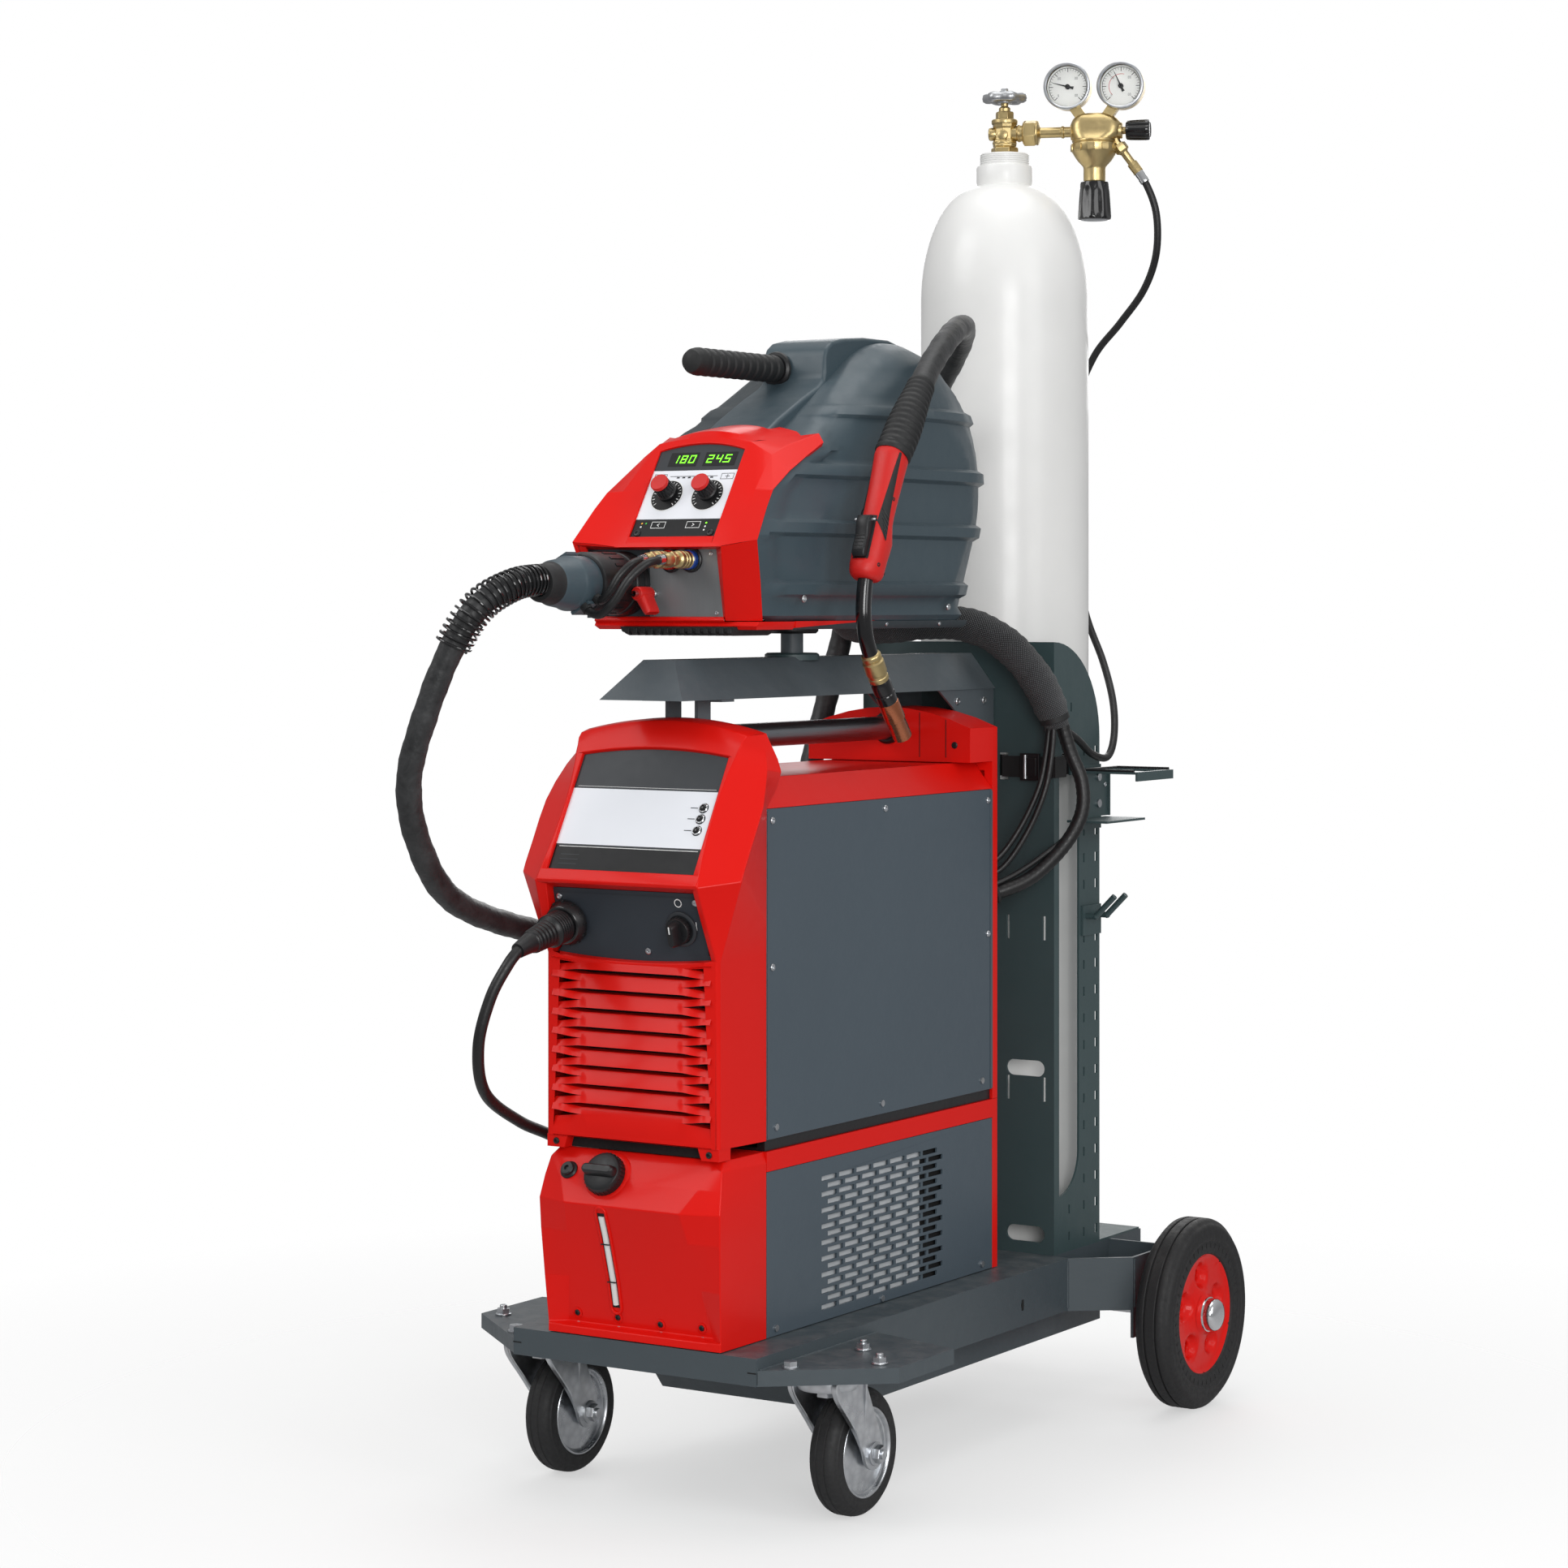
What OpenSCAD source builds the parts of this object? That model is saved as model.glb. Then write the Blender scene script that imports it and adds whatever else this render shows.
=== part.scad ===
// Welding set on a cart: a power source on a cooling unit, a swivelling wire
// feeder on a shelf above, a gas cylinder on the rear platform.
// Millimetres. +X to the right of somebody facing the panels' back, -Y is the
// front, +Z up. The origin is on the floor under the middle of the set.

/* [Cart] */
// Thickness of the folded sheets
sheet = 3; // [2.5:0.5:3.5]
// Diameter of the rear wheels
wheel_d = 250; // [246:1:250]
// Width of the rear tyres
wheel_w = 52; // [46:1:52]
// Diameter of the rear axle
axle_d = 20; // [16:1:22]
// Diameter of the swivel casters' wheels
caster_d = 150; // [148:1:150]
// Width of the casters' tyres
caster_w = 40; // [34:1:42]
// Distance of the caster wheel behind its kingpin
caster_trail = 58; // [52:1:60]
// Diameter of the casters' axle bolts
caster_bolt = 12; // [10:1:13]
// Bolt holes of the caster plates
plate_hole = 11; // [10.5:0.5:12]
// Spacing of the slots along the column's edge
slot_pitch = 35.7; // [34:0.1:37]
// Diameter of the hook prongs
hook_d = 8; // [7:0.5:9]
// Hole in the deck's right flange
flange_hole = 9; // [7:0.5:11]

/* [Gas] */
// Diameter of the gas cylinder
cyl_d = 229; // [226:1:229]
// Wall of the gas cylinder
cyl_wall = 6; // [5:0.5:8]
// Diameter of the gauges
gauge_d = 63; // [60:1:64]
// Diameter of the adjusting knob under the regulator
reg_knob_d = 46; // [42:1:48]
// Diameter of the valve's handwheel
hand_d = 62; // [56:1:66]

/* [Power source and cooler] */
// Diameter of the carrying tube
tube_d = 30; // [26:1:32]
// Number of slots in the front grille
grille_n = 9; // [7:1:9]
// Height of each slot in the front grille
grille_h = 11; // [8:1:13]
// Diameter of the cooler's filler cap
cap_d = 60; // [54:1:64]
// Diameter of the fan
fan_d = 150; // [120:5:160]

/* [Feeder and torch] */
// Diameter of the swivel post under the feeder
post_d = 28; // [24:1:30]
// Diameter of the wire spool
spool_d = 300; // [200:10:300]
// Diameter of the feeder's control knobs
knob_d = 22; // [18:1:24]
// Diameter of the grip on top of the feeder
grip_d = 30; // [26:1:32]

/* [Cords] */
// Diameter of the torch hose
torch_hose_d = 30; // [26:1:32]
// Diameter of the return cable
return_d = 14; // [12:1:15]
// Diameter of the sleeve round the connecting hoses
sleeve_d = 46; // [40:1:48]
// Diameter of the gas hose
gas_d = 10; // [8:1:11]

/* [Hidden] */
$fn = 64;
run = 0.06;                 // running fit on the diameter
gap = 0.4;                  // room between pieces that move past each other
deck_z = 206;               // top of the deck
wheel_y = 399;              // rear axle
wheel_z = wheel_d / 2;
wheel_x = 284;              // middle of a rear tyre
king = [204, -390];         // kingpin of the right caster
cyl_y = 401;                // axis of the gas cylinder
reg_a = 19.1;               // the regulator points this far behind +X
reg_x = 124;                // its body's distance from the valve
post_y = -144;              // swivel post
drum = [-5, 1213];          // axis of the wire spool (y, z)
red = [0.80, 0.06, 0.04];
grey = [0.28, 0.32, 0.34];
dark = [0.20, 0.24, 0.24];
black = [0.06, 0.06, 0.06];
zinc = [0.75, 0.78, 0.80];
brass = [0.72, 0.55, 0.25];

// Points along the cords, in order.
torch_route = [[-75, -572, 1094], [-84, -610, 1088], [-104, -648, 1064], [-130, -662, 1020],
    [-160, -670, 950], [-190, -668, 864], [-205, -630, 786], [-214, -554, 716], [-206, -420, 672],
    [-190, -280, 650], [-178, -120, 640], [-178, 30, 668], [-186, 140, 740], [-190, 205, 850],
    [-172, 236, 980], [-135, 240, 1110], [-80, 232, 1230], [-10, 214, 1330], [60, 168, 1398],
    [112, 90, 1420], [146, 0, 1404], [166, -84, 1362], [180, -150, 1312], [185, -196, 1262], [185, -212, 1243]];
return_route = [[-91, -590, 666], [-95, -606, 650], [-108, -622, 612], [-122, -626, 556],
    [-138, -592, 498], [-155, -504, 454], [-164, -420, 424], [-166, -300, 372], [-160, -160, 290],
    [-152, -40, 226], [-150, 60, 215], [-150, 150, 215], [-158, 230, 232], [-172, 278, 300],
    [-181, 297, 390], [-182, 299, 450], [-182, 299, 510]];
sleeve_route = [[-86, 128, 1062], [-110, 158, 1046], [-106, 196, 1034], [-64, 216, 1036],
    [-6, 222, 1042], [54, 222, 1036], [104, 226, 1010], [142, 234, 966], [158, 244, 926], [162, 250, 904]];
lead_a = [[156, 242, 914], [156, 231, 870], [152, 219, 826], [134, 204, 776], [112, 184, 736], [92, 161, 722]];
lead_b = [[163, 240, 914], [164, 231, 868], [160, 219, 820], [142, 206, 768], [116, 186, 722], [88, 161, 704]];
lead_c = [[164, 256, 914], [174, 264, 872], [188, 270, 832], [190, 266, 792], [176, 248, 752], [148, 216, 712],
    [118, 184, 692], [84, 161, 684]];
lead_d = [[158, 259, 914], [172, 280, 862], [180, 284, 812], [174, 262, 766], [156, 226, 738], [128, 194, 712], [100, 161, 694]];
gas_route = [[166, 458, 1664], [186, 464, 1632], [196, 472, 1592], [190, 482, 1540], [164, 496, 1494],
    [120, 512, 1452], [72, 526, 1408], [40, 532, 1340], [30, 532, 1240], [36, 530, 1140], [64, 518, 1050],
    [104, 492, 986], [140, 452, 932], [160, 416, 886], [166, 384, 860], [166, 340, 866], [166, 300, 886], [163, 262, 903]];
water_a = [[-6, -458, 1118], [-9, -478, 1113], [-18, -492, 1098], [-28, -497, 1080], [-40, -498, 1070], [-50, -498, 1074]];
water_b = [[23, -462, 1118], [17, -486, 1113], [4, -504, 1094], [-12, -511, 1068], [-30, -512, 1054], [-46, -511, 1056], [-56, -510, 1066]];
neck_route = [[185, -272, 1096], [185, -277, 1072], [185, -277, 1046], [185, -270, 1022], [185, -258, 1000]];

// ---------------------------------------------------------------- helpers
module bx(x, y, z) translate([x[0], y[0], z[0]]) cube([x[1] - x[0], y[1] - y[0], z[1] - z[0]]);
module cylx(x0, x1, y, z, d) translate([x0, y, z]) rotate([0, 90, 0]) cylinder(d = d, h = x1 - x0);
module cyly(x, y0, y1, z, d) translate([x, y0, z]) rotate([-90, 0, 0]) cylinder(d = d, h = y1 - y0);
module cylz(x, y, z0, z1, d) translate([x, y, z0]) cylinder(d = d, h = z1 - z0);
// outline in (y, z) along X, in (x, z) along Y, in (x, y) along Z
module px(x, p) translate([x[0], 0, 0]) rotate([90, 0, 90]) linear_extrude(x[1] - x[0]) polygon(p);
module py(y, p) translate([0, y[1], 0]) rotate([90, 0, 0]) linear_extrude(y[1] - y[0]) polygon(p);
module pz(z, p) translate([0, 0, z[0]]) linear_extrude(z[1] - z[0]) polygon(p);
module both() { children(); mirror([1, 0, 0]) children(); }
// a profile of (radius, distance) turned round an axis along X
module turn_x(y, z, p) translate([0, y, z]) rotate([0, 90, 0]) rotate_extrude($fn = 96) polygon(p);
module slot_yz(x, y, z, w, h) bx(x, [y - w / 2, y + w / 2], [z - h / 2, z + h / 2]);
// along direction v from a to b
module rod(a, b, d, n = 64) {
    v = b - a; l = norm(v);
    translate(a) rotate([0, acos(v[2] / l), atan2(v[1], v[0])]) cylinder(d = d, h = l, $fn = n);
}

function unit(v) = v / norm(v);
function at(p, i) = p[max(0, min(len(p) - 1, i))];
function cr(a, b, c, d, t) = 0.5 * (2 * b + (c - a) * t + (2 * a - 5 * b + 4 * c - d) * t * t + (3 * b - a - 3 * c + d) * t * t * t);
function spline(p, n) = concat([for (i = [0:len(p) - 2]) for (k = [0:n - 1])
    cr(at(p, i - 1), p[i], p[i + 1], at(p, i + 2), k / n)], [p[len(p) - 1]]);
function tangent(q, i) = unit(at(q, i + 1) - at(q, i - 1));
function normals(q) = [for (i = 0, v = unit(cross(tangent(q, 0), [0.2, 0.1, 0.97])); i < len(q);
    i = i + 1, v = unit(v - (v * tangent(q, min(i, len(q) - 1))) * tangent(q, min(i, len(q) - 1)))) v];
// one closed tube through the points
module sweep(p, d, n = 2, sides = 10) {
    q = spline(p, n); u = normals(q); m = len(q);
    ring = [for (i = [0:m - 1]) let (t = tangent(q, i), a = unit(u[i] - (u[i] * t) * t), b = cross(t, a))
        for (k = [0:sides - 1]) q[i] + d / 2 * (cos(360 * k / sides) * a + sin(360 * k / sides) * b)];
    side = [for (i = [0:m - 2]) for (k = [0:sides - 1]) let (k2 = (k + 1) % sides)
        each [[i * sides + k, (i + 1) * sides + k, (i + 1) * sides + k2], [i * sides + k, (i + 1) * sides + k2, i * sides + k2]]];
    polyhedron(points = ring, faces = concat(side, [[for (k = [0:sides - 1]) k]],
        [[for (k = [0:sides - 1]) (m - 1) * sides + sides - 1 - k]]));
}

// ---------------------------------------------------------------- cart
wing = [[120, -486], [171.5, -489.4], [299, -387], [299, -261], [171.5, -225.9], [120, -226]];
wing_lip = [[171.5, -489.4], [299, -387], [299, -261], [171.5, -225.9]];
wing_in = [[160, -494.8], [296, -385.6], [296, -263.3], [160, -225.8]];
plate_bolts = [for (i = [-1, 1]) for (j = [-1, 1]) [king[0] + (i * 52.5 - j * 40) * sqrt(0.5), king[1] + (i * 52.5 + j * 40) * sqrt(0.5)]];

module cart_frame() color(grey) difference() {
    union() {
        bx([-171.5, 171.5], [-492, 268], [deck_z - sheet, deck_z]);
        bx([-171.5, 171.5], [-492, -489], [174, deck_z]);
        both() {
            bx([168.5, 171.5], [-492, -226], [189, deck_z]);
            bx([168.5, 171.5], [-226, 268], [138, deck_z]);
            pz([189, 192], wing);
            difference() { pz([174, 192], wing_lip); pz([173, 189], wing_in); }
            bx([144, 147], [268, 521], [160, deck_z]);
            bx([127, 130], [-239, 433], [95, deck_z - sheet]);
            px([127, 130], [[-239, 95], [-239, 203], [-330, 203]]);
            pz([137, deck_z], [[168.5, 266], [171.5, 262], [240, 316], [240, 320], [236, 320]]);
            bx([236, 240], [316, 430], [100, deck_z]);
            bx([147, 240], [426, 430], [137, deck_z]);
        }
        bx([-147, 147], [260, 521], [deck_z - sheet, deck_z]);
        bx([-147, 147], [518, 521], [160, deck_z]);
        bx([-130, 130], [-239, 433], [95, 98]);
        px([-130, 130], [[-239, 95], [-236, 95], [-327, 203], [-330, 203]]);
    }
    cylx(-250, 250, wheel_y, wheel_z, axle_d + 0.4);
    both() for (p = plate_bolts) cylz(p[0], p[1], 188, 193, plate_hole);
    cylx(165, 175, 139, 165, flange_hole);
    for (x = [-110, 110]) cylz(x, -455, 200, 210, 9);
}

module rear_axle() color(zinc) {
    cylx(-wheel_x - 23.6, wheel_x + 23.6, wheel_y, wheel_z, axle_d);
    // shoulders that keep the wheels off the arms
    both() difference() { cylx(241, 257, wheel_y, wheel_z, 32); cylx(240, 258, wheel_y, wheel_z, axle_d); }
}

module wheel_at(s) scale([1, 1, 1]) {
    r = wheel_d / 2; w = wheel_w / 2;
    translate([s * wheel_x, wheel_y, wheel_z]) mirror([s > 0 ? 0 : 1, 0, 0]) rotate([0, 90, 0]) difference() {
        rotate_extrude($fn = 96) polygon([
            [axle_d / 2 + run / 2, -w], [24, -w], [24, -6], [72, -6], [76, -20], [82, -22], [98, -w + 3], [110, -w], [118, -w + 4],
            [r - 2, -w + 12], [r, -w + 18], [r, w - 18], [r - 2, w - 12], [118, w - 4], [110, w], [98, w - 3], [82, w - 4], [76, w - 6],
            [72, 2], [24, 2], [24, w - 1], [21.5, w - 1], [21.5, 36], [17, 41], [0, 42], [0, 24.6], [axle_d / 2 + run / 2, 24.6]]);
        for (k = [0:4]) rotate([0, 0, 72 * k]) translate([50, 0, -10]) cylinder(d = 16, h = 14);
    }
}
module rear_wheel_left() color(black) wheel_at(-1);
module rear_wheel_right() color(black) wheel_at(1);

module caster_plates() color(zinc) both() {
    translate([king[0], king[1], 0]) {
        difference() {
            intersection() {
                rotate([0, 0, 45]) translate([-67.5, -55, 184]) cube([135, 110, 5]);
                translate([-king[0], -king[1], 0]) pz([183, 190], [[100, -542.4], [295.5, -385.4], [295.5, -200], [100, -200]]);
            }
            for (i = [-1, 1]) for (j = [-1, 1])
                translate([(i * 52.5 - j * 40) * sqrt(0.5), (i * 52.5 + j * 40) * sqrt(0.5), 183]) cylinder(d = plate_hole, h = 7);
        }
        translate([0, 0, 176]) cylinder(d = 64, h = 9);
        translate([0, 0, 150]) cylinder(d = 16, h = 30);
        translate([0, 0, 149]) cylinder(d = 27, h = 8.6, $fn = 6);
    }
}
// origin at the kingpin, on the floor
module fork() difference() {
    union() {
        translate([0, 0, 158]) cylinder(d = 74, h = 17.6);
        for (s = [-1, 1]) px(s > 0 ? [26, 30] : [-30, -26], [[-30, 175], [-32, 158], [-18, 140], [caster_trail - 34, 96], [caster_trail - 18, 62],
            [caster_trail, 56], [caster_trail + 15, 63], [caster_trail + 17, 80], [44, 150], [33, 175]]);
        cylx(-42, 42, caster_trail, caster_d / 2, caster_bolt);
        for (s = [-1, 1]) translate([s > 0 ? 30 : -40, caster_trail, caster_d / 2]) rotate([0, 90, 0]) cylinder(d = 21, h = 10, $fn = 6);
    }
    translate([0, 0, 150]) cylinder(d = 16 + run, h = 30);
}
module caster_fork_left() color(zinc) translate([-king[0], king[1], 0]) fork();
module caster_fork_right() color(zinc) translate([king[0], king[1], 0]) fork();
module small_wheel() turn_x(0, 0, [
    [caster_bolt / 2 + run / 2, -24], [12, -24], [12, -8], [34, -8], [42, -17], [48, -17], [54, -caster_w / 2], [66, -caster_w / 2], [72, -14],
    [caster_d / 2, -9], [caster_d / 2, 9], [72, 14], [66, caster_w / 2], [54, caster_w / 2], [48, 17], [42, 17], [34, 8], [12, 8], [12, 24], [caster_bolt / 2 + run / 2, 24]]);
module caster_wheel_left() color(black) translate([-king[0], king[1] + caster_trail, caster_d / 2]) small_wheel();
module caster_wheel_right() color(black) translate([king[0], king[1] + caster_trail, caster_d / 2]) small_wheel();

// ---------------------------------------------------------------- column, shelf
module cylinder_column() color(dark) difference() {
    union() {
        bx([-147, 147], [270, 270 + sheet], [deck_z, 1015]);
        both() px([147 - sheet, 147], concat([[270, deck_z], [399, deck_z]], [for (a = [0:6:90]) [270 + 129 * cos(a), 886 + 129 * sin(a)]]));
        bx([-147, 147], [270, 516], [deck_z, deck_z + 3]);
    }
    both() {
        // tall window beside the fold, its lower rear corner well rounded
        px([140, 150], concat([[284, 838], [340, 838]], [for (a = [0:10:90]) [284 + 56 * cos(a), 338 - 56 * sin(a)]]));
        for (k = [0:18]) { slot_yz([140, 150], 389, 226 + slot_pitch * k, 7, 12); slot_yz([140, 150], 354, 226 + slot_pitch * k, 4, 12); }
        for (k = [0:1]) slot_yz([140, 150], 312, 226 + slot_pitch * k, 4, 12);
        for (k = [17:19]) slot_yz([140, 150], 318, 250 + slot_pitch * k, 4, 12);
        for (z = [637, 424]) for (x = [78, 132]) bx([x - 2, x + 2], [265, 280], [z - 16, z + 16]);
        translate([104, 265, 451]) rotate([-90, 0, 0]) linear_extrude(15) { square([36, 21], center = true); for (s = [-18, 18]) translate([s, 0]) circle(d = 21); }
        translate([104, 265, 232]) rotate([-90, 0, 0]) linear_extrude(15) { square([36, 21], center = true); for (s = [-18, 18]) translate([s, 0]) circle(d = 21); }
    }
    bx([64, 78], [265, 280], [832, 868]);
    bx([140, 150], [292, 316], [830, 868]);
}

function beam_x(c, o) = [[-59 + o, 953 - c], [-22 + o * 0.6, 1000 - o], [22 - o * 0.6, 1000 - o], [59 - o, 953 - c]];
module feeder_shelf() color(dark) {
    difference() {
        intersection() {
            py([-480, 269.6], beam_x(0, 0));
            px([-70, 70], [[-475, 953], [-437, 1000], [269.6, 1000], [269.6, 953]]);
        }
        intersection() {
            py([-480, 275], beam_x(0.5, sheet));
            px([-70, 70], [[-471, 952], [-434.4, 997], [275, 997], [275, 952]]);
        }
    }
    both() {
        bx([18.5, 23.5], [-389, -362], [872, 953]);
        bx([18.5, 57], [-389, -362], [950, 955]);
        // gussets down to the column
        px([54, 57], [[120, 955], [268, 955], [268, 884], [232, 884]]);
    }
    difference() {
        cylz(0, post_y, 995, 1075, post_d);
        cylz(0, post_y, 1070, 1080, 10);
    }
}

module hook(y) {
    rod([148.5, y, 648], [164, y, 648], hook_d);
    translate([164, y, 648]) sphere(d = hook_d + 1);
    rod([164, y, 648], [192, y, 676], hook_d);
}
module column_brackets() color(dark) {
    // holder for the torch: back plate, open hoop above, shelf below
    difference() {
        union() {
            bx([147.2, 150], [336, 398], [764, 850]);
            bx([150, 238], [332, 438], [840, 843]);
            bx([235, 238], [332, 438], [831, 843]);
            bx([150, 210], [300, 410], [776, 779]);
        }
        bx([158, 230], [342, 428], [835, 850]);
        for (z = [797.2, 832.9]) cylx(140, 160, 389, z, 6.4);
    }
    both() bx([147.2, 150], [346, 398], [622, 662]);
    for (y = [356, 388]) {
        hook(y);
        // longer prongs on the left, for the coiled cable
        rod([-148.5, y, 648], [-206, y, 648], hook_d);
        translate([-206, y, 648]) sphere(d = hook_d + 1);
        rod([-206, y, 648], [-216, y, 660], hook_d);
    }
}

module cylinder_strap() color(black) {
    z = [836, 864];
    translate([0, cyl_y, z[0]]) difference() { cylinder(r = 117.5, h = 28); translate([0, 0, -1]) cylinder(r = cyl_d / 2 + 0.5, h = 30); }
    pz(z, [[70, 267.4], [150, 267.4], [150, 299], [110.5, 356], [107.5, 354], [147.5, 297], [147.5, 269.8], [72.5, 269.8], [62, 303], [59.5, 302]]);
}

// ---------------------------------------------------------------- gas
module gas_cylinder() color([0.93, 0.93, 0.92]) translate([0, cyl_y, 0]) {
    r = cyl_d / 2; w = cyl_wall;
    rotate_extrude($fn = 128) polygon(concat([[0, 216], [60, 216], [88, 209.4], [104, 210], [r - 1, 222], [r, 232]],
        [for (a = [0:5:80]) [34 + (r - 34) * cos(a), 1478 + 158 * sin(a)]], [[38, 1640], [38, 1664], [34, 1666], [34, 1681], [14.1, 1681], [14.1, 1634]],
        [for (a = [80:-10:0]) [28 + (r - w - 28) * cos(a), 1478 + 150 * sin(a)]], [[r - w, 236], [80, 224], [0, 224]]));
}
module at_valve() translate([0, cyl_y, 0]) rotate([0, 0, reg_a]) children();
module cylinder_valve() color(brass) at_valve() {
    translate([0, 0, 1652]) cylinder(d = 28, h = 29.5);
    translate([0, 0, 1681.2]) cylinder(d = 36, h = 10);
    translate([-16, -16, 1690]) cube([32, 32, 36]);
    translate([0, 0, 1726]) cylinder(d = 24, h = 14, $fn = 6);
    translate([0, 0, 1738]) cylinder(d = 10, h = 29);
    cylx(10, 26, 0, 1709, 22);
    cylx(-22, -10, 0, 1709, 18);
}
module valve_handwheel() color(zinc) at_valve() difference() {
    union() {
        translate([0, 0, 1750]) cylinder(d = 20, h = 16);
        translate([0, 0, 1753]) difference() { cylinder(d = hand_d - 6, h = 9); translate([0, 0, -1]) cylinder(d = hand_d - 24, h = 11); }
        for (k = [0:5]) rotate([0, 0, 60 * k]) {
            translate([hand_d / 2 - 7, 0, 1751]) cylinder(d = 14, h = 13);
            translate([6, -4, 1754]) cube([hand_d / 2 - 14, 8, 7]);
        }
    }
    translate([0, 0, 1745]) cylinder(d = 10 + run, h = 25);
}
gauge_at = [[reg_x - 36, -6, 1770], [reg_x + 37, -6, 1769]];
module regulator() color(brass) at_valve() {
    translate([26.2, 0, 1709]) rotate([0, 90, 0]) cylinder(d = 34, h = 22, $fn = 6);
    cylx(48, 104, 0, 1709, 14);
    cylx(92, 104, 0, 1709, 22);
    translate([reg_x, 0, 0]) {
        rotate_extrude() polygon([[0, 1728], [20, 1728], [25, 1722], [25, 1698], [31, 1694], [31, 1680], [24, 1668], [15, 1660], [15, 1641], [5, 1641], [5, 1600], [0, 1600]]);
        cylx(-25, 38, 0, 1709, 22);
        cylx(38, 43, 0, 1709, 10);
        cylx(42, 66, 0, 1709, 7);
        rod([22, 0, 1706], [36, 0, 1688], 14);
        rod([36, 0, 1688], [52, 0, 1668], 10);
        for (s = [-1, 1]) rod([s * 12, -2, 1722], [s * 30, -2, 1746], 11);
    }
    for (g = gauge_at) difference() {
        translate(g) rotate([90, 0, 0]) translate([0, 0, -22]) cylinder(d = gauge_d, h = 30);
        translate(g) rotate([90, 0, 0]) cylinder(d = gauge_d - 6, h = 20);
    }
    for (g = gauge_at) translate(g) rotate([90, 0, 0]) translate([0, 0, -1]) cylinder(d = 3, h = 6);
}
module needle(g, a) at_valve() translate(g) rotate([90, 0, 0]) rotate([0, 0, a]) difference() {
    union() {
        translate([0, 0, 1.5]) cylinder(d = 8, h = 2);
        translate([-1.1, -8, 1.8]) cube([2.2, 30, 1.2]);
    }
    translate([0, 0, 0]) cylinder(d = 3 + run, h = 8);
}
module gauge_needle_left() color(black) needle(gauge_at[0], 165);
module gauge_needle_right() color(black) needle(gauge_at[1], 115);
module regulator_knob() color(black) at_valve() translate([reg_x, 0, 0]) difference() {
    union() {
        translate([0, 0, 1588]) cylinder(d = reg_knob_d, h = 40);
        translate([0, 0, 1628]) cylinder(d = reg_knob_d - 8, h = 12.4);
    }
    translate([0, 0, 1599]) cylinder(d = 10 + run, h = 50);
    for (k = [0:11]) rotate([0, 0, 30 * k]) translate([reg_knob_d / 2 + 1.2, 0, 1586]) cylinder(d = 5, h = 44);
}
module flow_knob() color(black) at_valve() translate([reg_x, 0, 1709]) difference() {
    union() { cylx(43.6, 64, 0, 0, 24); cylx(64, 76, 0, 0, 28); }
    cylx(40, 67, 0, 0, 7 + run);
    for (k = [0:9]) rotate([36 * k, 0, 0]) translate([62, 0, 15.2]) rotate([0, 90, 0]) cylinder(d = 5, h = 20);
}

// ---------------------------------------------------------------- power source
// point on the hood's face, s up the slope and t out of it
sw_c = [72, -494.9, 691.5];
sw_n = [0, -0.9659, -0.2588];
function hp(s, t) = [-524 + 0.488 * s - 0.873 * t, 748 + 0.873 * s + 0.488 * t];
module source_front() color(red) difference() {
    union() {
        px([-108, 108], [[-392, 425.4], [-494, 425.4], [-494, 652], [-486, 655], [-507, 735], hp(0, 0), hp(163, 0), [-426, 922], [-392, 926]]);
        both() {
            px([108, 122], [[-392, 425.4], [-494, 425.4], [-495, 652], [-502, 742], hp(150, -6), [-424, 912], [-392, 915]]);
            polyhedron(points = [[121, -495, 660], [121, -452, 886], [121, -394, 750], [150, -492, 741]],
                faces = [[0, 2, 1], [0, 1, 3], [1, 2, 3], [2, 0, 3]]);
        }
    }
    // inside
    px([-118, 118], [[-391, 430], [-489, 430], [-489, 648], [-476, 655], [-496, 735], [-505, 748], hp(158, -9), [-424, 908], [-391, 911]]);
    // pocket for the control panel, window behind it
    px([-103.2, 103.2], [hp(8.8, -3.2), hp(8.8, 9), hp(157.2, 9), hp(157.2, -3.2)]);
    px([-96, 96], [hp(16, -20), hp(16, 9), hp(150, 9), hp(150, -20)]);
    // opening for the socket panel
    px([-104, 104], [[-520, 733.5], [-470, 733.5], [-465, 658], [-520, 658]]);
    for (k = [0:grille_n - 1]) bx([-100, 100], [-500, -480], [446 + 22.5 * k, 446 + 22.5 * k + grille_h]);
    cyly(0, -400, -380, 905, tube_d + 0.6);
    rod([-88, -484, 695.5], [-88, -520, 686.5], 46.8);
    rod(cap_c, cap_c + 40 * cap_n, cap_d + 1.6);
}
module source_panels() color([0.85, 0.86, 0.87]) {
    px([-103, 103], [hp(9, -3), hp(9, 0), hp(157, 0), hp(157, -3)]);
    for (s = [96, 82, 67]) translate([88, hp(s, -0.5)[0], hp(s, -0.5)[1]]) rotate([60.8, 0, 0]) cylinder(d = 10, h = 3.5);
    difference() {
        px([-103.6, 103.6], [[-506, 733], [-502, 733], [-482, 658.4], [-486, 658.4]]);
        rod(sw_c - 20 * sw_n, sw_c + 10 * sw_n, 8.2);
    }
    // return socket
    difference() {
        rod([-88, -494, 693], [-88, -510, 689], 46);
        rod([-88, -503, 690.7], [-88, -515, 687.7], 37);
    }
}
module main_switch() color(black) {
    rod(sw_c - 14 * sw_n, sw_c + 3 * sw_n, 8.1);
    rod(sw_c + 0.6 * sw_n, sw_c + 11 * sw_n, 30);
    hull() {
        rod(sw_c + 10 * sw_n, sw_c + 26 * sw_n, 10, 16);
        translate([0, 3.4, -12.6]) rod(sw_c + 10 * sw_n, sw_c + 24 * sw_n, 8, 16);
    }
}
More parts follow.
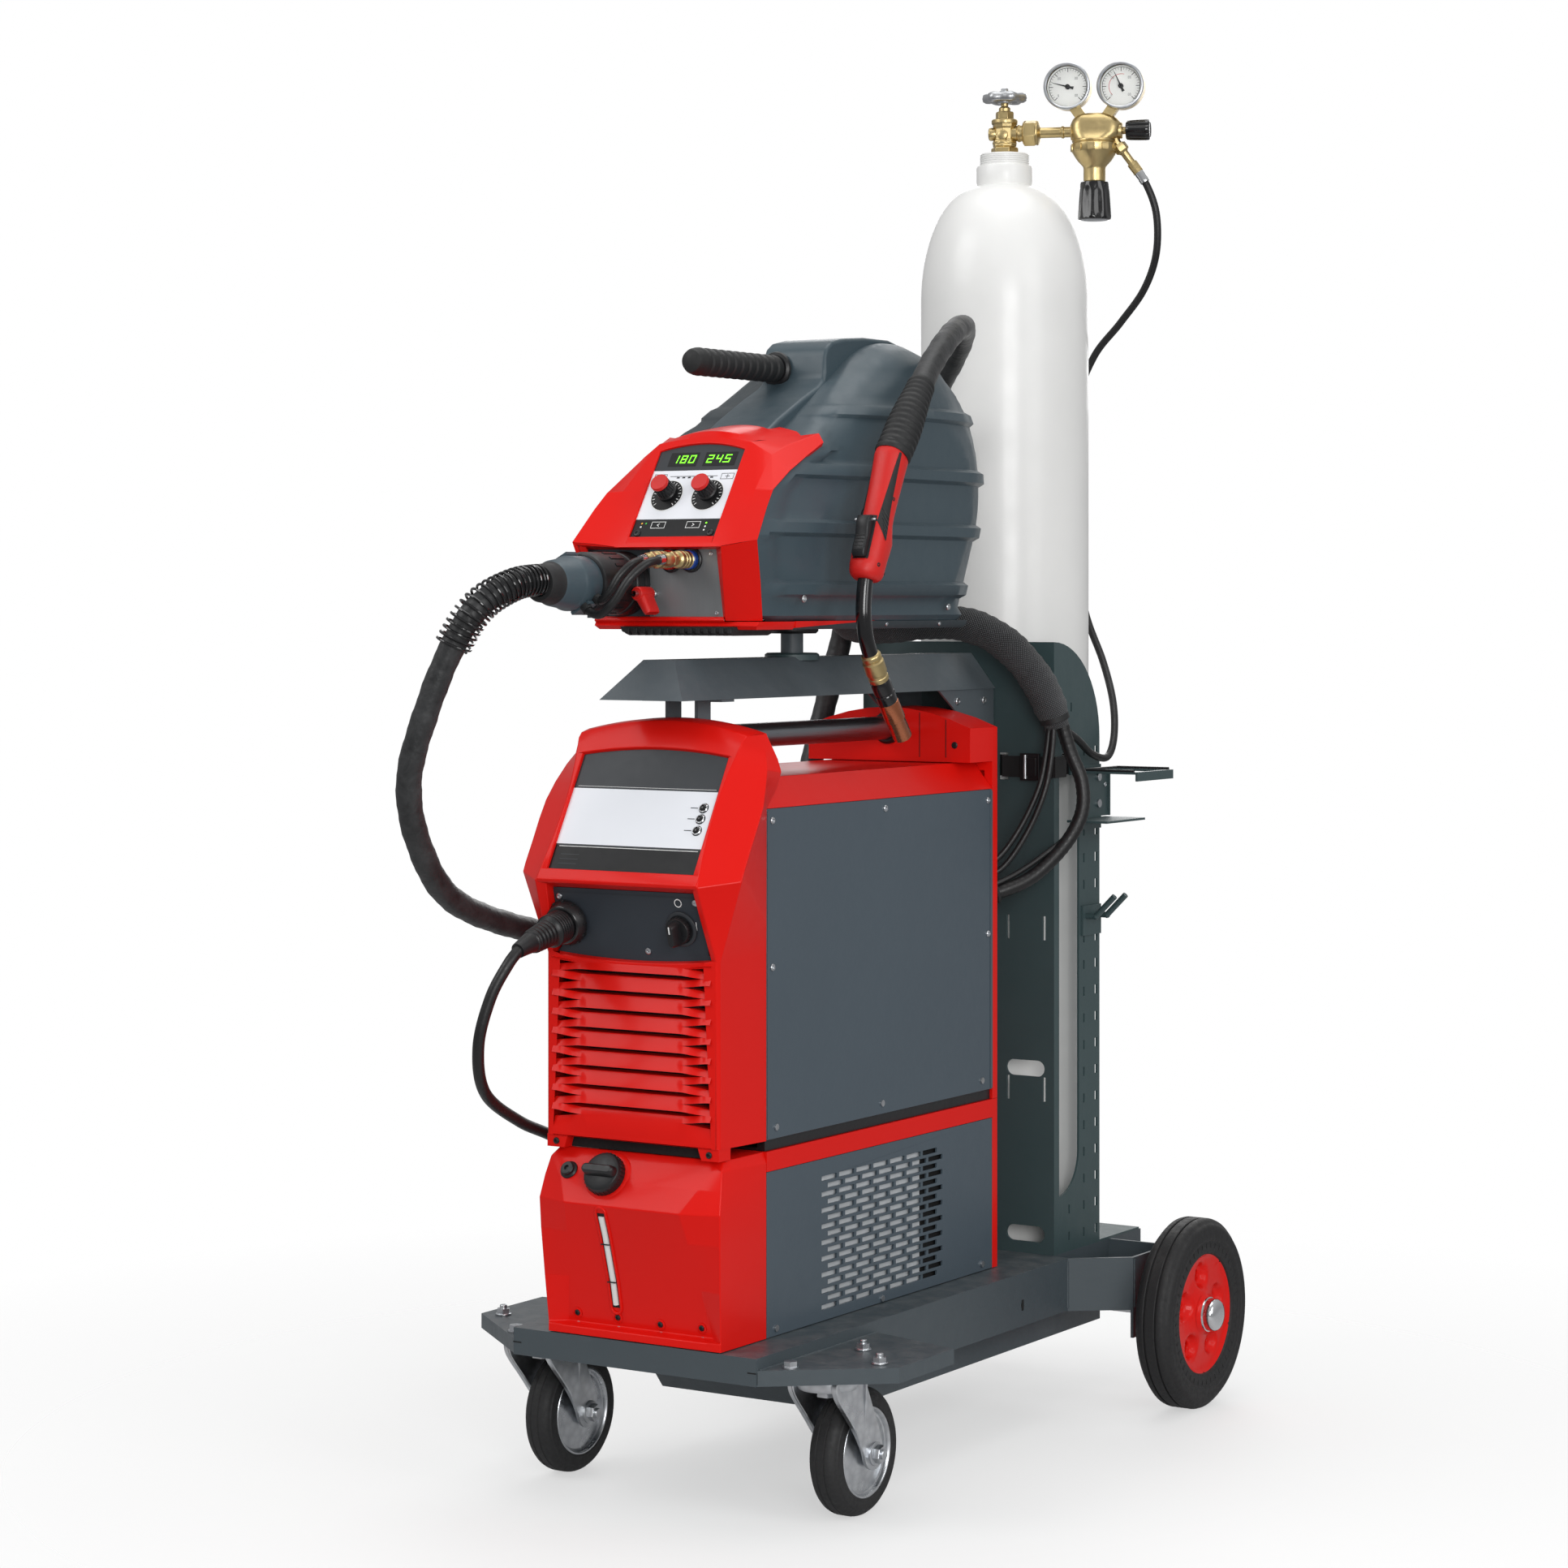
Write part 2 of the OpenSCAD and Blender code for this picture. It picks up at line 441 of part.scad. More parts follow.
module source_cover() color(red) difference() {
    py([-391.6, 147.6], [[-122, 826.4], [-95, 861], [95, 861], [122, 826.4]]);
    py([-392, 85], [[-118.4, 825], [-93.5, 858], [93.5, 858], [118.4, 825]]);
    bx([-92, 92], [85.6, 150], [820, 870]);
    both() bx([17, 25], [-391, -361], [850, 870]);
}
module source_sides() color(grey) both() bx([119, 122], [-391.6, 147.6], [438.6, 826]);
module source_rear() color(red) difference() {
    union() {
        bx([-122, 122], [148, 161], [425.4, 866]);
        py([90, 161], concat([[-122, 862]], [for (a = [-1:0.25:1]) [122 * a, 932 - 26 * a * a]], [[122, 862]]));
    }
    bx([-116, 116], [96, 155], [864, 895]);
    bx([-110, 110], [147, 156], [440, 850]);
    for (k = [0:13]) bx([-70, 70], [150, 165], [520 + 12 * k, 526 + 12 * k]);
    cyly(0, 85, 100, 905, tube_d + 0.6);
    cyly(-60, 150, 170, 470, 32);
}
module source_handle() color(grey) difference() {
    cyly(0, -396, 95.6, 905, tube_d);
    cyly(0, -400, 99, 905, tube_d - 5);
}
module source_core() color([0.55, 0.57, 0.58]) {
    bx([-118.6, 118.6], [-391, 147], [425.6, 429]);
    both() bx([108, 118.6], [-391, 147], [429, 438]);
    bx([-104, 104], [-340, 60], [440, 560]);
    bx([-100, 100], [-300, 60], [560, 790]);
    cyly(0, 60, 104, 600, 60);
    cyly(0, 104, 139, 600, 10);
    bx([-60, -20], [-340, -300], [560, 700]);
}
module cooling_fan() color(black) translate([0, 0, 600]) difference() {
    union() {
        cyly(0, 108, 138, 0, 52);
        for (k = [0:6]) rotate([0, 360 / 7 * k, 0]) translate([22, 123, 0]) rotate([38, 0, 0]) translate([0, -1.5, -17]) cube([fan_d / 2 - 22, 3, 34]);
    }
    cyly(0, 100, 150, 0, 10 + run);
}
module return_plug() color(black) {
    rod([-88, -504, 690.5], [-88, -530, 684], 36);
    rod([-88, -529, 684.2], [-90, -572, 672], 30);
    rod([-90, -571, 672.3], [-91, -590, 666], 20);
}

// ---------------------------------------------------------------- cooler
cap_n = [0, -0.864, 0.504];
cap_c = [-32, -495.4, 397];
module cooler_casing() color(red) difference() {
    union() {
        hull() {
            px([-82, 82], [[-400, 206.6], [-470, 206.6], [-466, 245], [-514, 365], [-480, 425], [-400, 425]]);
            px([-122, 122], [[-392, 206.6], [-462, 206.6], [-494, 365], [-478, 425], [-392, 425]]);
        }
        bx([-122, 122], [-393, 161], [401.4, 425]);
        bx([-122, 122], [148, 161], [206.6, 425]);
        rod(cap_c - 6 * cap_n, cap_c + 10 * cap_n, 40);
        translate([-88, -497.5, 394]) rotate([60, 0, 0]) cylinder(d = 18, h = 5);
    }
    bx([-118, 118], [-460, 156], [205, 400]);
    bx([-112, 112], [-392, 150], [395, 420]);
    rod(cap_c - 30 * cap_n, cap_c + 20 * cap_n, 30);
    px([-34, -26], [[-515, 357], [-460, 246], [-440, 246], [-490, 357]]);
    px([-110, 110], [[-461, 300], [-490, 362], [-462, 412], [-430, 412], [-430, 300]]);
}
module filler_cap() color(black) difference() {
    union() {
        rod(cap_c + 1 * cap_n, cap_c + 18 * cap_n, cap_d);
        hull() for (s = [-1, 1]) translate([s * 20, 0, 0]) rod(cap_c + 17 * cap_n, cap_c + 27 * cap_n, 12, 24);
    }
    rod(cap_c, cap_c + 12 * cap_n, 40 + run);
}
module cooler_sides() color(grey) difference() {
    both() bx([119, 122], [-391.6, 147.6], [207, 401]);
    both() for (r = [0:16]) for (k = [0:6]) bx([115, 125], [-270 + 40 * k + (r % 2) * 14, -235 + 40 * k + (r % 2) * 14], [220 + 9.65 * r, 226 + 9.65 * r]);
}
module coolant_tank() color([0.85, 0.86, 0.84]) difference() {
    bx([-112, 40], [-428, -290], [212, 390]);
    bx([-109, 37], [-425, -293], [215, 387]);
}
module radiator() color(zinc) {
    bx([92, 114], [-276, 40], [212, 388]);
    for (k = [0:20]) bx([114, 116], [-272 + 15 * k, -268 + 15 * k], [214, 386]);
    bx([20, 92], [-120, 20], [207.2, 300]);
}

module fasteners() color(zinc) {
    both() for (p = plate_bolts) {
        cylz(p[0], p[1], 192.2, 194.4, 19);
        translate([p[0], p[1], 194.4]) cylinder(d = 17, h = 6, $fn = 6);
        cylz(p[0], p[1], 178, 195, 9.6);
        translate([p[0], p[1], 175.5]) cylinder(d = 17, h = 8, $fn = 6);
    }
    both() {
        for (p = [[-372, 452], [-130, 452], [120, 452], [-372, 216], [-130, 212], [120, 216]]) cylx(122.1, 124, p[0], p[1], 8);
        for (p = [[88, 215], [30, 215]]) cyly(p[0], -476, -473.7, p[1], 9);
        cylx(57.1, 59, 170, 938, 9);
        cylx(57.1, 59, 240, 938, 9);
    }
    for (z = [797.2, 832.9]) { cylx(150.1, 153, 389, z, 11); cylx(143, 151, 389, z, 6); }
}

// ---------------------------------------------------------------- wire feeder
// point on the feeder's panel face, s up the slope and t out of it
function fp(s, t) = [-412 + 0.5405 * s - 0.8417 * t, 1146 + 0.8417 * s + 0.5405 * t];
module feeder_base() color(red) difference() {
    union() {
        bx([-116, 116], [-404, 90], [1035, 1044]);
        cylz(0, post_y, 1040, 1088, 66);
        px([-70, 84], [[-412, 1040], [-408, 1028], [-330, 1028], [-322, 1040]]);
    }
    cylz(0, post_y, 1020, 1075.4, post_d + run);
    for (k = [0:12]) bx([-68 + 12 * k, -63 + 12 * k], [-420, -320], [1026, 1031]);
}
module feeder_front() color(red) difference() {
    hull() {
        bx([-116, 116], [-402, -330], [1044.4, 1046]);
        bx([-144, 144], [-420, -330], [1130, 1136]);
        px([-74, 74], [fp(0, 0), fp(136, 0), [-322, 1268], [-252, 1262], [-252, 1200]]);
        bx([-122, 122], [-330, -252], [1190, 1225]);
    }
    px([-61, 61], [fp(1, -3.2), fp(1, 40), fp(133, 40), fp(133, -3.2)]);
    px([-54, 54], [fp(8, -14), fp(8, 9), fp(126, 9), fp(126, -14)]);
    bx([-128, 104], [-440, -398], [1050, 1130]);
    bx([-108, 108], [-399, -240], [1040, 1140]);
    bx([-66, 66], [-372, -240], [1139, 1190]);
    // room for the covers behind
    translate([0, 0, 0]) drum_body(0.4);
}
module feeder_panel() color([0.8, 0.82, 0.84]) {
    px([-60.8, 60.8], [fp(1.2, -3), fp(1.2, 0), fp(132.8, 0), fp(132.8, -3)]);
    for (x = [-29, 29]) translate([x, fp(64, -2)[0], fp(64, -2)[1]]) rotate([57.3, 0, 0]) cylinder(d = 6, h = 14);
    bx([-127.6, 103.6], [-401.6, -398.2], [1050.4, 1129.6]);
}
module feed_knob(x) translate([x, fp(64, 0)[0], fp(64, 0)[1]]) rotate([57.3, 0, 0]) difference() {
    union() {
        translate([0, 0, 0.6]) cylinder(d = 36, h = 2);
        translate([0, 0, 2]) cylinder(d = knob_d, h = 15);
        translate([0, 0, 17]) cylinder(d = knob_d + 1, h = 4);
    }
    translate([0, 0, -1]) cylinder(d = 6 + run, h = 14);
}
module feed_knob_left() color(red) feed_knob(-29);
module feed_knob_right() color(red) feed_knob(29);
// outer form of both covers, c larger all round
module drum_body(c) hull() {
    cylx(-58 - c, 58 + c, drum[0], drum[1], 366 + 2 * c, $fn = 48);
    cylx(-116 - c, 116 + c, drum[0], drum[1], 290 + 2 * c, $fn = 48);
    cylx(-144 - c, 144 + c, drum[0] - 20, drum[1] - 20, 200 + 2 * c, $fn = 48);
    bx([-120 - c, 120 + c], [-250 - c, 70 + c], [1045 - c, 1060]);
    bx([-144 - c, 144 + c], [-330 - c, 20 + c], [1080 - c, 1170 + c]);
}
module arm(c) hull() {
    cylx(-42 - c, 50 + c, -118, 1366, 56 + 2 * c, $fn = 32);
    bx([-42 - c, 50 + c], [-128 - c, -100], [1300 - c, 1340]);
    bx([-42 - c, 50 + c], [-60, 60 + c], [1330 - c, 1386 + c]);
}
module half_cover(s) difference() {
    drum_body(0);
    hull() {
        cylx(-54, 54, drum[0], drum[1], 354, $fn = 48);
        cylx(-112, 112, drum[0], drum[1], 280, $fn = 48);
        bx([-140, 140], [-326, 16], [1080, 1166]);
        bx([-116, 116], [-246, 66], [1049, 1060]);
    }
    bx(s > 0 ? [-160, 0.2] : [-0.2, 160], [-450, 250], [1000, 1450]);
    arm(0.3);
    bx([-118, 118], [-340, -200], [1084, 1160]);
    cyly(-86, 60, 200, 1066, 50);
    bx([-200, 200], [-450, 250], [1000, 1044.4]);
    cylz(0, post_y, 1030, 1100, 67);
}
module feeder_cover_right() color(grey) half_cover(1);
module feeder_cover_left() color(dark) half_cover(-1);
module feeder_handle() color(grey) {
    difference() {
        arm(0);
        translate([0, drum[0], drum[1]]) rotate([0, 90, 0]) cylinder(d = 340, h = 200, center = true);
    }
    translate([-20, -146, 1358]) rotate([90, 0, 0]) rotate_extrude($fn = 48) polygon(concat([[0, -10], [grip_d / 2 - 2, -10]],
        [for (k = [0:11]) each [[grip_d / 2 - 2, 16 * k], [grip_d / 2, 16 * k + 4], [grip_d / 2, 16 * k + 10], [grip_d / 2 - 2, 16 * k + 14]]], [[grip_d / 2 - 4, 192], [0, 195]]));
}
module drive_unit() color([0.3, 0.3, 0.32]) {
    bx([-60, -56], [-240, 60], [1049.6, 1190]);
    bx([-60, 50], [-318, -220], [1090, 1158]);
    cylx(49, 96, -270, 1124, 60);
    // spindle for the spool
    cylx(-58, 60, drum[0], drum[1], 50);
    px([-60, -56], [[-40, 1180], [30, 1180], [16, 1236], [-26, 1236]]);
    bx([-20, 20], [-240, -180], [1088.4, 1100]);
}
module wire_spool() color([0.55, 0.42, 0.25]) difference() {
    union() {
        cylx(-54, -50, drum[0], drum[1], spool_d);
        cylx(48, 52, drum[0], drum[1], spool_d);
        cylx(-51, 49, drum[0], drum[1], spool_d - 40);
    }
    cylx(-60, 70, drum[0], drum[1], 50 + run);
}
module torch_connector() color(black) {
    intersection() { cyly(-75, -412, -402, 1090, 92); bx([-123, -27], [-413, -401], [1051, 1129]); }
    cyly(-75, -490, -411, 1090, 74);
    // plug of the torch lead
    translate([-75, -490, 1090]) rotate([90, 0, 0]) rotate_extrude() polygon([[0, 0], [32, 0], [32, 30], [26, 60], [21, 82], [0, 82]]);
    // pin of the locking lever
    cyly(-30, -446, -402, 1078, 7);
}
module lock_lever() color(red) difference() {
    union() {
        cyly(-30, -440, -412.6, 1078, 14);
        hull() { cyly(-30, -440, -412.6, 1078, 12, $fn = 24); cyly(-18, -440, -412.6, 1058, 12, $fn = 24); }
    }
    cyly(-30, -450, -400, 1078, 7 + run);
}
module water_couplings() color(brass) {
    for (x = [-6, 23]) {
        cyly(x, -414, -402, 1118, 24);
        cyly(x, -440, -413, 1118, 19);
        cyly(x, x < 0 ? -458 : -462, -439, 1118, 15);
    }
    sweep(water_a, 10, 3);
    sweep(water_b, 10, 3);
}

// ---------------------------------------------------------------- torch
module torch_handle() color(red) difference() {
    union() {
        hull() { translate([185, -214, 1236]) sphere(d = 34, $fn = 32); translate([185, -240, 1180]) sphere(d = 40, $fn = 32); }
        hull() { translate([185, -240, 1180]) sphere(d = 40, $fn = 32); translate([185, -262, 1130]) sphere(d = 44, $fn = 32); }
        hull() { translate([185, -262, 1130]) sphere(d = 44, $fn = 32); translate([185, -271, 1102]) sphere(d = 34, $fn = 32); }
    }
    // room for the trigger
    bx([176, 194], [-300, -268], [1118, 1172]);
    rod([185, -274, 1090], [185, -270, 1110], 21);
    rod([185, -208, 1262], [185, -216, 1236], 31);
    cylx(170, 200, -272, 1166, 4 + run);
}
module torch_neck() color(brass) {
    sweep(neck_route, 19, 3, 12);
    rod([185, -260.4, 1003.7], [185, -240, 973], 26);
    rod([185, -240, 973], [185, -220, 948], 24);
    difference() {
        rod([185, -221, 949], [185, -186, 905], 25);
        rod([185, -221, 949] + 26 * unit([0, 35, -44]), [185, -186, 905] + 10 * unit([0, 35, -44]), 17);
    }
}
module torch_trigger() color(black) {
    cylx(170.6, 199.4, -272, 1166, 4);
    px([177, 193], [[-269, 1171], [-275, 1171], [-284, 1150], [-289, 1124], [-279, 1120], [-269, 1160]]);
}

// ---------------------------------------------------------------- cords
module torch_hose() color(black) sweep(torch_route, torch_hose_d, 2, 12);
module return_cable() color(black) sweep(return_route, return_d, 3, 10);
coil_c = [-182, 372, 594.5];
module return_coil() color(black) translate(coil_c) rotate([0, 90, 0]) rotate_extrude() translate([82, 0]) { square([30, 40], center = true); translate([0, 0]) square([42, 28], center = true); }
module clamp_body() color(brass) translate([-4, 0, 10]) {
    cylz(-178, 359, 455, 481, 14);
    px([-186, -170], [[352, 462], [366, 462], [368, 420], [372, 350], [360, 330], [350, 336], [356, 360], [354, 420]]);
    cylx(-190, -166, 372, 406, 8);
    px([-186, -170], [[364, 412], [372, 412], [376, 406], [372, 400], [364, 400]]);
}
module clamp_jaw() color(brass) translate([-4, 0, 10]) difference() {
    union() {
        for (x = [[-190, -186.4], [-169.6, -166]]) px(x, [[366, 400], [378, 396], [386, 402], [402, 470], [392, 474], [366, 414]]);
        px([-190, -166], [[382, 404], [392, 360], [384, 334], [376.4, 340], [381, 362], [378, 396]]);
        px([-190, -166], [[396, 456], [392, 474], [402, 470]]);
    }
    cylx(-195, -160, 372, 406, 8 + run);
}
module interconnect_hose() color(black) {
    sweep(sleeve_route, sleeve_d, 2, 12);
    sweep(lead_a, 8, 3, 8);
    sweep(lead_b, 8, 3, 8);
    sweep(lead_c, 18, 3, 10);
    sweep(lead_d, 7, 3, 8);
}
module gas_hose() color(black) sweep(gas_route, gas_d, 3, 8);

cart_frame();
rear_axle();
caster_plates();
cylinder_column();
feeder_shelf();
column_brackets();
cylinder_strap();
gas_cylinder();
cylinder_valve();
regulator();
source_front();
source_panels();
source_cover();
source_sides();
source_rear();
source_handle();
source_core();
cooler_casing();
cooler_sides();
coolant_tank();
radiator();
fasteners();
return_plug();
return_cable();
return_coil();
interconnect_hose();
gas_hose();
torch_hose();
clamp_body();
clamp_jaw();
rear_wheel_left();
rear_wheel_right();
caster_fork_left();
caster_fork_right();
caster_wheel_left();
caster_wheel_right();
valve_handwheel();
regulator_knob();
flow_knob();
gauge_needle_left();
gauge_needle_right();
main_switch();
filler_cap();
cooling_fan();
feeder_cover_right();
feeder_cover_left();
feeder_front();
feeder_panel();
feeder_base();
feeder_handle();
drive_unit();
wire_spool();
torch_connector();
lock_lever();
water_couplings();
feed_knob_left();
feed_knob_right();
torch_handle();
torch_neck();
torch_trigger();
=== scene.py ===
import math
import random

import bmesh
import bpy
import numpy as np
from mathutils import Matrix, Vector
from mathutils.bvhtree import BVHTree


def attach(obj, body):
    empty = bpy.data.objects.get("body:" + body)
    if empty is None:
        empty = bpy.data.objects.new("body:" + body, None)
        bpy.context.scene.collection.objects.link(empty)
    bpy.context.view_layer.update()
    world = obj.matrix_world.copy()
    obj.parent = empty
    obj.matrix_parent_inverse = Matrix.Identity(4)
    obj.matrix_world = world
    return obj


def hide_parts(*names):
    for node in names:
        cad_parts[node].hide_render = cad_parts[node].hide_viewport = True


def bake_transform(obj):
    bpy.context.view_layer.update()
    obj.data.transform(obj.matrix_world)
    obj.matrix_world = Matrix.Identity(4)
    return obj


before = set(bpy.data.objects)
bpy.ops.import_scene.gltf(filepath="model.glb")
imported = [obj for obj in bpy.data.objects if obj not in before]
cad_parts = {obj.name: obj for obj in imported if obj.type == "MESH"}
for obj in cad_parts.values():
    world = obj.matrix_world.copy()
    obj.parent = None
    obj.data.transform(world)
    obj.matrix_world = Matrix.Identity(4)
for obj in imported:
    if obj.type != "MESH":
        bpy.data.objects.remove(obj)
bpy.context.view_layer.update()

random.seed(11)
scene = bpy.context.scene
pi = math.pi


# ------------------------------------------------------------------ materials
def srgb(r, g, b):
    def f(c):
        c /= 255.0
        return c / 12.92 if c <= 0.04045 else ((c + 0.055) / 1.055) ** 2.4
    return (f(r), f(g), f(b), 1.0)


def scaled(c, k):
    return tuple(min(1.0, x * k) for x in c[:3]) + (1.0,)


class Mat:
    """A node material with short ways to add textures."""

    def __init__(s, name):
        s.m = bpy.data.materials.new(name)
        s.m.use_nodes = True
        s.t = s.m.node_tree
        s.b = s.t.nodes["Principled BSDF"]
        s.tc = s.t.nodes.new("ShaderNodeTexCoord")
        s.normal = None

    def n(s, kind):
        return s.t.nodes.new(kind)

    def link(s, a, b):
        s.t.links.new(a, b)

    def set(s, **kw):
        for k, v in kw.items():
            s.b.inputs[k.replace("_", " ")].default_value = v

    def coord(s, kind="Object", scale=None, rot=None):
        out = s.tc.outputs[kind]
        if scale is None and rot is None:
            return out
        mp = s.n("ShaderNodeMapping")
        if scale is not None:
            mp.inputs["Scale"].default_value = scale
        if rot is not None:
            mp.inputs["Rotation"].default_value = rot
        s.link(out, mp.inputs["Vector"])
        return mp.outputs["Vector"]

    def noise(s, scale, detail=3.0, rough=0.5, dist=0.0, vec=None):
        n = s.n("ShaderNodeTexNoise")
        n.inputs["Scale"].default_value = scale
        n.inputs["Detail"].default_value = detail
        n.inputs["Roughness"].default_value = rough
        n.inputs["Distortion"].default_value = dist
        s.link(vec if vec is not None else s.coord(), n.inputs["Vector"])
        return n.outputs["Fac"]

    def voronoi(s, scale, vec=None, feature="F1"):
        n = s.n("ShaderNodeTexVoronoi")
        n.feature = feature
        n.inputs["Scale"].default_value = scale
        s.link(vec if vec is not None else s.coord(), n.inputs["Vector"])
        return n.outputs["Distance"]

    def wave(s, scale, vec, dist=0.0, direction="X", profile="SIN"):
        n = s.n("ShaderNodeTexWave")
        n.wave_type = "BANDS"
        n.bands_direction = direction
        n.wave_profile = profile
        n.inputs["Scale"].default_value = scale
        n.inputs["Distortion"].default_value = dist
        s.link(vec, n.inputs["Vector"])
        return n.outputs["Fac"]

    def range(s, fac, lo, hi, a=0.0, b=1.0):
        n = s.n("ShaderNodeMapRange")
        n.inputs["From Min"].default_value = a
        n.inputs["From Max"].default_value = b
        n.inputs["To Min"].default_value = lo
        n.inputs["To Max"].default_value = hi
        s.link(fac, n.inputs["Value"])
        return n.outputs["Result"]

    def math(s, op, a, b):
        n = s.n("ShaderNodeMath")
        n.operation = op
        for i, v in enumerate((a, b)):
            if isinstance(v, (int, float)):
                n.inputs[i].default_value = v
            else:
                s.link(v, n.inputs[i])
        return n.outputs[0]

    def mix(s, fac, a, b):
        n = s.n("ShaderNodeMix")
        n.data_type = "RGBA"
        s.link(fac, n.inputs[0])
        for i, v in ((6, a), (7, b)):
            if isinstance(v, tuple):
                n.inputs[i].default_value = v
            else:
                s.link(v, n.inputs[i])
        return n.outputs[2]

    def bump(s, height, strength, dist):
        n = s.n("ShaderNodeBump")
        n.inputs["Strength"].default_value = strength
        n.inputs["Distance"].default_value = dist
        s.link(height, n.inputs["Height"])
        if s.normal is not None:
            s.link(s.normal, n.inputs["Normal"])
        s.normal = n.outputs["Normal"]

    def done(s, colour=None, rough=None):
        if colour is not None:
            s.link(colour, s.b.inputs["Base Color"])
        if rough is not None:
            s.link(rough, s.b.inputs["Roughness"])
        if s.normal is not None:
            s.link(s.normal, s.b.inputs["Normal"])
        return s.m


def up_facing(M):
    g = M.n("ShaderNodeNewGeometry")
    sp = M.n("ShaderNodeSeparateXYZ")
    M.link(g.outputs["Normal"], sp.inputs[0])
    return M.range(sp.outputs[2], 0.0, 1.0, 0.4, 1.0)


def surface(name, col, rough=0.4, metal=0.0, var=0.05, vs=6.0, rvar=0.06, grain=0.0, gs=500.0, gd=0.0004, coat=0.0,
            crough=0.1, spec=0.5, dust=0.0, scuff=0.0, sheen=0.0, peel=0.0):
    M = Mat(name)
    big = M.noise(vs, 5, 0.6)
    c = M.mix(M.range(big, 0, 1, 0.3, 0.7), scaled(col, 1 - var), scaled(col, 1 + var))
    fine = M.noise(vs * 11, 4, 0.6)
    r = M.range(fine, max(0.02, rough - rvar), rough + rvar, 0.3, 0.7)
    if scuff:
        sc = M.noise(26, 6, 0.7, 0.4, M.coord(scale=(1.0, 1.0, 6.0)))
        k = M.range(sc, 0.0, scuff, 0.62, 0.76)
        c = M.mix(k, c, scaled(col, 1.55))
        r = M.math("ADD", r, M.math("MULTIPLY", k, 0.25))
    if dust:
        k = M.math("MULTIPLY", up_facing(M), M.range(M.noise(38, 6, 0.7), 0.0, dust, 0.42, 0.72))
        c = M.mix(k, c, (0.42, 0.41, 0.39, 1.0))
        r = M.math("ADD", r, M.math("MULTIPLY", k, 0.4))
    if peel:
        M.bump(M.noise(130, 2, 0.4), peel, 0.0006)
    if grain:
        M.bump(M.noise(gs, 3, 0.6), grain, gd)
    M.set(Metallic=metal, Coat_Weight=coat, Coat_Roughness=crough, Specular_IOR_Level=spec, Sheen_Weight=sheen)
    return M.done(c, r)


RED = srgb(224, 24, 17)
red_shell = surface("red_shell", RED, 0.34, var=0.02, vs=3, rvar=0.03, grain=0.06, gs=1200, gd=0.00015, coat=0.14, crough=0.15, spec=0.10)
red_paint = surface("red_paint", scaled(RED, 0.97), 0.32, var=0.025, vs=4, rvar=0.03, peel=0.06, coat=0.20, crough=0.12, spec=0.12)
red_soft = surface("red_soft", srgb(206, 24, 18), 0.46, var=0.05, vs=30, grain=0.2, gs=1400)
grey_sheet = surface("grey_sheet", srgb(74, 86, 95), 0.38, var=0.04, vs=3, peel=0.22, grain=0.22, gs=1100, gd=0.00025, coat=0.10, crough=0.2, spec=0.4, scuff=0.05, dust=0.05)
deck_paint = surface("deck_paint", srgb(68, 77, 82), 0.42, var=0.05, vs=4, peel=0.25, grain=0.28, gs=1000, gd=0.0003, scuff=0.22, dust=0.16)
# a lighter copy of deck_paint for the shelf: painted light, the shelf catching more light than the deck
shelf_paint_painted_light = surface("shelf_paint_painted_light", srgb(88, 96, 101), 0.42, var=0.05, vs=4, peel=0.25, grain=0.28, gs=1000, gd=0.0003, scuff=0.14, dust=0.10)
column_paint = surface("column_paint", srgb(60, 78, 80), 0.42, var=0.05, vs=3, peel=0.22, grain=0.25, gs=1000, gd=0.0003, scuff=0.10, dust=0.07)
shell_grey = surface("shell_grey", srgb(60, 76, 84), 0.44, var=0.045, vs=4, grain=0.32, gs=1500, gd=0.00025, coat=0.10, crough=0.25, dust=0.05)
shell_dark = surface("shell_dark", srgb(46, 55, 60), 0.48, var=0.05, vs=5, grain=0.32, gs=1500, gd=0.00025, dust=0.04)
black_plastic = surface("black_plastic", srgb(24, 25, 27), 0.40, var=0.10, vs=14, grain=0.25, gs=1600, gd=0.0002, dust=0.05)
black_gloss = surface("black_gloss", srgb(15, 15, 17), 0.16, var=0.10, vs=10, peel=0.06, coat=0.4, crough=0.06)
black_soft = surface("black_soft", srgb(27, 28, 29), 0.62, var=0.12, vs=18, grain=0.4, gs=900, gd=0.0003, dust=0.08)
# near-black: painted shade inside slots, gaps and the grille, and also the dark joint lines of the rear moulding
painted_shade_and_seams = surface("painted_shade_and_seams", srgb(12, 12, 13), 0.8, var=0.2, vs=20, grain=0.2)
rubber = surface("rubber", srgb(30, 30, 31), 0.64, var=0.14, vs=16, rvar=0.1, grain=0.45, gs=700, gd=0.0003, dust=0.14)
hose_rubber = surface("hose_rubber", srgb(22, 22, 23), 0.42, var=0.12, vs=22, rvar=0.1, grain=0.2, gs=500, dust=0.06)
white_print = surface("white_print", srgb(236, 237, 236), 0.5, var=0.02, vs=40)
white_film = surface("white_film", srgb(236, 239, 245), 0.40, var=0.02, vs=6, rvar=0.03, grain=0.08, gs=1800, gd=0.0001, coat=0.12, crough=0.25, spec=0.35)
dark_film = surface("dark_film", srgb(50, 54, 58), 0.44, var=0.04, vs=8, rvar=0.03, grain=0.08, gs=1800, gd=0.0001, coat=0.08, crough=0.3, spec=0.3)
black_film = surface("black_film", srgb(19, 20, 22), 0.46, var=0.05, vs=8, rvar=0.03, grain=0.08, gs=1800, gd=0.0001, coat=0.05, crough=0.3, spec=0.28)
panel_grey = surface("panel_grey", srgb(49, 55, 62), 0.42, var=0.05, vs=8, rvar=0.04, grain=0.25, gs=1500, gd=0.0002, coat=0.05, crough=0.3, spec=0.38, dust=0.03)
fin_metal = surface("fin_metal", srgb(186, 190, 193), 0.42, 0.25, 0.06, 24, 0.08, grain=0.2, gs=420)
white_dial = surface("white_dial", srgb(238, 238, 234), 0.45, var=0.02, vs=30)
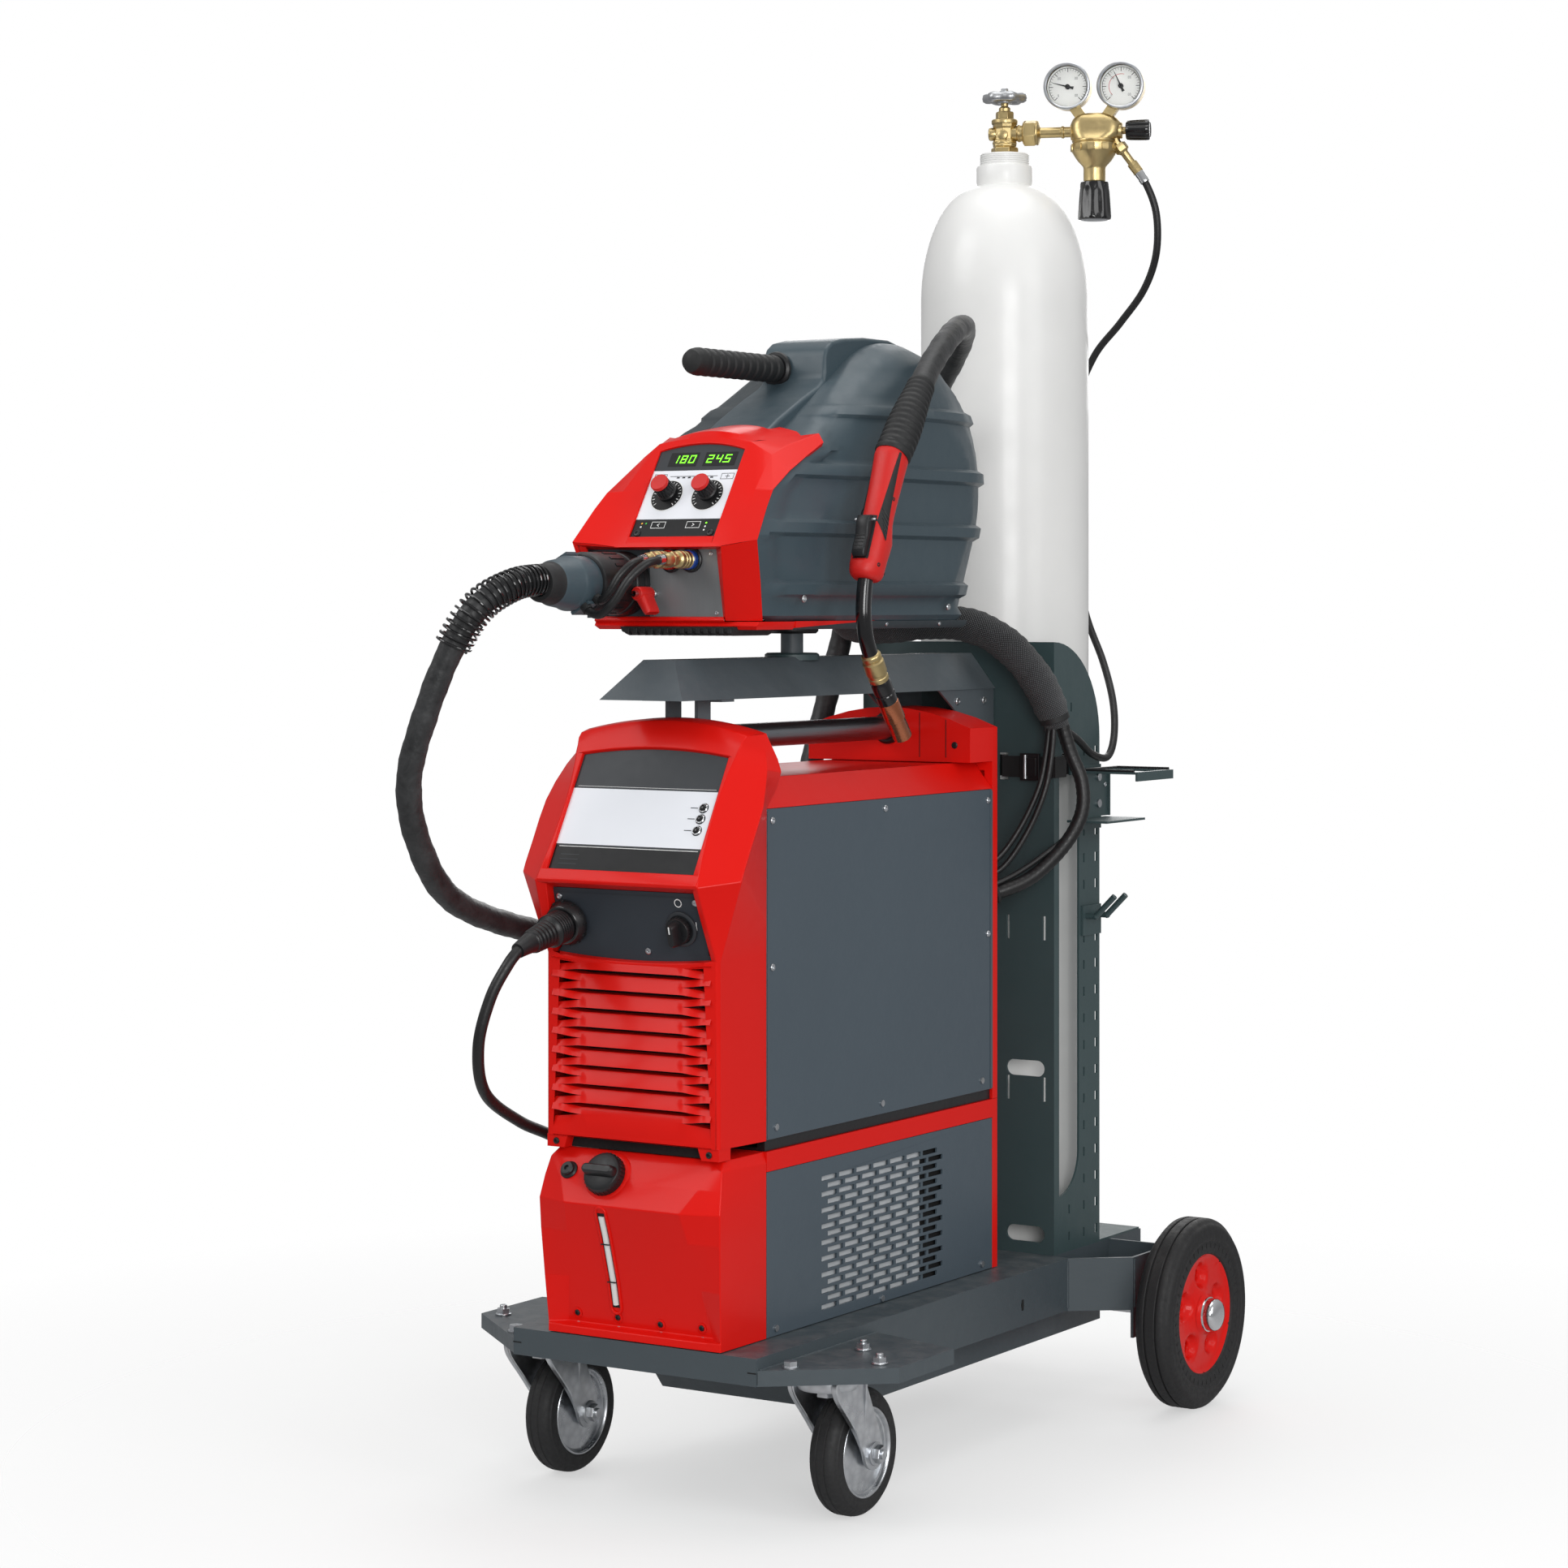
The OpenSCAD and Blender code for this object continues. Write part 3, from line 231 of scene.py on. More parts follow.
white_plastic = surface("white_plastic", srgb(226, 228, 226), 0.35, var=0.03, vs=12, coat=0.2)
blue_ring = surface("blue_ring", srgb(24, 66, 150), 0.35, var=0.06, vs=40, coat=0.2)
chrome = surface("chrome", srgb(224, 226, 228), 0.13, 1.0, 0.03, 20, 0.05, grain=0.04, gs=400)
copper = surface("copper", srgb(196, 122, 88), 0.24, 1.0, 0.10, 30, 0.08, grain=0.12, gs=300)
alloy = surface("alloy", srgb(190, 192, 194), 0.36, 1.0, 0.07, 16, 0.08, grain=0.30, gs=420, gd=0.0004, dust=0.05)
board = surface("board", srgb(34, 80, 58), 0.45, var=0.15, vs=60, grain=0.3, gs=300)
spool_plastic = surface("spool_plastic", srgb(30, 31, 34), 0.45, var=0.08, vs=14, grain=0.2)


def brushed(name, col, rough, direction, strength=0.3, var=0.10, metal=1.0):
    M = Mat(name)
    sc = {"X": (4, 220, 220), "Y": (220, 4, 220), "Z": (220, 220, 4)}[direction]
    line = M.noise(6, 5, 0.7, 0.0, M.coord(scale=sc))
    blotch = M.noise(9, 4, 0.6)
    c = M.mix(M.range(line, 0, 1, 0.3, 0.7), scaled(col, 1 - var), scaled(col, 1 + var))
    c = M.mix(M.range(blotch, 0, 0.35, 0.45, 0.75), c, scaled(col, 0.82))
    M.bump(line, strength, 0.0002)
    M.set(Metallic=metal)
    return M.done(c, M.range(line, rough - 0.06, rough + 0.10, 0.3, 0.7))


brushed_plate = brushed("brushed_plate", srgb(126, 130, 132), 0.42, "Z", 0.25, 0.06, 0.35)
tube_metal = brushed("tube_metal", srgb(150, 155, 160), 0.32, "Y", 0.2)
brass = surface("brass", srgb(205, 183, 132), 0.35, 1.0, 0.09, 26, 0.07, grain=0.14, gs=350, dust=0.03)


def zinc_plate():
    M = Mat("zinc")
    cell = M.voronoi(90)
    blotch = M.noise(14, 5, 0.6)
    c = M.mix(M.range(cell, 0, 1, 0.1, 0.75), srgb(214, 217, 220), srgb(192, 195, 199))
    c = M.mix(M.range(blotch, 0, 0.4, 0.52, 0.78), c, srgb(178, 176, 168))
    M.bump(M.noise(260, 4, 0.6), 0.12, 0.0003)
    M.set(Metallic=1.0)
    return M.done(c, M.range(blotch, 0.22, 0.42, 0.3, 0.7))


def cylinder_paint():
    M = Mat("cylinder_paint")
    big = M.noise(3.0, 5, 0.55)
    c = M.mix(M.range(big, 0, 1, 0.3, 0.7), srgb(231, 231, 229), srgb(243, 243, 241))
    scr = M.noise(18, 7, 0.75, 0.6, M.coord(scale=(1, 1, 0.35)))
    k = M.range(scr, 0, 0.35, 0.66, 0.80)
    c = M.mix(k, c, srgb(176, 174, 168))
    M.bump(M.noise(46, 3, 0.5), 0.10, 0.0010)
    M.bump(M.noise(520, 2, 0.5), 0.10, 0.0003)
    M.set(Coat_Weight=0.25, Coat_Roughness=0.18)
    return M.done(c, M.range(M.noise(30, 4), 0.30, 0.46, 0.3, 0.7))


def woven(name, ca, cb, across, along, depth, rough=0.75, sheen=0.15):
    """Twill on a tube or band: UV x runs round it, y along it, both in metres."""
    M = Mat(name)
    uv = M.coord("UV")
    a = M.wave(across, M.coord("UV", rot=(0, 0, pi / 4)), 0.3)
    b = M.wave(along, M.coord("UV", rot=(0, 0, -pi / 4)), 0.3)
    w = M.math("MULTIPLY", a, b)
    fuzz = M.noise(900, 3, 0.6)
    c = M.mix(M.range(w, 0, 1, 0.05, 0.75), ca, cb)
    c = M.mix(M.range(M.noise(10, 4), 0, 0.4, 0.4, 0.75), c, scaled(cb, 1.4))
    M.bump(w, 0.8, depth)
    M.bump(fuzz, 0.25, 0.0003)
    M.set(Sheen_Weight=sheen, Specular_IOR_Level=0.3)
    return M.done(c, M.range(fuzz, rough - 0.08, rough + 0.08, 0.3, 0.7))


def leather_hose():
    M = Mat("hose_cover")
    cell = M.voronoi(210, M.coord(scale=(1, 1, 0.75)))
    crease = M.noise(34, 6, 0.65, 0.6)
    # colour follows the crease bump, darker in its hollows: painted shade in the creases
    c = M.mix(M.range(crease, 0, 1, 0.35, 0.7), srgb(36, 37, 38), srgb(60, 61, 62))
    M.bump(cell, 0.35, 0.0008)
    M.bump(crease, 0.5, 0.0018)
    M.set(Specular_IOR_Level=0.45)
    return M.done(c, M.range(crease, 0.36, 0.56, 0.3, 0.7))


def glow(name, col, strength):
    M = Mat(name)
    k = M.noise(300, 2)
    c = M.mix(k, scaled(col, 0.9), scaled(col, 1.0))
    M.link(c, M.b.inputs["Emission Color"])
    M.set(Emission_Strength=strength)
    return M.done(c)


def glass(name, tint):
    M = Mat(name)
    k = M.noise(60, 3)
    M.set(Transmission_Weight=1.0, IOR=1.45)
    return M.done(M.mix(k, tint, scaled(tint, 0.97)), M.range(k, 0.02, 0.06))


zinc = zinc_plate()
gas_white = cylinder_paint()
sleeve_cloth = woven("sleeve_cloth", srgb(24, 25, 26), srgb(90, 92, 94), 125, 125, 0.0016)
webbing = woven("webbing", srgb(17, 17, 18), srgb(44, 44, 46), 190, 190, 0.0006, 0.7)
hose_cover = leather_hose()
lit_green = glow("lit_green", srgb(120, 245, 40), 1.6)
lamp_green = glow("lamp_green", srgb(70, 190, 70), 0.25)
lamp_amber = glow("lamp_amber", srgb(235, 170, 40), 0.25)
clear_glass = glass("clear_glass", (0.97, 0.98, 0.98, 1.0))


# ------------------------------------------------------------------ geometry, in millimetres
def at(p, d=(0, 0, 1), up=(0, 0, 1)):
    """Frame at p with its z along d."""
    z = Vector(d).normalized()
    u = Vector(up)
    if abs(z.dot(u.normalized())) > 0.99:
        u = Vector((0, 1, 0)) if abs(z.y) < 0.9 else Vector((1, 0, 0))
    x = u.cross(z).normalized()
    y = z.cross(x)
    m = Matrix((x, y, z)).transposed().to_4x4()
    m.translation = Vector(p)
    return m


def spline(pts, step=5.0):
    """Points every step along a smooth line through pts."""
    P = [np.array(p, float) for p in pts]
    raw = []
    for i in range(len(P) - 1):
        a, b, c, d = P[max(i - 1, 0)], P[i], P[i + 1], P[min(i + 2, len(P) - 1)]
        for k in range(24):
            t = k / 24
            raw.append(0.5 * (2 * b + (c - a) * t + (2 * a - 5 * b + 4 * c - d) * t * t + (3 * b - a - 3 * c + d) * t ** 3))
    raw.append(P[-1])
    return resample(raw, step)


def resample(raw, step):
    raw = np.array(raw)
    L = np.concatenate([[0], np.cumsum(np.linalg.norm(np.diff(raw, axis=0), axis=1))])
    n = max(2, int(round(L[-1] / step)) + 1)
    q = np.linspace(0, L[-1], n)
    return [Vector([float(np.interp(t, L, raw[:, k])) for k in range(3)]) for t in q]


def length_of(pts):
    return sum((pts[i + 1] - pts[i]).length for i in range(len(pts) - 1))


def frames(pts):
    """A turning-free frame (side, other side) at each point."""
    pts = [Vector(p) for p in pts]
    T = []
    for i in range(len(pts)):
        T.append((pts[min(i + 1, len(pts) - 1)] - pts[max(i - 1, 0)]).normalized())
    u = T[0].orthogonal().normalized()
    out = []
    for i, t in enumerate(T):
        u = (u - t * u.dot(t)).normalized()
        out.append((u.copy(), t.cross(u)))
    return out


class G:
    """Collects faces for one object."""

    def __init__(s):
        s.v, s.f, s.m, s.uv, s.mats = [], [], [], [], []

    def mat(s, m):
        if m not in s.mats:
            s.mats.append(m)
        return s.mats.index(m)

    def add(s, verts, faces, mat, M=None, uvs=None):
        o = len(s.v)
        if M is not None:
            verts = [M @ Vector(v) for v in verts]
        s.v += [tuple(v) for v in verts]
        one = None if isinstance(mat, list) else s.mat(mat)
        for i, f in enumerate(faces):
            s.f.append([o + k for k in f])
            s.m.append(one if one is not None else s.mat(mat[i]))
            s.uv.append(uvs[i] if uvs else [(0.0, 0.0)] * len(f))
        return s

    def lathe(s, prof, mat, M=None, n=48, arc=None, closed=False):
        """prof: (r, z) or (r, z, material of the band that follows)."""
        verts, faces, mats = [], [], []
        full = arc is None
        a0, a1 = (0, 2 * pi) if full else arc
        cols = n if full else n + 1
        idx = []
        for p in prof:
            if p[0] < 1e-6:
                idx.append([len(verts)] * cols)
                verts.append((0, 0, p[1]))
            else:
                idx.append(list(range(len(verts), len(verts) + cols)))
                for k in range(cols):
                    a = a0 + (a1 - a0) * k / n
                    verts.append((p[0] * math.cos(a), p[0] * math.sin(a), p[1]))
        cur = mat
        rows = len(prof) if closed else len(prof) - 1
        for i in range(rows):
            if len(prof[i]) > 2:
                cur = prof[i][2]
            j = (i + 1) % len(prof)
            for k in range(n):
                q = (k + 1) % cols
                f = [idx[i][k], idx[i][q], idx[j][q], idx[j][k]]
                f = [x for t, x in enumerate(f) if x not in f[:t]]
                if len(f) > 2:
                    faces.append(f)
                    mats.append(cur)
        return s.add(verts, faces, mats, M)

    def tube(s, pts, r, mat, n=16, caps=True):
        """r: number or function of the index. UV x round, y along, in metres."""
        pts = [Vector(p) for p in pts]
        fr = frames(pts)
        verts, faces, uvs = [], [], []
        run = 0.0
        runs = []
        for i, p in enumerate(pts):
            if i:
                run += (pts[i] - pts[i - 1]).length
            runs.append(run)
            rr = r(i) if callable(r) else r
            u, w = fr[i]
            for k in range(n):
                a = 2 * pi * k / n
                verts.append(p + (u * math.cos(a) + w * math.sin(a)) * rr)
        r0 = r(0) if callable(r) else r
        for i in range(len(pts) - 1):
            for k in range(n):
                q = (k + 1) % n
                faces.append([i * n + k, i * n + q, (i + 1) * n + q, (i + 1) * n + k])
                x0, x1 = 2 * pi * r0 * k / n * 0.001, 2 * pi * r0 * (k + 1) / n * 0.001
                uvs.append([(x0, runs[i] * 0.001), (x1, runs[i] * 0.001), (x1, runs[i + 1] * 0.001), (x0, runs[i + 1] * 0.001)])
        if caps:
            faces += [list(range(n))[::-1], [(len(pts) - 1) * n + k for k in range(n)]]
            uvs += [[(0, 0)] * n] * 2
        return s.add(verts, faces, mat, None, uvs)

    def box(s, x, y, z, mat, M=None):
        v = [(a, b, c) for a in x for b in y for c in z]
        return s.add(v, [[0, 1, 3, 2], [4, 6, 7, 5], [0, 4, 5, 1], [2, 3, 7, 6], [0, 2, 6, 4], [1, 5, 7, 3]], mat, M)

    def prism(s, poly, a, b, mat, M=None, caps=(True, True)):
        """Outline in local x, y from z = a to b."""
        n = len(poly)
        v = [(p[0], p[1], a) for p in poly] + [(p[0], p[1], b) for p in poly]
        f = [[i, (i + 1) % n, n + (i + 1) % n, n + i] for i in range(n)]
        if caps[0]:
            f.append(list(range(n))[::-1])
        if caps[1]:
            f.append([n + i for i in range(n)])
        return s.add(v, f, mat, M)

    def loft(s, rings, mat, caps=True, M=None):
        n = len(rings[0])
        v = [p for r in rings for p in r]
        f = []
        for i in range(len(rings) - 1):
            for k in range(n):
                q = (k + 1) % n
                f.append([i * n + k, i * n + q, (i + 1) * n + q, (i + 1) * n + k])
        if caps:
            f += [list(range(n))[::-1], [(len(rings) - 1) * n + k for k in range(n)]]
        return s.add(v, f, mat, M)

    def grid(s, rows, mat, M=None):
        """mat: one material or function (row, column)."""
        n = len(rows[0])
        v = [p for r in rows for p in r]
        f, m = [], []
        for i in range(len(rows) - 1):
            for k in range(n - 1):
                f.append([i * n + k, i * n + k + 1, (i + 1) * n + k + 1, (i + 1) * n + k])
                m.append(mat(i, k) if callable(mat) else mat)
        return s.add(v, f, m, M)

    def ball(s, p, r, mat, n=16):
        return s.lathe([(r * math.sin(pi * k / 10), -r * math.cos(pi * k / 10)) for k in range(11)], mat, Matrix.Translation(Vector(p)), n)

    def screw(s, p, d, r, mat=None, h=2.2, slot="hex"):
        """Dome head with a recess."""
        mat = mat or zinc
        M = at(p, d)
        s.lathe([(r, 0), (r, h * 0.45), (r * 0.86, h * 0.85), (r * 0.55, h), (r * 0.5, h), (r * 0.46, h * 0.25), (0, h * 0.2)], mat, M, 20)
        return s

    def hexa(s, p, d, across, h, mat=None, turn=0.3):
        mat = mat or zinc
        M = at(p, d)
        r = across / math.sqrt(3)
        ring = lambda k, z: [(r * k * math.cos(turn + pi / 3 * i), r * k * math.sin(turn + pi / 3 * i), z) for i in range(6)]
        s.loft([ring(1, 0), ring(1, h * 0.82), ring(0.9, h)], mat, True, M)
        return s

    def obj(s, name, body, *nodes, slot=None, bevel=0.0, seg=2, angle=32, smooth=True, weld=0.0, ride=True):
        me = bpy.data.meshes.new(name)
        me.from_pydata([(v[0] * 0.001, v[1] * 0.001, v[2] * 0.001) for v in s.v], [], s.f)
        for m in s.mats:
            me.materials.append(m)
        me.polygons.foreach_set("material_index", s.m)
        layer = me.uv_layers.new(name="UVMap")
        flat = [c for f in s.uv for uv in f for c in uv]
        layer.data.foreach_set("uv", flat)
        bm = bmesh.new()
        bm.from_mesh(me)
        if weld:
            bmesh.ops.remove_doubles(bm, verts=bm.verts, dist=weld * 0.001)
        bmesh.ops.recalc_face_normals(bm, faces=bm.faces)
        bm.to_mesh(me)
        bm.free()
        me.validate()
        o = bpy.data.objects.new(name, me)
        scene.collection.objects.link(o)
        if smooth:
            me.shade_smooth()
            me.set_sharp_from_angle(angle=math.radians(angle))
        if bevel:
            b = o.modifiers.new("edges", "BEVEL")
            b.width = bevel * 0.001
            b.segments = seg
            b.limit_method = "ANGLE"
            b.angle_limit = math.radians(angle)
            b.harden_normals = True
        if ride:
            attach(o, body)
        if nodes:
            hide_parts(*nodes)
        return o


def round_rect(w, h, r, n=5, cx=0.0, cy=0.0):
    out = []
    for sx, sy, a0 in ((1, 1, 0), (-1, 1, 90), (-1, -1, 180), (1, -1, 270)):
        for k in range(n + 1):
            a = math.radians(a0 + 90 * k / n)
            out.append((cx + sx * (w / 2 - r) + r * math.cos(a), cy + sy * (h / 2 - r) + r * math.sin(a)))
    return out


def lerp(a, b, t):
    return a + (b - a) * t


def clamp01(t):
    return max(0.0, min(1.0, t))


def smooth01(t):
    t = clamp01(t)
    return t * t * (3 - 2 * t)


def cad(name, mat, bevel=0.6, angle=30):
    """A CAD node kept as it is, with its edges softened and its finish set."""
    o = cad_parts[name]
    o.data.materials.clear()
    o.data.materials.append(mat)
    w = o.modifiers.new("weld", "WELD")
    w.merge_threshold = 0.00002
    if bevel:
        b = o.modifiers.new("edges", "BEVEL")
        b.width = bevel * 0.001
        b.segments = 2
        b.limit_method = "ANGLE"
        b.angle_limit = math.radians(angle)
        b.harden_normals = False
    wn = o.modifiers.new("normals", "WEIGHTED_NORMAL")
    wn.keep_sharp = False
    return o


def hood(s, t=0.0):
    return (-524 + 0.488 * s - 0.873 * t, 748 + 0.873 * s + 0.488 * t)


def face(s, t=0.0):
    return (-412 + 0.5405 * s - 0.8417 * t, 1146 + 0.8417 * s + 0.5405 * t)


# ------------------------------------------------------------------ camera, floor, light
cam = bpy.data.cameras.new("camera")
cam.sensor_width = 36
cam.lens = 83.92
cam.shift_y = -0.11706
cam.clip_end = 100
cam_o = bpy.data.objects.new("camera", cam)
cam_o.location = (2.43156, -3.9869, 1.070)
cam_o.rotation_euler = (pi / 2, 0, math.radians(32.448))
scene.collection.objects.link(cam_o)
scene.camera = cam_o
scene.view_settings.view_transform = "Standard"
scene.view_settings.look = "None"

M = Mat("floor")
d = M.n("ShaderNodeVectorMath")
d.operation = "LENGTH"
M.link(M.coord(), d.inputs[0])
fade = M.range(d.outputs["Value"], 0.46, 0.0, 0.6, 1.7)
M.set(Specular_IOR_Level=0.25)
M.link(fade, M.b.inputs["Alpha"])
floor_mat = M.done(M.mix(M.noise(3, 4), (0.90, 0.90, 0.90, 1), (0.92, 0.92, 0.92, 1)), M.range(M.noise(20, 3), 0.5, 0.6))
bpy.ops.mesh.primitive_circle_add(vertices=96, radius=2.0, fill_type="NGON", location=(0, 0, 0))
floor = bpy.context.object
floor.name = "studio_floor"
floor.data.materials.append(floor_mat)

world = bpy.data.worlds.new("studio")
scene.world = world
world.use_nodes = True
wt = world.node_tree
wt.nodes.clear()
w_out = wt.nodes.new("ShaderNodeOutputWorld")
w_mix = wt.nodes.new("ShaderNodeMixShader")
w_lp = wt.nodes.new("ShaderNodeLightPath")
w_soft = wt.nodes.new("ShaderNodeBackground")
w_seen = wt.nodes.new("ShaderNodeBackground")
w_seen.inputs["Color"].default_value = (1, 1, 1, 1)
w_seen.inputs["Strength"].default_value = 1.0
w_tc = wt.nodes.new("ShaderNodeTexCoord")
w_sep = wt.nodes.new("ShaderNodeSeparateXYZ")
w_ramp = wt.nodes.new("ShaderNodeValToRGB")
w_ramp.color_ramp.elements[0].position = 0.42
w_ramp.color_ramp.elements[0].color = (0.55, 0.55, 0.56, 1)
w_ramp.color_ramp.elements[1].position = 0.95
w_ramp.color_ramp.elements[1].color = (1.0, 1.0, 1.0, 1)
w_mr = wt.nodes.new("ShaderNodeMapRange")
w_mr.inputs["From Min"].default_value = -1.0
wt.links.new(w_tc.outputs["Generated"], w_sep.inputs[0])
wt.links.new(w_sep.outputs[2], w_mr.inputs["Value"])
wt.links.new(w_mr.outputs["Result"], w_ramp.inputs[0])
wt.links.new(w_ramp.outputs["Color"], w_soft.inputs["Color"])
w_soft.inputs["Strength"].default_value = 0.52
wt.links.new(w_lp.outputs["Is Camera Ray"], w_mix.inputs[0])
wt.links.new(w_soft.outputs[0], w_mix.inputs[1])
wt.links.new(w_seen.outputs[0], w_mix.inputs[2])
wt.links.new(w_mix.outputs[0], w_out.inputs["Surface"])

for name, loc, to, sx, sy, power in (
        ("key", (-1.9, -2.6, 3.1), (0, 0, 0.8), 1.9, 1.9, 37),
        ("side", (3.3, -0.9, 2.0), (0, 0, 0.8), 1.4, 2.4, 26),
        ("top", (0.1, 0.2, 3.9), (0, 0, 0.8), 2.4, 2.4, 31),
        ("front", (2.75, -3.3, 1.5), (0, 0, 0.8), 1.5, 1.7, 66),
        ("back", (-1.0, 3.0, 2.4), (0, 0, 0.9), 2.0, 2.0, 34)):
    li = bpy.data.lights.new(name, "AREA")
    li.shape = "RECTANGLE"
    li.size, li.size_y, li.energy = sx, sy, power
    lo = bpy.data.objects.new(name, li)
    lo.location = loc
    lo.rotation_euler = (Vector(to) - Vector(loc)).to_track_quat("-Z", "Y").to_euler()
    scene.collection.objects.link(lo)

# ------------------------------------------------------------------ cords
torch_route = [[-75, -572, 1094], [-84, -610, 1088], [-104, -648, 1064], [-130, -662, 1020],
    [-160, -670, 950], [-190, -668, 864], [-205, -630, 786], [-214, -554, 716], [-206, -420, 672],
    [-190, -280, 650], [-178, -120, 640], [-178, 30, 668], [-186, 140, 740], [-190, 205, 850],
    [-172, 236, 980], [-135, 240, 1110], [-80, 232, 1230], [-10, 214, 1330], [60, 168, 1398],
    [112, 90, 1420], [146, 0, 1404], [166, -84, 1362], [180, -150, 1312], [185, -196, 1262], [185, -212, 1243]]
return_route = [[-91, -590, 666], [-95, -606, 650], [-108, -622, 612], [-122, -626, 556],
    [-138, -592, 498], [-155, -504, 454], [-164, -420, 424], [-166, -300, 372], [-160, -160, 290],
    [-152, -40, 226], [-150, 60, 215], [-150, 150, 215], [-158, 230, 232], [-170, 280, 300],
    [-176, 300, 390], [-174, 303, 470], [-170, 303.5, 540]]
sleeve_route = [[-86, 128, 1062], [-110, 158, 1046], [-106, 196, 1034], [-64, 216, 1036],
    [-6, 222, 1042], [54, 222, 1036], [104, 226, 1010], [142, 234, 966], [158, 244, 926], [162, 250, 904]]
leads = {
    "lead_a": (8, [[156, 242, 914], [156, 231, 870], [152, 219, 826], [134, 204, 776], [112, 184, 736], [92, 161, 722]]),
    "lead_b": (8, [[163, 240, 914], [164, 231, 868], [160, 219, 820], [142, 206, 768], [116, 186, 722], [88, 161, 704]]),
    "lead_c": (18, [[164, 256, 914], [174, 264, 872], [188, 270, 832], [190, 266, 792], [176, 248, 752], [148, 216, 712], [118, 184, 692], [84, 161, 684]]),
    "lead_d": (7, [[158, 259, 914], [172, 280, 862], [180, 284, 812], [174, 262, 766], [156, 226, 738], [128, 194, 712], [100, 161, 694]]),
}
gas_route = [[166, 458, 1664], [186, 464, 1632], [196, 472, 1592], [190, 482, 1540], [164, 496, 1494],
    [120, 512, 1452], [72, 526, 1408], [40, 532, 1340], [30, 532, 1240], [36, 530, 1140], [64, 518, 1050],
    [104, 492, 986], [140, 452, 932], [160, 416, 886], [166, 384, 860], [166, 340, 866], [166, 300, 886], [163, 262, 903]]
water_a = [[-6, -458, 1118], [-9, -478, 1113], [-18, -492, 1098], [-28, -497, 1080], [-40, -498, 1070], [-50, -498, 1074]]
water_b = [[23, -462, 1118], [17, -486, 1113], [4, -504, 1094], [-12, -511, 1068], [-30, -512, 1054], [-46, -511, 1056], [-56, -510, 1066]]


def metres(pts):
    return [(p.x * 0.001, p.y * 0.001, p.z * 0.001) for p in pts]


def declare(pts, dia):
    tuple(metres(pts)[0])


# torch lead: a covered hose, bent between the cart and the feeder
p_torch = spline(torch_route, 6)
hose = G().tube(p_torch, lambda i: 15 + 0.35 * math.sin(i * 0.83) + 0.25 * math.sin(i * 2.1 + 1), hose_cover, 24)
hose = hose.obj("torch_lead", None, "torch_hose", slot="hose_rubber", ride=False)
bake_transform(hose)

# spring round its start
fr = frames(p_torch)
coil = []
turn = 0.0
n_sp = 25
for k in range(n_sp * 40 + 1):
    x = k / 40 * 0.98
    i = int(x)
    if i + 1 >= len(p_torch):
        break
    t = x - i
    p = p_torch[i].lerp(p_torch[i + 1], t)
    u, w = fr[i][0].lerp(fr[i + 1][0], t), fr[i][1].lerp(fr[i + 1][1], t)
    turn += 2 * pi / lerp(36, 52, smooth01(x / 18))
    coil.append(p + (u * math.cos(turn) + w * math.sin(turn)) * lerp(17.2, 20.4, smooth01(x / 20)))
spring = G().tube(coil, 1.6, black_gloss, 8).obj("hose_spring", None, slot="hose_rubber", ride=False)
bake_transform(spring)

# ribbed relief above the torch
g = G()
tail = p_torch[-22:]
def relief(i):
    k = i / (len(fine_tail) - 1)
    base = lerp(16.2, 21.5, smooth01(k * 1.4))
    return base + (1.4 if (i % 6) in (2, 3, 4) else 0.0)
fine_tail = resample([list(p) for p in tail], 1.5)
g.tube(fine_tail, relief, black_soft, 28)
bend_relief = g.obj("torch_relief", "feeder", slot="hose_rubber", angle=50)
declare(p_torch, 30)

# return cable: run, coil on the prongs, end at the clamp
p_ret = spline(return_route, 4)
run_end = p_ret[-1]
th0 = math.asin((run_end.z - 594.5) / 68.5)
loop = []
T1, T2 = 4 * pi, 4 * pi + 0.6 * pi
T3 = 6 * pi + 1.5 * pi - 0.28
t = 0.0
while t < T3:
    if t < T1:
        r, x = 68.5, -168 - 14.2 * t / (2 * pi)
    elif t < T2:
        k = smooth01((t - T1) / (T2 - T1))
        r, x = 68.5 + 14.9 * k, -196.4
    else:
        r, x = 83.4, lerp(-196.4, -182, smooth01((t - T2) / (T3 - T2)))
    loop.append(Vector((x, 372 - r * math.cos(t), 594.5 + r * math.sin(t))))
    t += 0.045
tail_pts = [Vector((-182, 377, 505.5)), Vector((-182, 367, 501.5))]
p_ret = resample([list(p) for p in p_ret] + [list(p) for p in loop] + [list(p) for p in tail_pts], 4)
ret = G().tube(p_ret, 7, hose_rubber, 16).obj("return_lead", "cart", "return_cable", "return_coil", slot="hose_rubber")
g = G()
boot = spline([[-182, 398, 509], [-182, 380, 506.5], [-182, 366, 500], [-182, 359.5, 489], [-182, 359, 470]], 1.5)
g.tube(boot, lambda i: 9.6 + (0.9 if i % 4 in (1, 2) else 0), black_soft, 20)
for a in (0.62 * pi, 1.02 * pi):
    ring = []
    c = Vector((-182, 372 - 76 * math.cos(a), 594.5 + 76 * math.sin(a)))
    e = Vector((0, -math.cos(a), math.sin(a)))
    tang = Vector((0, math.sin(a), math.cos(a)))
    def band(off, grow):
        q = []
        for px, py in round_rect(42 + grow, 32 + grow, 11, 6):
            q.append(c + Vector((1, 0, 0)) * px + e * py + tang * off)
        return q
    inner, outer = 0.0, 3.4
    g.loft([band(-8, inner), band(-8, outer), band(8, outer), band(8, inner)], webbing, False)
    g.box((-6, 6), (-2, 2), (-9, 9), black_plastic, at(c + Vector((-23.4, 0, 0)), tang, (1, 0, 0)))
ties = g.obj("cable_ties", "cart", slot="webbing")
declare(p_ret, 14)

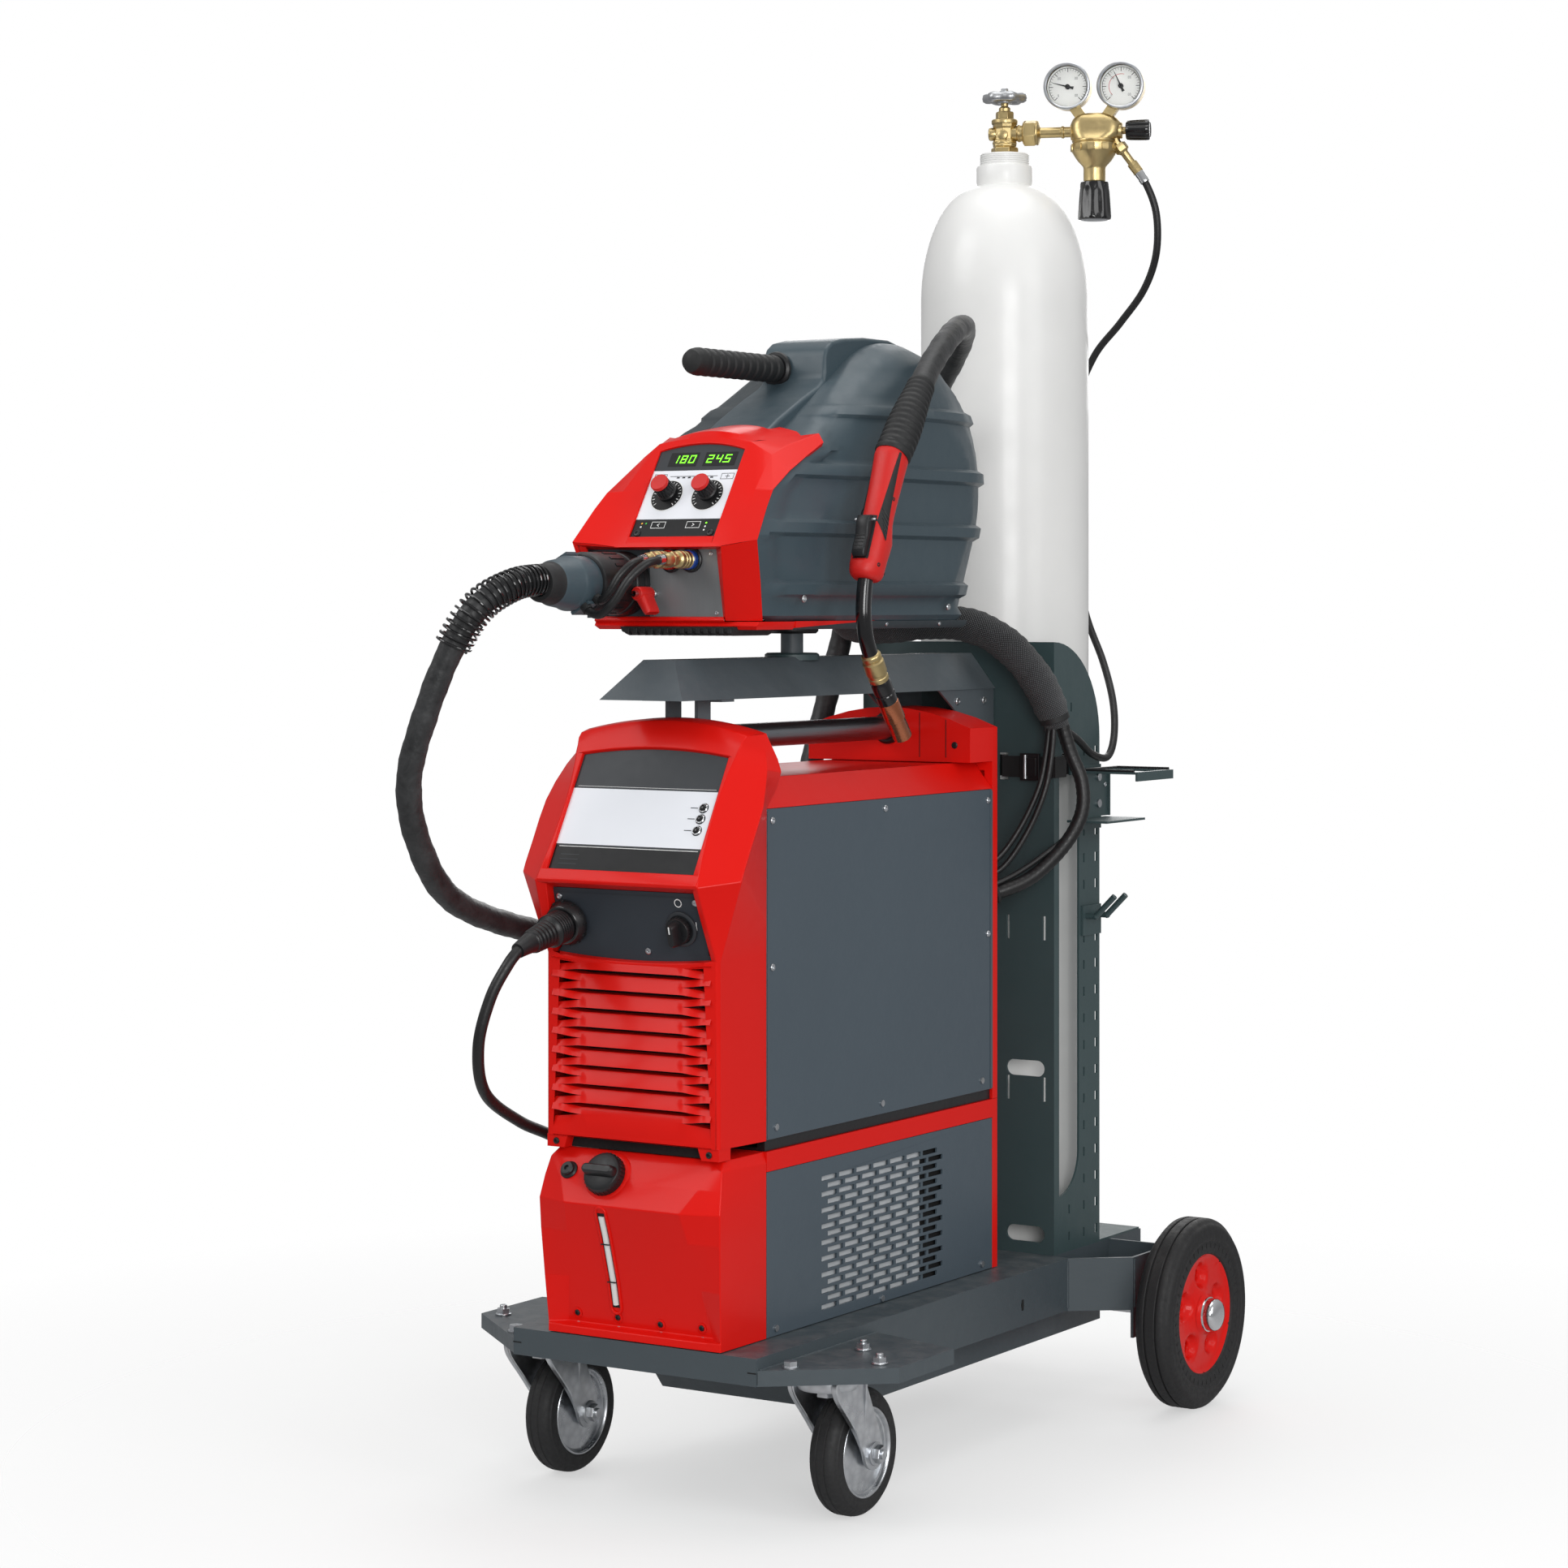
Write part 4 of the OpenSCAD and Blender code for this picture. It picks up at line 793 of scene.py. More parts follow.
# woven sleeve with the leads to the power source
p_sl = spline(sleeve_route, 4)
for _ in range(40):
    p_sl = [p_sl[0]] + [(p_sl[i - 1] + p_sl[i] * 2 + p_sl[i + 1]) / 4 for i in range(1, len(p_sl) - 1)] + [p_sl[-1]]
n_sl = len(p_sl)
def sleeve_r(i):
    k = i / (n_sl - 1)
    return 22.6 - 7 * smooth01((k - 0.93) / 0.07) + 0.55 * math.sin(i * 1.7) + 0.4 * math.sin(i * 0.43)
sleeve = G().tube(p_sl, sleeve_r, sleeve_cloth, 32).obj("lead_sleeve", None, slot="sleeve", ride=False)
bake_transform(sleeve)
g = G()
g.tube([p_sl[-6] , p_sl[-5], p_sl[-4], p_sl[-3]], 20.0, black_soft, 24)
cuff = g.obj("sleeve_tie", "cart", "interconnect_hose", slot="hose_rubber", bevel=0.8)
declare(p_sl, 46)
for name, (dia, pts) in leads.items():
    pp = spline(pts, 3)
    e = G()
    if name == "lead_c":
        o = G().tube(pp, lambda i: 9 + (0.4 if i % 3 == 1 else 0), hose_rubber, 20)
        e.tube(pp[-13:-1], lambda i: 12 + (2.2 if i % 3 == 1 else 0) + i * 0.2, black_soft, 24)
    else:
        o = G().tube(pp, dia / 2, hose_rubber, 14)
        e.tube(pp[-5:-1], dia / 2 + 3, brass if name != "lead_d" else black_soft, 18)
        if name == "lead_d":
            i0 = int(len(pp) * 0.42)
            e.tube(pp[i0:i0 + 10], dia / 2 + 0.5, white_print, 14)
    o = o.obj(name, "cart", slot="hose_rubber")
    e = e.obj(name + "_end", "cart", slot="hose_rubber", angle=40)
    declare(pp, dia)

p_gas = spline(gas_route, 4)
gas = G().tube(p_gas, 5, hose_rubber, 14).obj("gas_line", "cart", "gas_hose", slot="hose_rubber")
g = G()
g.tube(p_gas[0:5], 7.2, brass, 18)
g.tube(p_gas[4:9], lambda i: 6.6 + (0.5 if i % 2 else 0), chrome, 18)
ferrule = g.obj("gas_ferrule", "cart", slot="brass", angle=40)
declare(p_gas, 10)
for name, pts in (("water_hose_a", water_a), ("water_hose_b", water_b)):
    pp = spline(pts, 2.5)
    o = G().tube(pp, 5, hose_rubber, 16)
    e = G().tube(pp[0:4], 6.2, chrome, 18)
    e.tube(pp[-5:], 6.4, black_soft, 18)
    o = o.obj(name, "feeder", *(("water_couplings",) if name.endswith("a") else ()), slot="hose_rubber")
    e = e.obj(name + "_end", "feeder", slot="hose_rubber", angle=40)
    declare(pp, 10)

# ------------------------------------------------------------------ power source
def mirrored(rows):
    return [[(-p[0], p[1], p[2]) for p in r] for r in rows]


def crown(x):
    return 931 - 16.6 * (x / 122.0) ** 2


def arch(x):
    return 897.4 - 7.9 * (x / 103.5) ** 2 if abs(x) <= 103.5 else lerp(889.5, 887.7, (abs(x) - 103.5) / 9.7)


def on_hood(x, z, t=0.0):
    y, zz = hood((z - 748) / 0.873)
    return (x, y - 0.873 * t, z + 0.488 * t)


def smile(x):
    return 655 - 6 * (1 - (x / 112.0) ** 2)


g = G()
cheek = [
    ((112, -494, 440), (118.5, -494, 440), (122, -490.5, 440), (122, -392, 438)),
    ((112, -494, 655), (118.5, -494, 655), (122, -490.5, 655), (122, -392, 655)),
    ((103, -521, 741), (114, -527, 742), (155, -496, 749), (122, -392, 690)),
    ((103.5, -519.1, 756.7), (111.5, -519.1, 756.7), (155, -491, 760), (122, -392, 702)),
    ((103.5, -504.5, 782.9), (108.8, -504.5, 782.9), (155, -477.5, 784), (122, -392, 750)),
    ((103.5, -489.8, 809.1), (107, -489.8, 809.1), (155.5, -463, 810), (122, -392, 800)),
    ((103.5, -477.6, 830.9), (106.3, -477.6, 830.9), (155, -450, 832), (122, -392, 826)),
    ((103.5, -465.4, 852.8), (107.5, -465.4, 852.8), (150, -438, 853), (136, -392, 850)),
    ((103.5, -453.2, 874.6), (110.5, -453.2, 874.6), (143, -424, 874), (143, -392, 870)),
    ((103.5, -445.3, 888.7), (113.2, -445.9, 887.7), (136, -415, 887), (138, -392, 885)),
]
tops = [((115.5, -440, 898.2), (129, -406, 899), (131, -392, 898)), ((117.3, -435.7, 906), (124.5, -401, 907), (126, -392, 907)),
        ((118.5, -428, 912.5), (121, -399, 914), (122, -392, 914.6))]
for sgn in (1, -1):
    side = [[(sgn * p[0], p[1], p[2]) for p in r] for r in cheek]
    up = [[(sgn * p[0], p[1], p[2]) for p in r] for r in tops]
    g.grid([r[:2] for r in side], red_shell)
    g.grid([r[1:] for r in side] + up, red_shell)
    # lips round the window and beside the socket panel
    lip = [r[0] for r in side[3:]]
    g.grid([lip, [(p[0], p[1] + 0.873 * 6, p[2] - 0.488 * 6) for p in lip]], red_shell)
    g.grid([[side[1][0], side[2][0]], [(sgn * 111, -478, 655), (sgn * 103, -500, 735)]], red_shell)
cols = [k / 14 for k in range(-14, 15)]
brow = []
for i, X in enumerate((113.2, 115.5, 117.3, 118.5, 120.4, 122)):
    row = []
    for q in cols:
        x = X * q
        z0, z2 = arch(x), crown(x) - 8
        if abs(q) == 1:
            edge = [cheek[9][1], tops[0][0], tops[1][0], tops[2][0], (120.4, -410, 913.8), tops[2][2]][i]
            row.append((math.copysign(edge[0], q), edge[1], edge[2]))
            continue
        p2 = on_hood(x, z2)
        row.append((on_hood(x, z0), on_hood(x, lerp(z0, z2, 0.45)), p2, (x, p2[1] + 4.5, crown(x) - 2.6), (x, p2[1] + 13, crown(x) - 0.2), (x, -392, crown(x) + 0.5))[i])
    brow.append(row)
g.grid(brow, red_shell)
lip = [p[0] for p in brow[0][1:-1]]
g.grid([brow[0][1:-1], [on_hood(x, arch(x) - 1.5, -7) for x in lip]], red_shell)
chin = [(-519.1, 756.7), (-523.6, 748.7), (-527, 744), (-525.4, 740.2), (-506, 734)]
g.grid([[(x, y, z) for x in (-113, -60, 0, 60, 113)] for y, z in [(-514.0, 754.0)] + chin], red_shell)
for x in (-113, 113):
    g.add([(x, y, z) for y, z in [(-514.0, 754.0)] + chin], [[0, 1, 2, 3, 4, 5]], red_shell)
lipx = [112 * k / 12 for k in range(-12, 13)]
g.grid([[(x, -494, smile(x) - 7) for x in lipx], [(x, -494, smile(x)) for x in lipx], [(x, -482, smile(x) + 3) for x in lipx]], red_shell)
rear = [r[3] for r in cheek] + [r[2] for r in tops] + [p for p in reversed(brow[5][1:-1])] + [(-p[0], p[1], p[2]) for p in [r[2] for r in tops][::-1] + [r[3] for r in cheek][::-1]]
g.add(rear, [list(range(len(rear)))], red_shell)
g.grid([[(-122, -392, 438), (-118.5, -494, 440)], [(122, -392, 438), (118.5, -494, 440)]], red_shell)
shell = g.obj("source_hood", "cart", "source_front", slot="red_plastic", bevel=2.4, seg=3, angle=24, weld=0.05)

# slatted grille: gaps in the middle and at the ends are half a pitch apart
g = G()
pitch = 22.4
gx = [112, 109, 106, 102, 98, 94, 89, 84, 79, 74, 70, 62, 48, 30, 12]
gx = [-x for x in gx] + [0] + gx[::-1]
table = []
for x in gx:
    a = abs(x)
    hc = 5.8 * smooth01((104 - a) / 34)
    he = 8.4 * smooth01((a - 68) / 44)
    prof = [(-494, smile(x) - 6.5)]
    for k in range(9):
        for h, zc, full in ((he, 646 - pitch * k, 8.4), (hc, 634.8 - pitch * k, 5.8)):
            if full == 5.8 and k == 8:
                continue
            w = smooth01(h / full * 1.6)
            prof += [(-494 - 3.4 * w, zc + h / 2), (-494 + 24 * w, zc + h / 2 + 2 * w), (-494 + 24 * w, zc - h / 2), (-494 + 4.2 * w, zc - h / 2 - 0.2 * w)]
    prof += [(-494, 450), (-494, 441), (-489, 440)]
    table.append([(x, y, z) for y, z in prof])
nrow = len(table[0])
rows = [[table[c][r] for c in range(len(gx))] for r in range(nrow)]
# the back wall of each gap is near-black: painted shade inside the grille
g.grid(rows, lambda i, k: painted_shade_and_seams if i < nrow - 4 and i % 4 == 2 else red_shell)
g.obj("source_grille", "cart", slot="red_plastic", angle=40, weld=0.02)
g = G()
for s in (-1, 1):
    x0, x1 = sorted((s * 92, s * 121.4))
    g.loft([[(x0, -492.5, 440.5), (x1, -492.5, 440.5), (x1, -468, 440.5), (x0, -468, 440.5)],
            [(x0 + 5 * (s > 0), -492.5, 425.8), (x1 - 5 * (s < 0), -492.5, 425.8), (x1 - 5 * (s < 0), -468, 425.8), (x0 + 5 * (s > 0), -468, 425.8)]], red_shell)
    g.screw((s * 108, -492.5, 433), (0, -1, 0), 4, black_plastic)
# near-black strip between the feet: painted shade of the gap under the source
g.box((-96, 96), (-478, -474), (426, 442), painted_shade_and_seams)
g.obj("source_feet", "cart", slot="red_plastic", bevel=1.0)

# control panel behind the window, bands as one printed film
g = G()
px_ = [105 * k / 12 for k in range(-12, 13)]
rows = []
for s in (6, 42, 44, 117):
    rows.append([(x,) + hood(s, -4.2) for x in px_])
rows.append([on_hood(x, arch(min(103.4, abs(x))) + 1.5, -4.2) for x in px_])
g.grid(rows, lambda i, k: (black_film, dark_film, white_film, dark_film)[i])
M0 = at((0,) + hood(0, -4.2), (0, -0.873, 0.488), (0, 0.488, 0.873))


def on_panel(base, n, u):
    """Frame on a sloped panel: x to the right, y up the slope, z out."""
    x = Vector((1, 0, 0))
    y = Vector(u)
    z = Vector(n)
    m = Matrix((x, y, z)).transposed().to_4x4()
    m.translation = Vector(base)
    return m


MP = on_panel((0,) + hood(0, -4.2), (0, -0.873, 0.488), (0, 0.488, 0.873))


def outline(g, x0, x1, y0, y1, w, mat, M, z=0.25):
    for a, b, c, d_ in ((x0, x1, y0, y0 + w), (x0, x1, y1 - w, y1), (x0, x0 + w, y0 + w, y1 - w), (x1 - w, x1, y0 + w, y1 - w)):
        g.add([(a, c, z), (b, c, z), (b, d_, z), (a, d_, z)], [[0, 1, 2, 3]], mat, M)


def quad(g, x0, x1, y0, y1, mat, M, z=0.25):
    g.add([(x0, y0, z), (x1, y0, z), (x1, y1, z), (x0, y1, z)], [[0, 1, 2, 3]], mat, M)


def disc(g, x, y, r, mat, M, z=0.3, n=32, r0=0.0):
    if r0:
        g.lathe([(r0, z), (r, z)], mat, M @ Matrix.Translation((x, y, 0)), n)
    else:
        g.lathe([(r, z), (0, z)], mat, M @ Matrix.Translation((x, y, 0)), n)


quad(g, -98, 98, 40.4, 41.2, white_print, MP)
quad(g, -98, 98, 119.4, 119.9, white_print, MP)
for s in (96, 82, 67):
    quad(g, 70, 80, s - 0.5, s + 0.5, dark_film, MP)
    disc(g, 88, s, 6.6, dark_film, MP, 0.2)
for s, x0 in ((30, -92), (24, -92), (18, -92)):
    quad(g, x0, x0 + 26, s, s + 0.8, dark_film, MP)
g.obj("source_film", "cart", "source_panels", slot="panel_film", angle=60)
g = G()
for s, m in ((96, black_gloss), (82, black_gloss), (67, black_gloss)):
    MM = MP @ Matrix.Translation((88, s, 0))
    g.lathe([(5.8, 0), (5.8, 1.4), (5.2, 2.0), (4.4, 2.0), (4.4, 1.4, m), (4.0, 2.6), (2.4, 3.6), (0, 4.0)], chrome, MM, 28)
g.obj("source_lamps", "cart", slot="panel_film")

# socket panel with its frame line, round socket, switch plate and screw
pn = Vector((0, -0.9663, -0.2575))
pu = Vector((0, -0.2575, 0.9663))
MS = on_panel((0, -496, 695.5), pn, pu)
g = G()
g.grid([[(x, -505.6 + 20 * (733 - z) / 75.0, z) for x, z in [(q * 104, zz) for q in [k / 8 for k in range(-8, 9)]]] for zz in (733.5, 700, 662)]
       + [[(q * 110, -486.5, smile(q * 110) + 2) for q in [k / 8 for k in range(-8, 9)]]], panel_grey)
quad(g, -98, 98, 33.6, 34.1, dark_film, MS, 0.4)
# mark over the switch
disc(g, 72, 27, 5.2, white_print, MS, 0.4, 36, 4.0)
quad(g, 92.6, 93.6, -5, 5, white_print, MS, 0.4)
g.lathe([(21, 0), (21, 2.2), (19.6, 3.2), (17, 3.4), (16.4, 1.4), (0, 1.4)], dark_film, MS @ Matrix.Translation((72, -4, 0)), 48)
for x in (-96, 96):
    g.lathe([(4, 0), (4, 1.2), (3, 1.8), (1.6, 1.8), (1.4, 0.6), (0, 0.6)], zinc, MS @ Matrix.Translation((x, 28, 0)), 16)
g.lathe([(4, 0), (4, 1.2), (3, 1.8), (1.6, 1.8), (1.4, 0.6), (0, 0.6)], zinc, MS @ Matrix.Translation((20, -34, 0)), 16)
MK = at((-88, -497, 692.2), (0, -0.97, -0.243))
g.lathe([(27, 0), (27, 5), (25, 7.4), (23.4, 13, black_gloss), (22, 14), (19, 14), (18.6, 3), (0, 3)], black_plastic, MK, 48)
for k in range(12):
    a = 2 * pi * k / 12
    g.box((-1.6, 1.6), (25.4, 27.8), (0.5, 6), black_plastic, MK @ Matrix.Rotation(a, 4, "Z"))
g.obj("socket_panel", "cart", slot="black_plastic", angle=40, bevel=0.3)

g = G()
sw_c, sw_n = Vector((72, -494.9, 691.5)), Vector((0, -0.9659, -0.2588))
MW = on_panel(sw_c, sw_n, (0, -0.2588, 0.9659))
g.lathe([(15.6, 3.6), (16, 5), (16, 9.5), (14.8, 11.4), (0, 11.8)], black_plastic, MW, 48)
for k in range(24):
    g.box((15.6, 16.5), (-0.7, 0.7), (4.6, 9.6), black_plastic, MW @ Matrix.Rotation(2 * pi * k / 24, 4, "Z"))
rings = []
for z, w, h0, h1 in ((11.2, 6.2, -16.5, 13.5), (17, 5.6, -16, 13.0), (23, 4.6, -15, 12), (26, 3.6, -13.5, 10.5)):
    rings.append([(px0, py0, z) for px0, py0 in round_rect(2 * w, h1 - h0, min(w, 4.4) - 0.1, 5, 0, (h0 + h1) / 2)])
g.loft(rings, black_plastic, True, MW)
g.box((-0.8, 0.8), (2, 11), (26, 26.4), white_print, MW)
g.obj("switch_knob", "main_switch", "main_switch", slot="black_plastic", angle=38, bevel=0.4)

# plug of the return cable: ribbed sleeve and tail
g = G()
axis_pts = spline([[-88, -504, 690.5], [-88, -528, 684.6], [-89, -552, 678], [-90, -575, 671.5], [-91, -592, 665.6]], 1.0)
n_ax = len(axis_pts)


def plug_r(i):
    d_ = i * length_of(axis_pts) / (n_ax - 1)
    if d_ < 6:
        return 17.8
    if d_ < 30:
        return 19.0 + (0.9 if int(d_) % 4 < 2 else 0.0)
    if d_ < 34:
        return lerp(19, 15.6, (d_ - 30) / 4)
    if d_ < 66:
        return lerp(15.6, 13.6, (d_ - 34) / 32) + (0.8 if int(d_) % 6 < 3 else 0.0)
    return lerp(12.5, 9.0, (d_ - 66) / 26)


g.tube(axis_pts, plug_r, black_plastic, 32)
g.obj("return_plug_body", "cart", "return_plug", slot="black_plastic", angle=45)

cad("source_cover", red_paint, 1.2)
cad("source_sides", grey_sheet, 0.8)
cad("source_rear", red_shell, 1.6)
cad("source_handle", tube_metal, 0.5)
cad("source_core", black_plastic, 1.0)
cad("cooling_fan", black_plastic, 0.6)
g = G()
for x in (47, 86):
    # joints in the raised end of the moulding, and its screw
    g.box((x - 0.5, x + 0.5), (89.7, 90.5), (868, 929.5 - 26 * (x / 122) ** 2), painted_shade_and_seams)
g.screw((99, 90.1, 884), (0, -1, 0), 4.4, black_plastic, 1.6)
g.obj("rear_joints", "cart", slot="black_plastic", angle=50)
g = G()
for s in (-1, 1):
    # seam strips and screws where the side sheets meet the mouldings
    g.box(sorted((s * 122.0, s * 122.9)), (-391.4, -386.5), (440, 824), grey_sheet)
    g.box(sorted((s * 122.0, s * 122.9)), (142, 147.4), (440, 824), grey_sheet)
    for y, z in ((-380, 812), (-380, 640), (136, 812), (136, 640), (-122, 814)):
        g.screw((s * 122.1, y, z), (s, 0, 0), 4.4, zinc)
# ends of the carrying tube
for y, d_ in ((-391, 1), (89.6, -1)):
    g.lathe([(15.4, 0), (21, 0), (21, 4), (18, 7), (15.4, 7)], black_plastic, at((0, y, 905), (0, d_, 0)), 40)
g.obj("source_trim", "cart", slot="zinc", bevel=0.35)

# ------------------------------------------------------------------ cooling unit
g = G()
half = [
    ((0, -476, 425), (104, -476, 425), (114, -474, 425), (117.5, -464, 425), (117.5, -392, 425)),
    ((0, -481.5, 418), (111, -481.5, 418), (121, -486, 414), (122.4, -470, 414), (122, -392, 412)),
    ((0, -500, 392.5), (97, -500, 392.5), (125, -493, 392), (124.5, -470, 392), (122, -392, 392)),
    ((0, -516, 366), (81, -516, 366), (128, -500, 366), (127, -470, 366), (122, -392, 366)),
    ((0, -503, 330), (85.5, -503, 330), (127, -498.6, 330), (125.6, -470, 330), (122, -392, 330)),
    ((0, -487, 275), (93, -487, 275), (124.6, -494.6, 275), (123.4, -470, 275), (122, -392, 275)),
    ((0, -475, 219), (102, -475, 219), (122, -490, 219), (122, -470, 219), (122, -392, 219)),
]
foot = [((0, -489, 216), (102, -489, 216), (122, -490, 216), (122, -470, 216), (122, -392, 216)),
        ((0, -490, 207.2), (102, -490, 207.2), (122, -490, 207.2), (122, -470, 207.2), (122, -392, 207.2))]
for sgn in (1, -1):
    g.grid([[(sgn * p[0], p[1], p[2]) for p in r] for r in half + foot], red_shell)
wall = [r[4] for r in half + foot]
g.grid([[(-p[0], p[1], p[2]), p] for p in wall], red_shell)
top = list(half[0]) + [(-p[0], p[1], p[2]) for p in reversed(half[0][1:])]
g.add(top, [list(range(len(top)))], red_shell)
g.obj("cooler_front", "cart", "cooler_casing", slot="red_plastic", bevel=2.6, seg=3, angle=14, weld=0.05)
g = G()
# rest of the casing: top frame and rear wall
g.box((-122, 122), (-391.8, 161), (401.6, 425), red_shell)
g.box((-122, 122), (148, 161), (206.8, 402), red_shell)
# near-black strips on the rear wall: painted shade of its vent slots
for k in range(9):
    g.box((-80, 80), (160.6, 161.8), (240 + 15 * k, 247 + 15 * k), painted_shade_and_seams)
for s in (-1, 1):
    g.screw((s * 108, 161, 222), (0, 1, 0), 4.4, zinc)
    g.screw((s * 108, 161, 390), (0, 1, 0), 4.4, zinc)
g.obj("cooler_frame", "cart", slot="red_plastic", bevel=1.6, seg=3)

# level slot: raised rim, dark bed and the pale tank behind it
g = G()


def cooler_y(z):
    return float(np.interp(z, [219, 275, 330, 366], [-475, -487, -503, -516]))


line = [Vector((-30, cooler_y(z), z)) for z in [242 + 5.75 * k for k in range(21)]]
mid = resample([list(p) for p in line], 4)
rim = [Vector((p.x - 7, p.y - 0.6, p.z)) for p in mid]
top_c = mid[-1]
rim += [top_c + Vector((-7 * math.cos(a), -0.6 - 1.6 * math.sin(a), 7 * math.sin(a))) for a in [pi * k / 8 for k in range(1, 8)]]
rim += [Vector((p.x + 7, p.y - 0.6, p.z)) for p in reversed(mid)]
low_c = mid[0]
rim += [low_c + Vector((7 * math.cos(a), -0.6 + 0.8 * math.sin(a), -7 * math.sin(a))) for a in [pi * k / 8 for k in range(0, 9)]]
g.tube(rim, 1.7, red_shell, 10)
# near-black bed: painted shade inside the level slot
g.grid([[(p.x - 6.5, p.y - 0.35, p.z) for p in mid], [(p.x, p.y - 0.5, p.z) for p in mid], [(p.x + 6.5, p.y - 0.35, p.z) for p in mid]], painted_shade_and_seams)
g.tube([p + Vector((0, 0.2, 0)) for p in mid[1:-1]], lambda i: 3.9, white_plastic, 14)
for k in (8, 20):
    p = mid[k]
    g.box((p.x - 6, p.x + 6), (p.y - 4.6, p.y - 3.4), (p.z - 0.7, p.z + 0.7), black_plastic)
for x, z in ((-88, 230), (-30, 230), (30, 228), (88, 230)):
    g.lathe([(6.4, 0.2), (6.4, 1.0), (4.8, 1.4), (4.6, 0.5), (0, 0.5)], red_shell, at((x, cooler_y(z) - 0.2, z), (0, -0.97, -0.2)), 24)
    g.screw((x, cooler_y(z) - 0.4, z), (0, -0.97, -0.2), 3.6, black_plastic, 1.6)
# small plug beside the cap, pad for the cap
MC = at((-88, -494.4, 400), (0, -0.82, 0.57))
g.lathe([(11, 0), (11, 1.6), (9.6, 3), (8.6, 3.4), (8.6, 6), (7.4, 7.4), (3.2, 7.4), (3, 5), (0, 5)], black_plastic, MC, 32)
cap_c, cap_n = Vector((-32, -495.4, 397)), Vector((0, -0.864, 0.504))
g.lathe([(31, -2), (31, 0.4), (28.6, 2.2), (24, 2.4)], red_shell, at(cap_c, cap_n), 56)
g.obj("cooler_details", "cart", slot="red_plastic", angle=40)

g = G()
MF = on_panel(cap_c, cap_n, (0, 0.504, 0.864))
g.lathe([(23, 1.2), (24.6, 2.4), (24.6, 13), (23, 16.4), (19, 18.2), (0, 18.8)], black_plastic, MF, 64)
for k in range(30):
    g.box((24.2, 25.4), (-1.0, 1.0), (3, 13), black_plastic, MF @ Matrix.Rotation(2 * pi * k / 30, 4, "Z"))
rings = []
for z, L, w in ((17.6, 23, 7.2), (22, 22.6, 6.2), (26, 21.6, 5.2), (28, 19.6, 3.8)):
    rings.append([(px0, py0, z) for px0, py0 in round_rect(2 * L, 2 * w, w - 0.2, 6)])
g.loft(rings, black_plastic, True, MF)
g.obj("filler_knob", "filler_cap", "filler_cap", slot="black_plastic", angle=36, bevel=0.5)
cad("cooler_sides", grey_sheet, 0.5)
cad("coolant_tank", white_plastic, 1.0)
# heat exchanger: folded fins close behind the slots, dark end tank, pump; the block behind the fins and the end tank
# are near-black, painted shade inside the casing
g = G()
fold = [-270 + 1.9 * k for k in range(128)]
g.grid([[(116 if k % 2 else 113.2, y, z) for k, y in enumerate(fold)] for z in (214, 386)], fin_metal)
for k in range(17):
    z = 227.6 + 9.65 * k
    g.box((113, 116.2), (-271, -27), (z - 0.9, z + 0.9), fin_metal)
g.box((92, 112.8), (-276, 40), (212, 388), painted_shade_and_seams)
g.box((112.6, 115.6), (-26, 40), (214, 386), painted_shade_and_seams)
g.box((20, 92), (-120, 20), (207.2, 300), black_plastic)
g.obj("heat_exchanger", "cart", "radiator", slot="alloy", angle=20)

# ------------------------------------------------------------------ wire feeder
O_line = [(117, -393, 1046), (132, -427, 1141), (124, -394, 1180), (119.5, -374, 1200), (116.5, -330, 1225), (114.5, -295, 1239), (112.5, -258, 1251)]


def o_at(z):
    zs = [p[2] for p in O_line]
    return float(np.interp(z, zs, [p[0] for p in O_line])), float(np.interp(z, zs, [p[1] for p in O_line]))


g = G()
K_line = [(76, -419, 1134), (74, -400.5, 1164), (71, -376, 1202), (66, -339.6, 1258.8)]
win = lambda q: (61 * q,) + face(134 - 10 * q * q)
cols = [k / 10 for k in range(-10, 11)]
brow = []
for i in range(5):
    row = []
    for q in cols:
        if i == 0:
            row.append(win(q))
        elif i == 1:
            row.append((66 * q,) + face(141.5 - 7.5 * q * q))
        elif i == 2:
            row.append((68 * q, -327 + 1.0 * q * q, 1273.5 - 12.5 * q * q))
        elif i == 3:
            row.append((71 * q, -311, 1277 - 15 * q * q))
        else:
            row.append((91 * q, -252, 1285 - 16 * q * q))
    brow.append(row)
g.grid(brow, red_shell)
g.grid([brow[0], [(p[0], p[1] + 0.8417 * 6, p[2] - 0.5405 * 6 - 1) for p in brow[0]]], red_shell)
lips = G()
lips.grid([brow[4], [(p[0], p[1] + 2, p[2] - 24) for p in brow[4]]], red_shell)
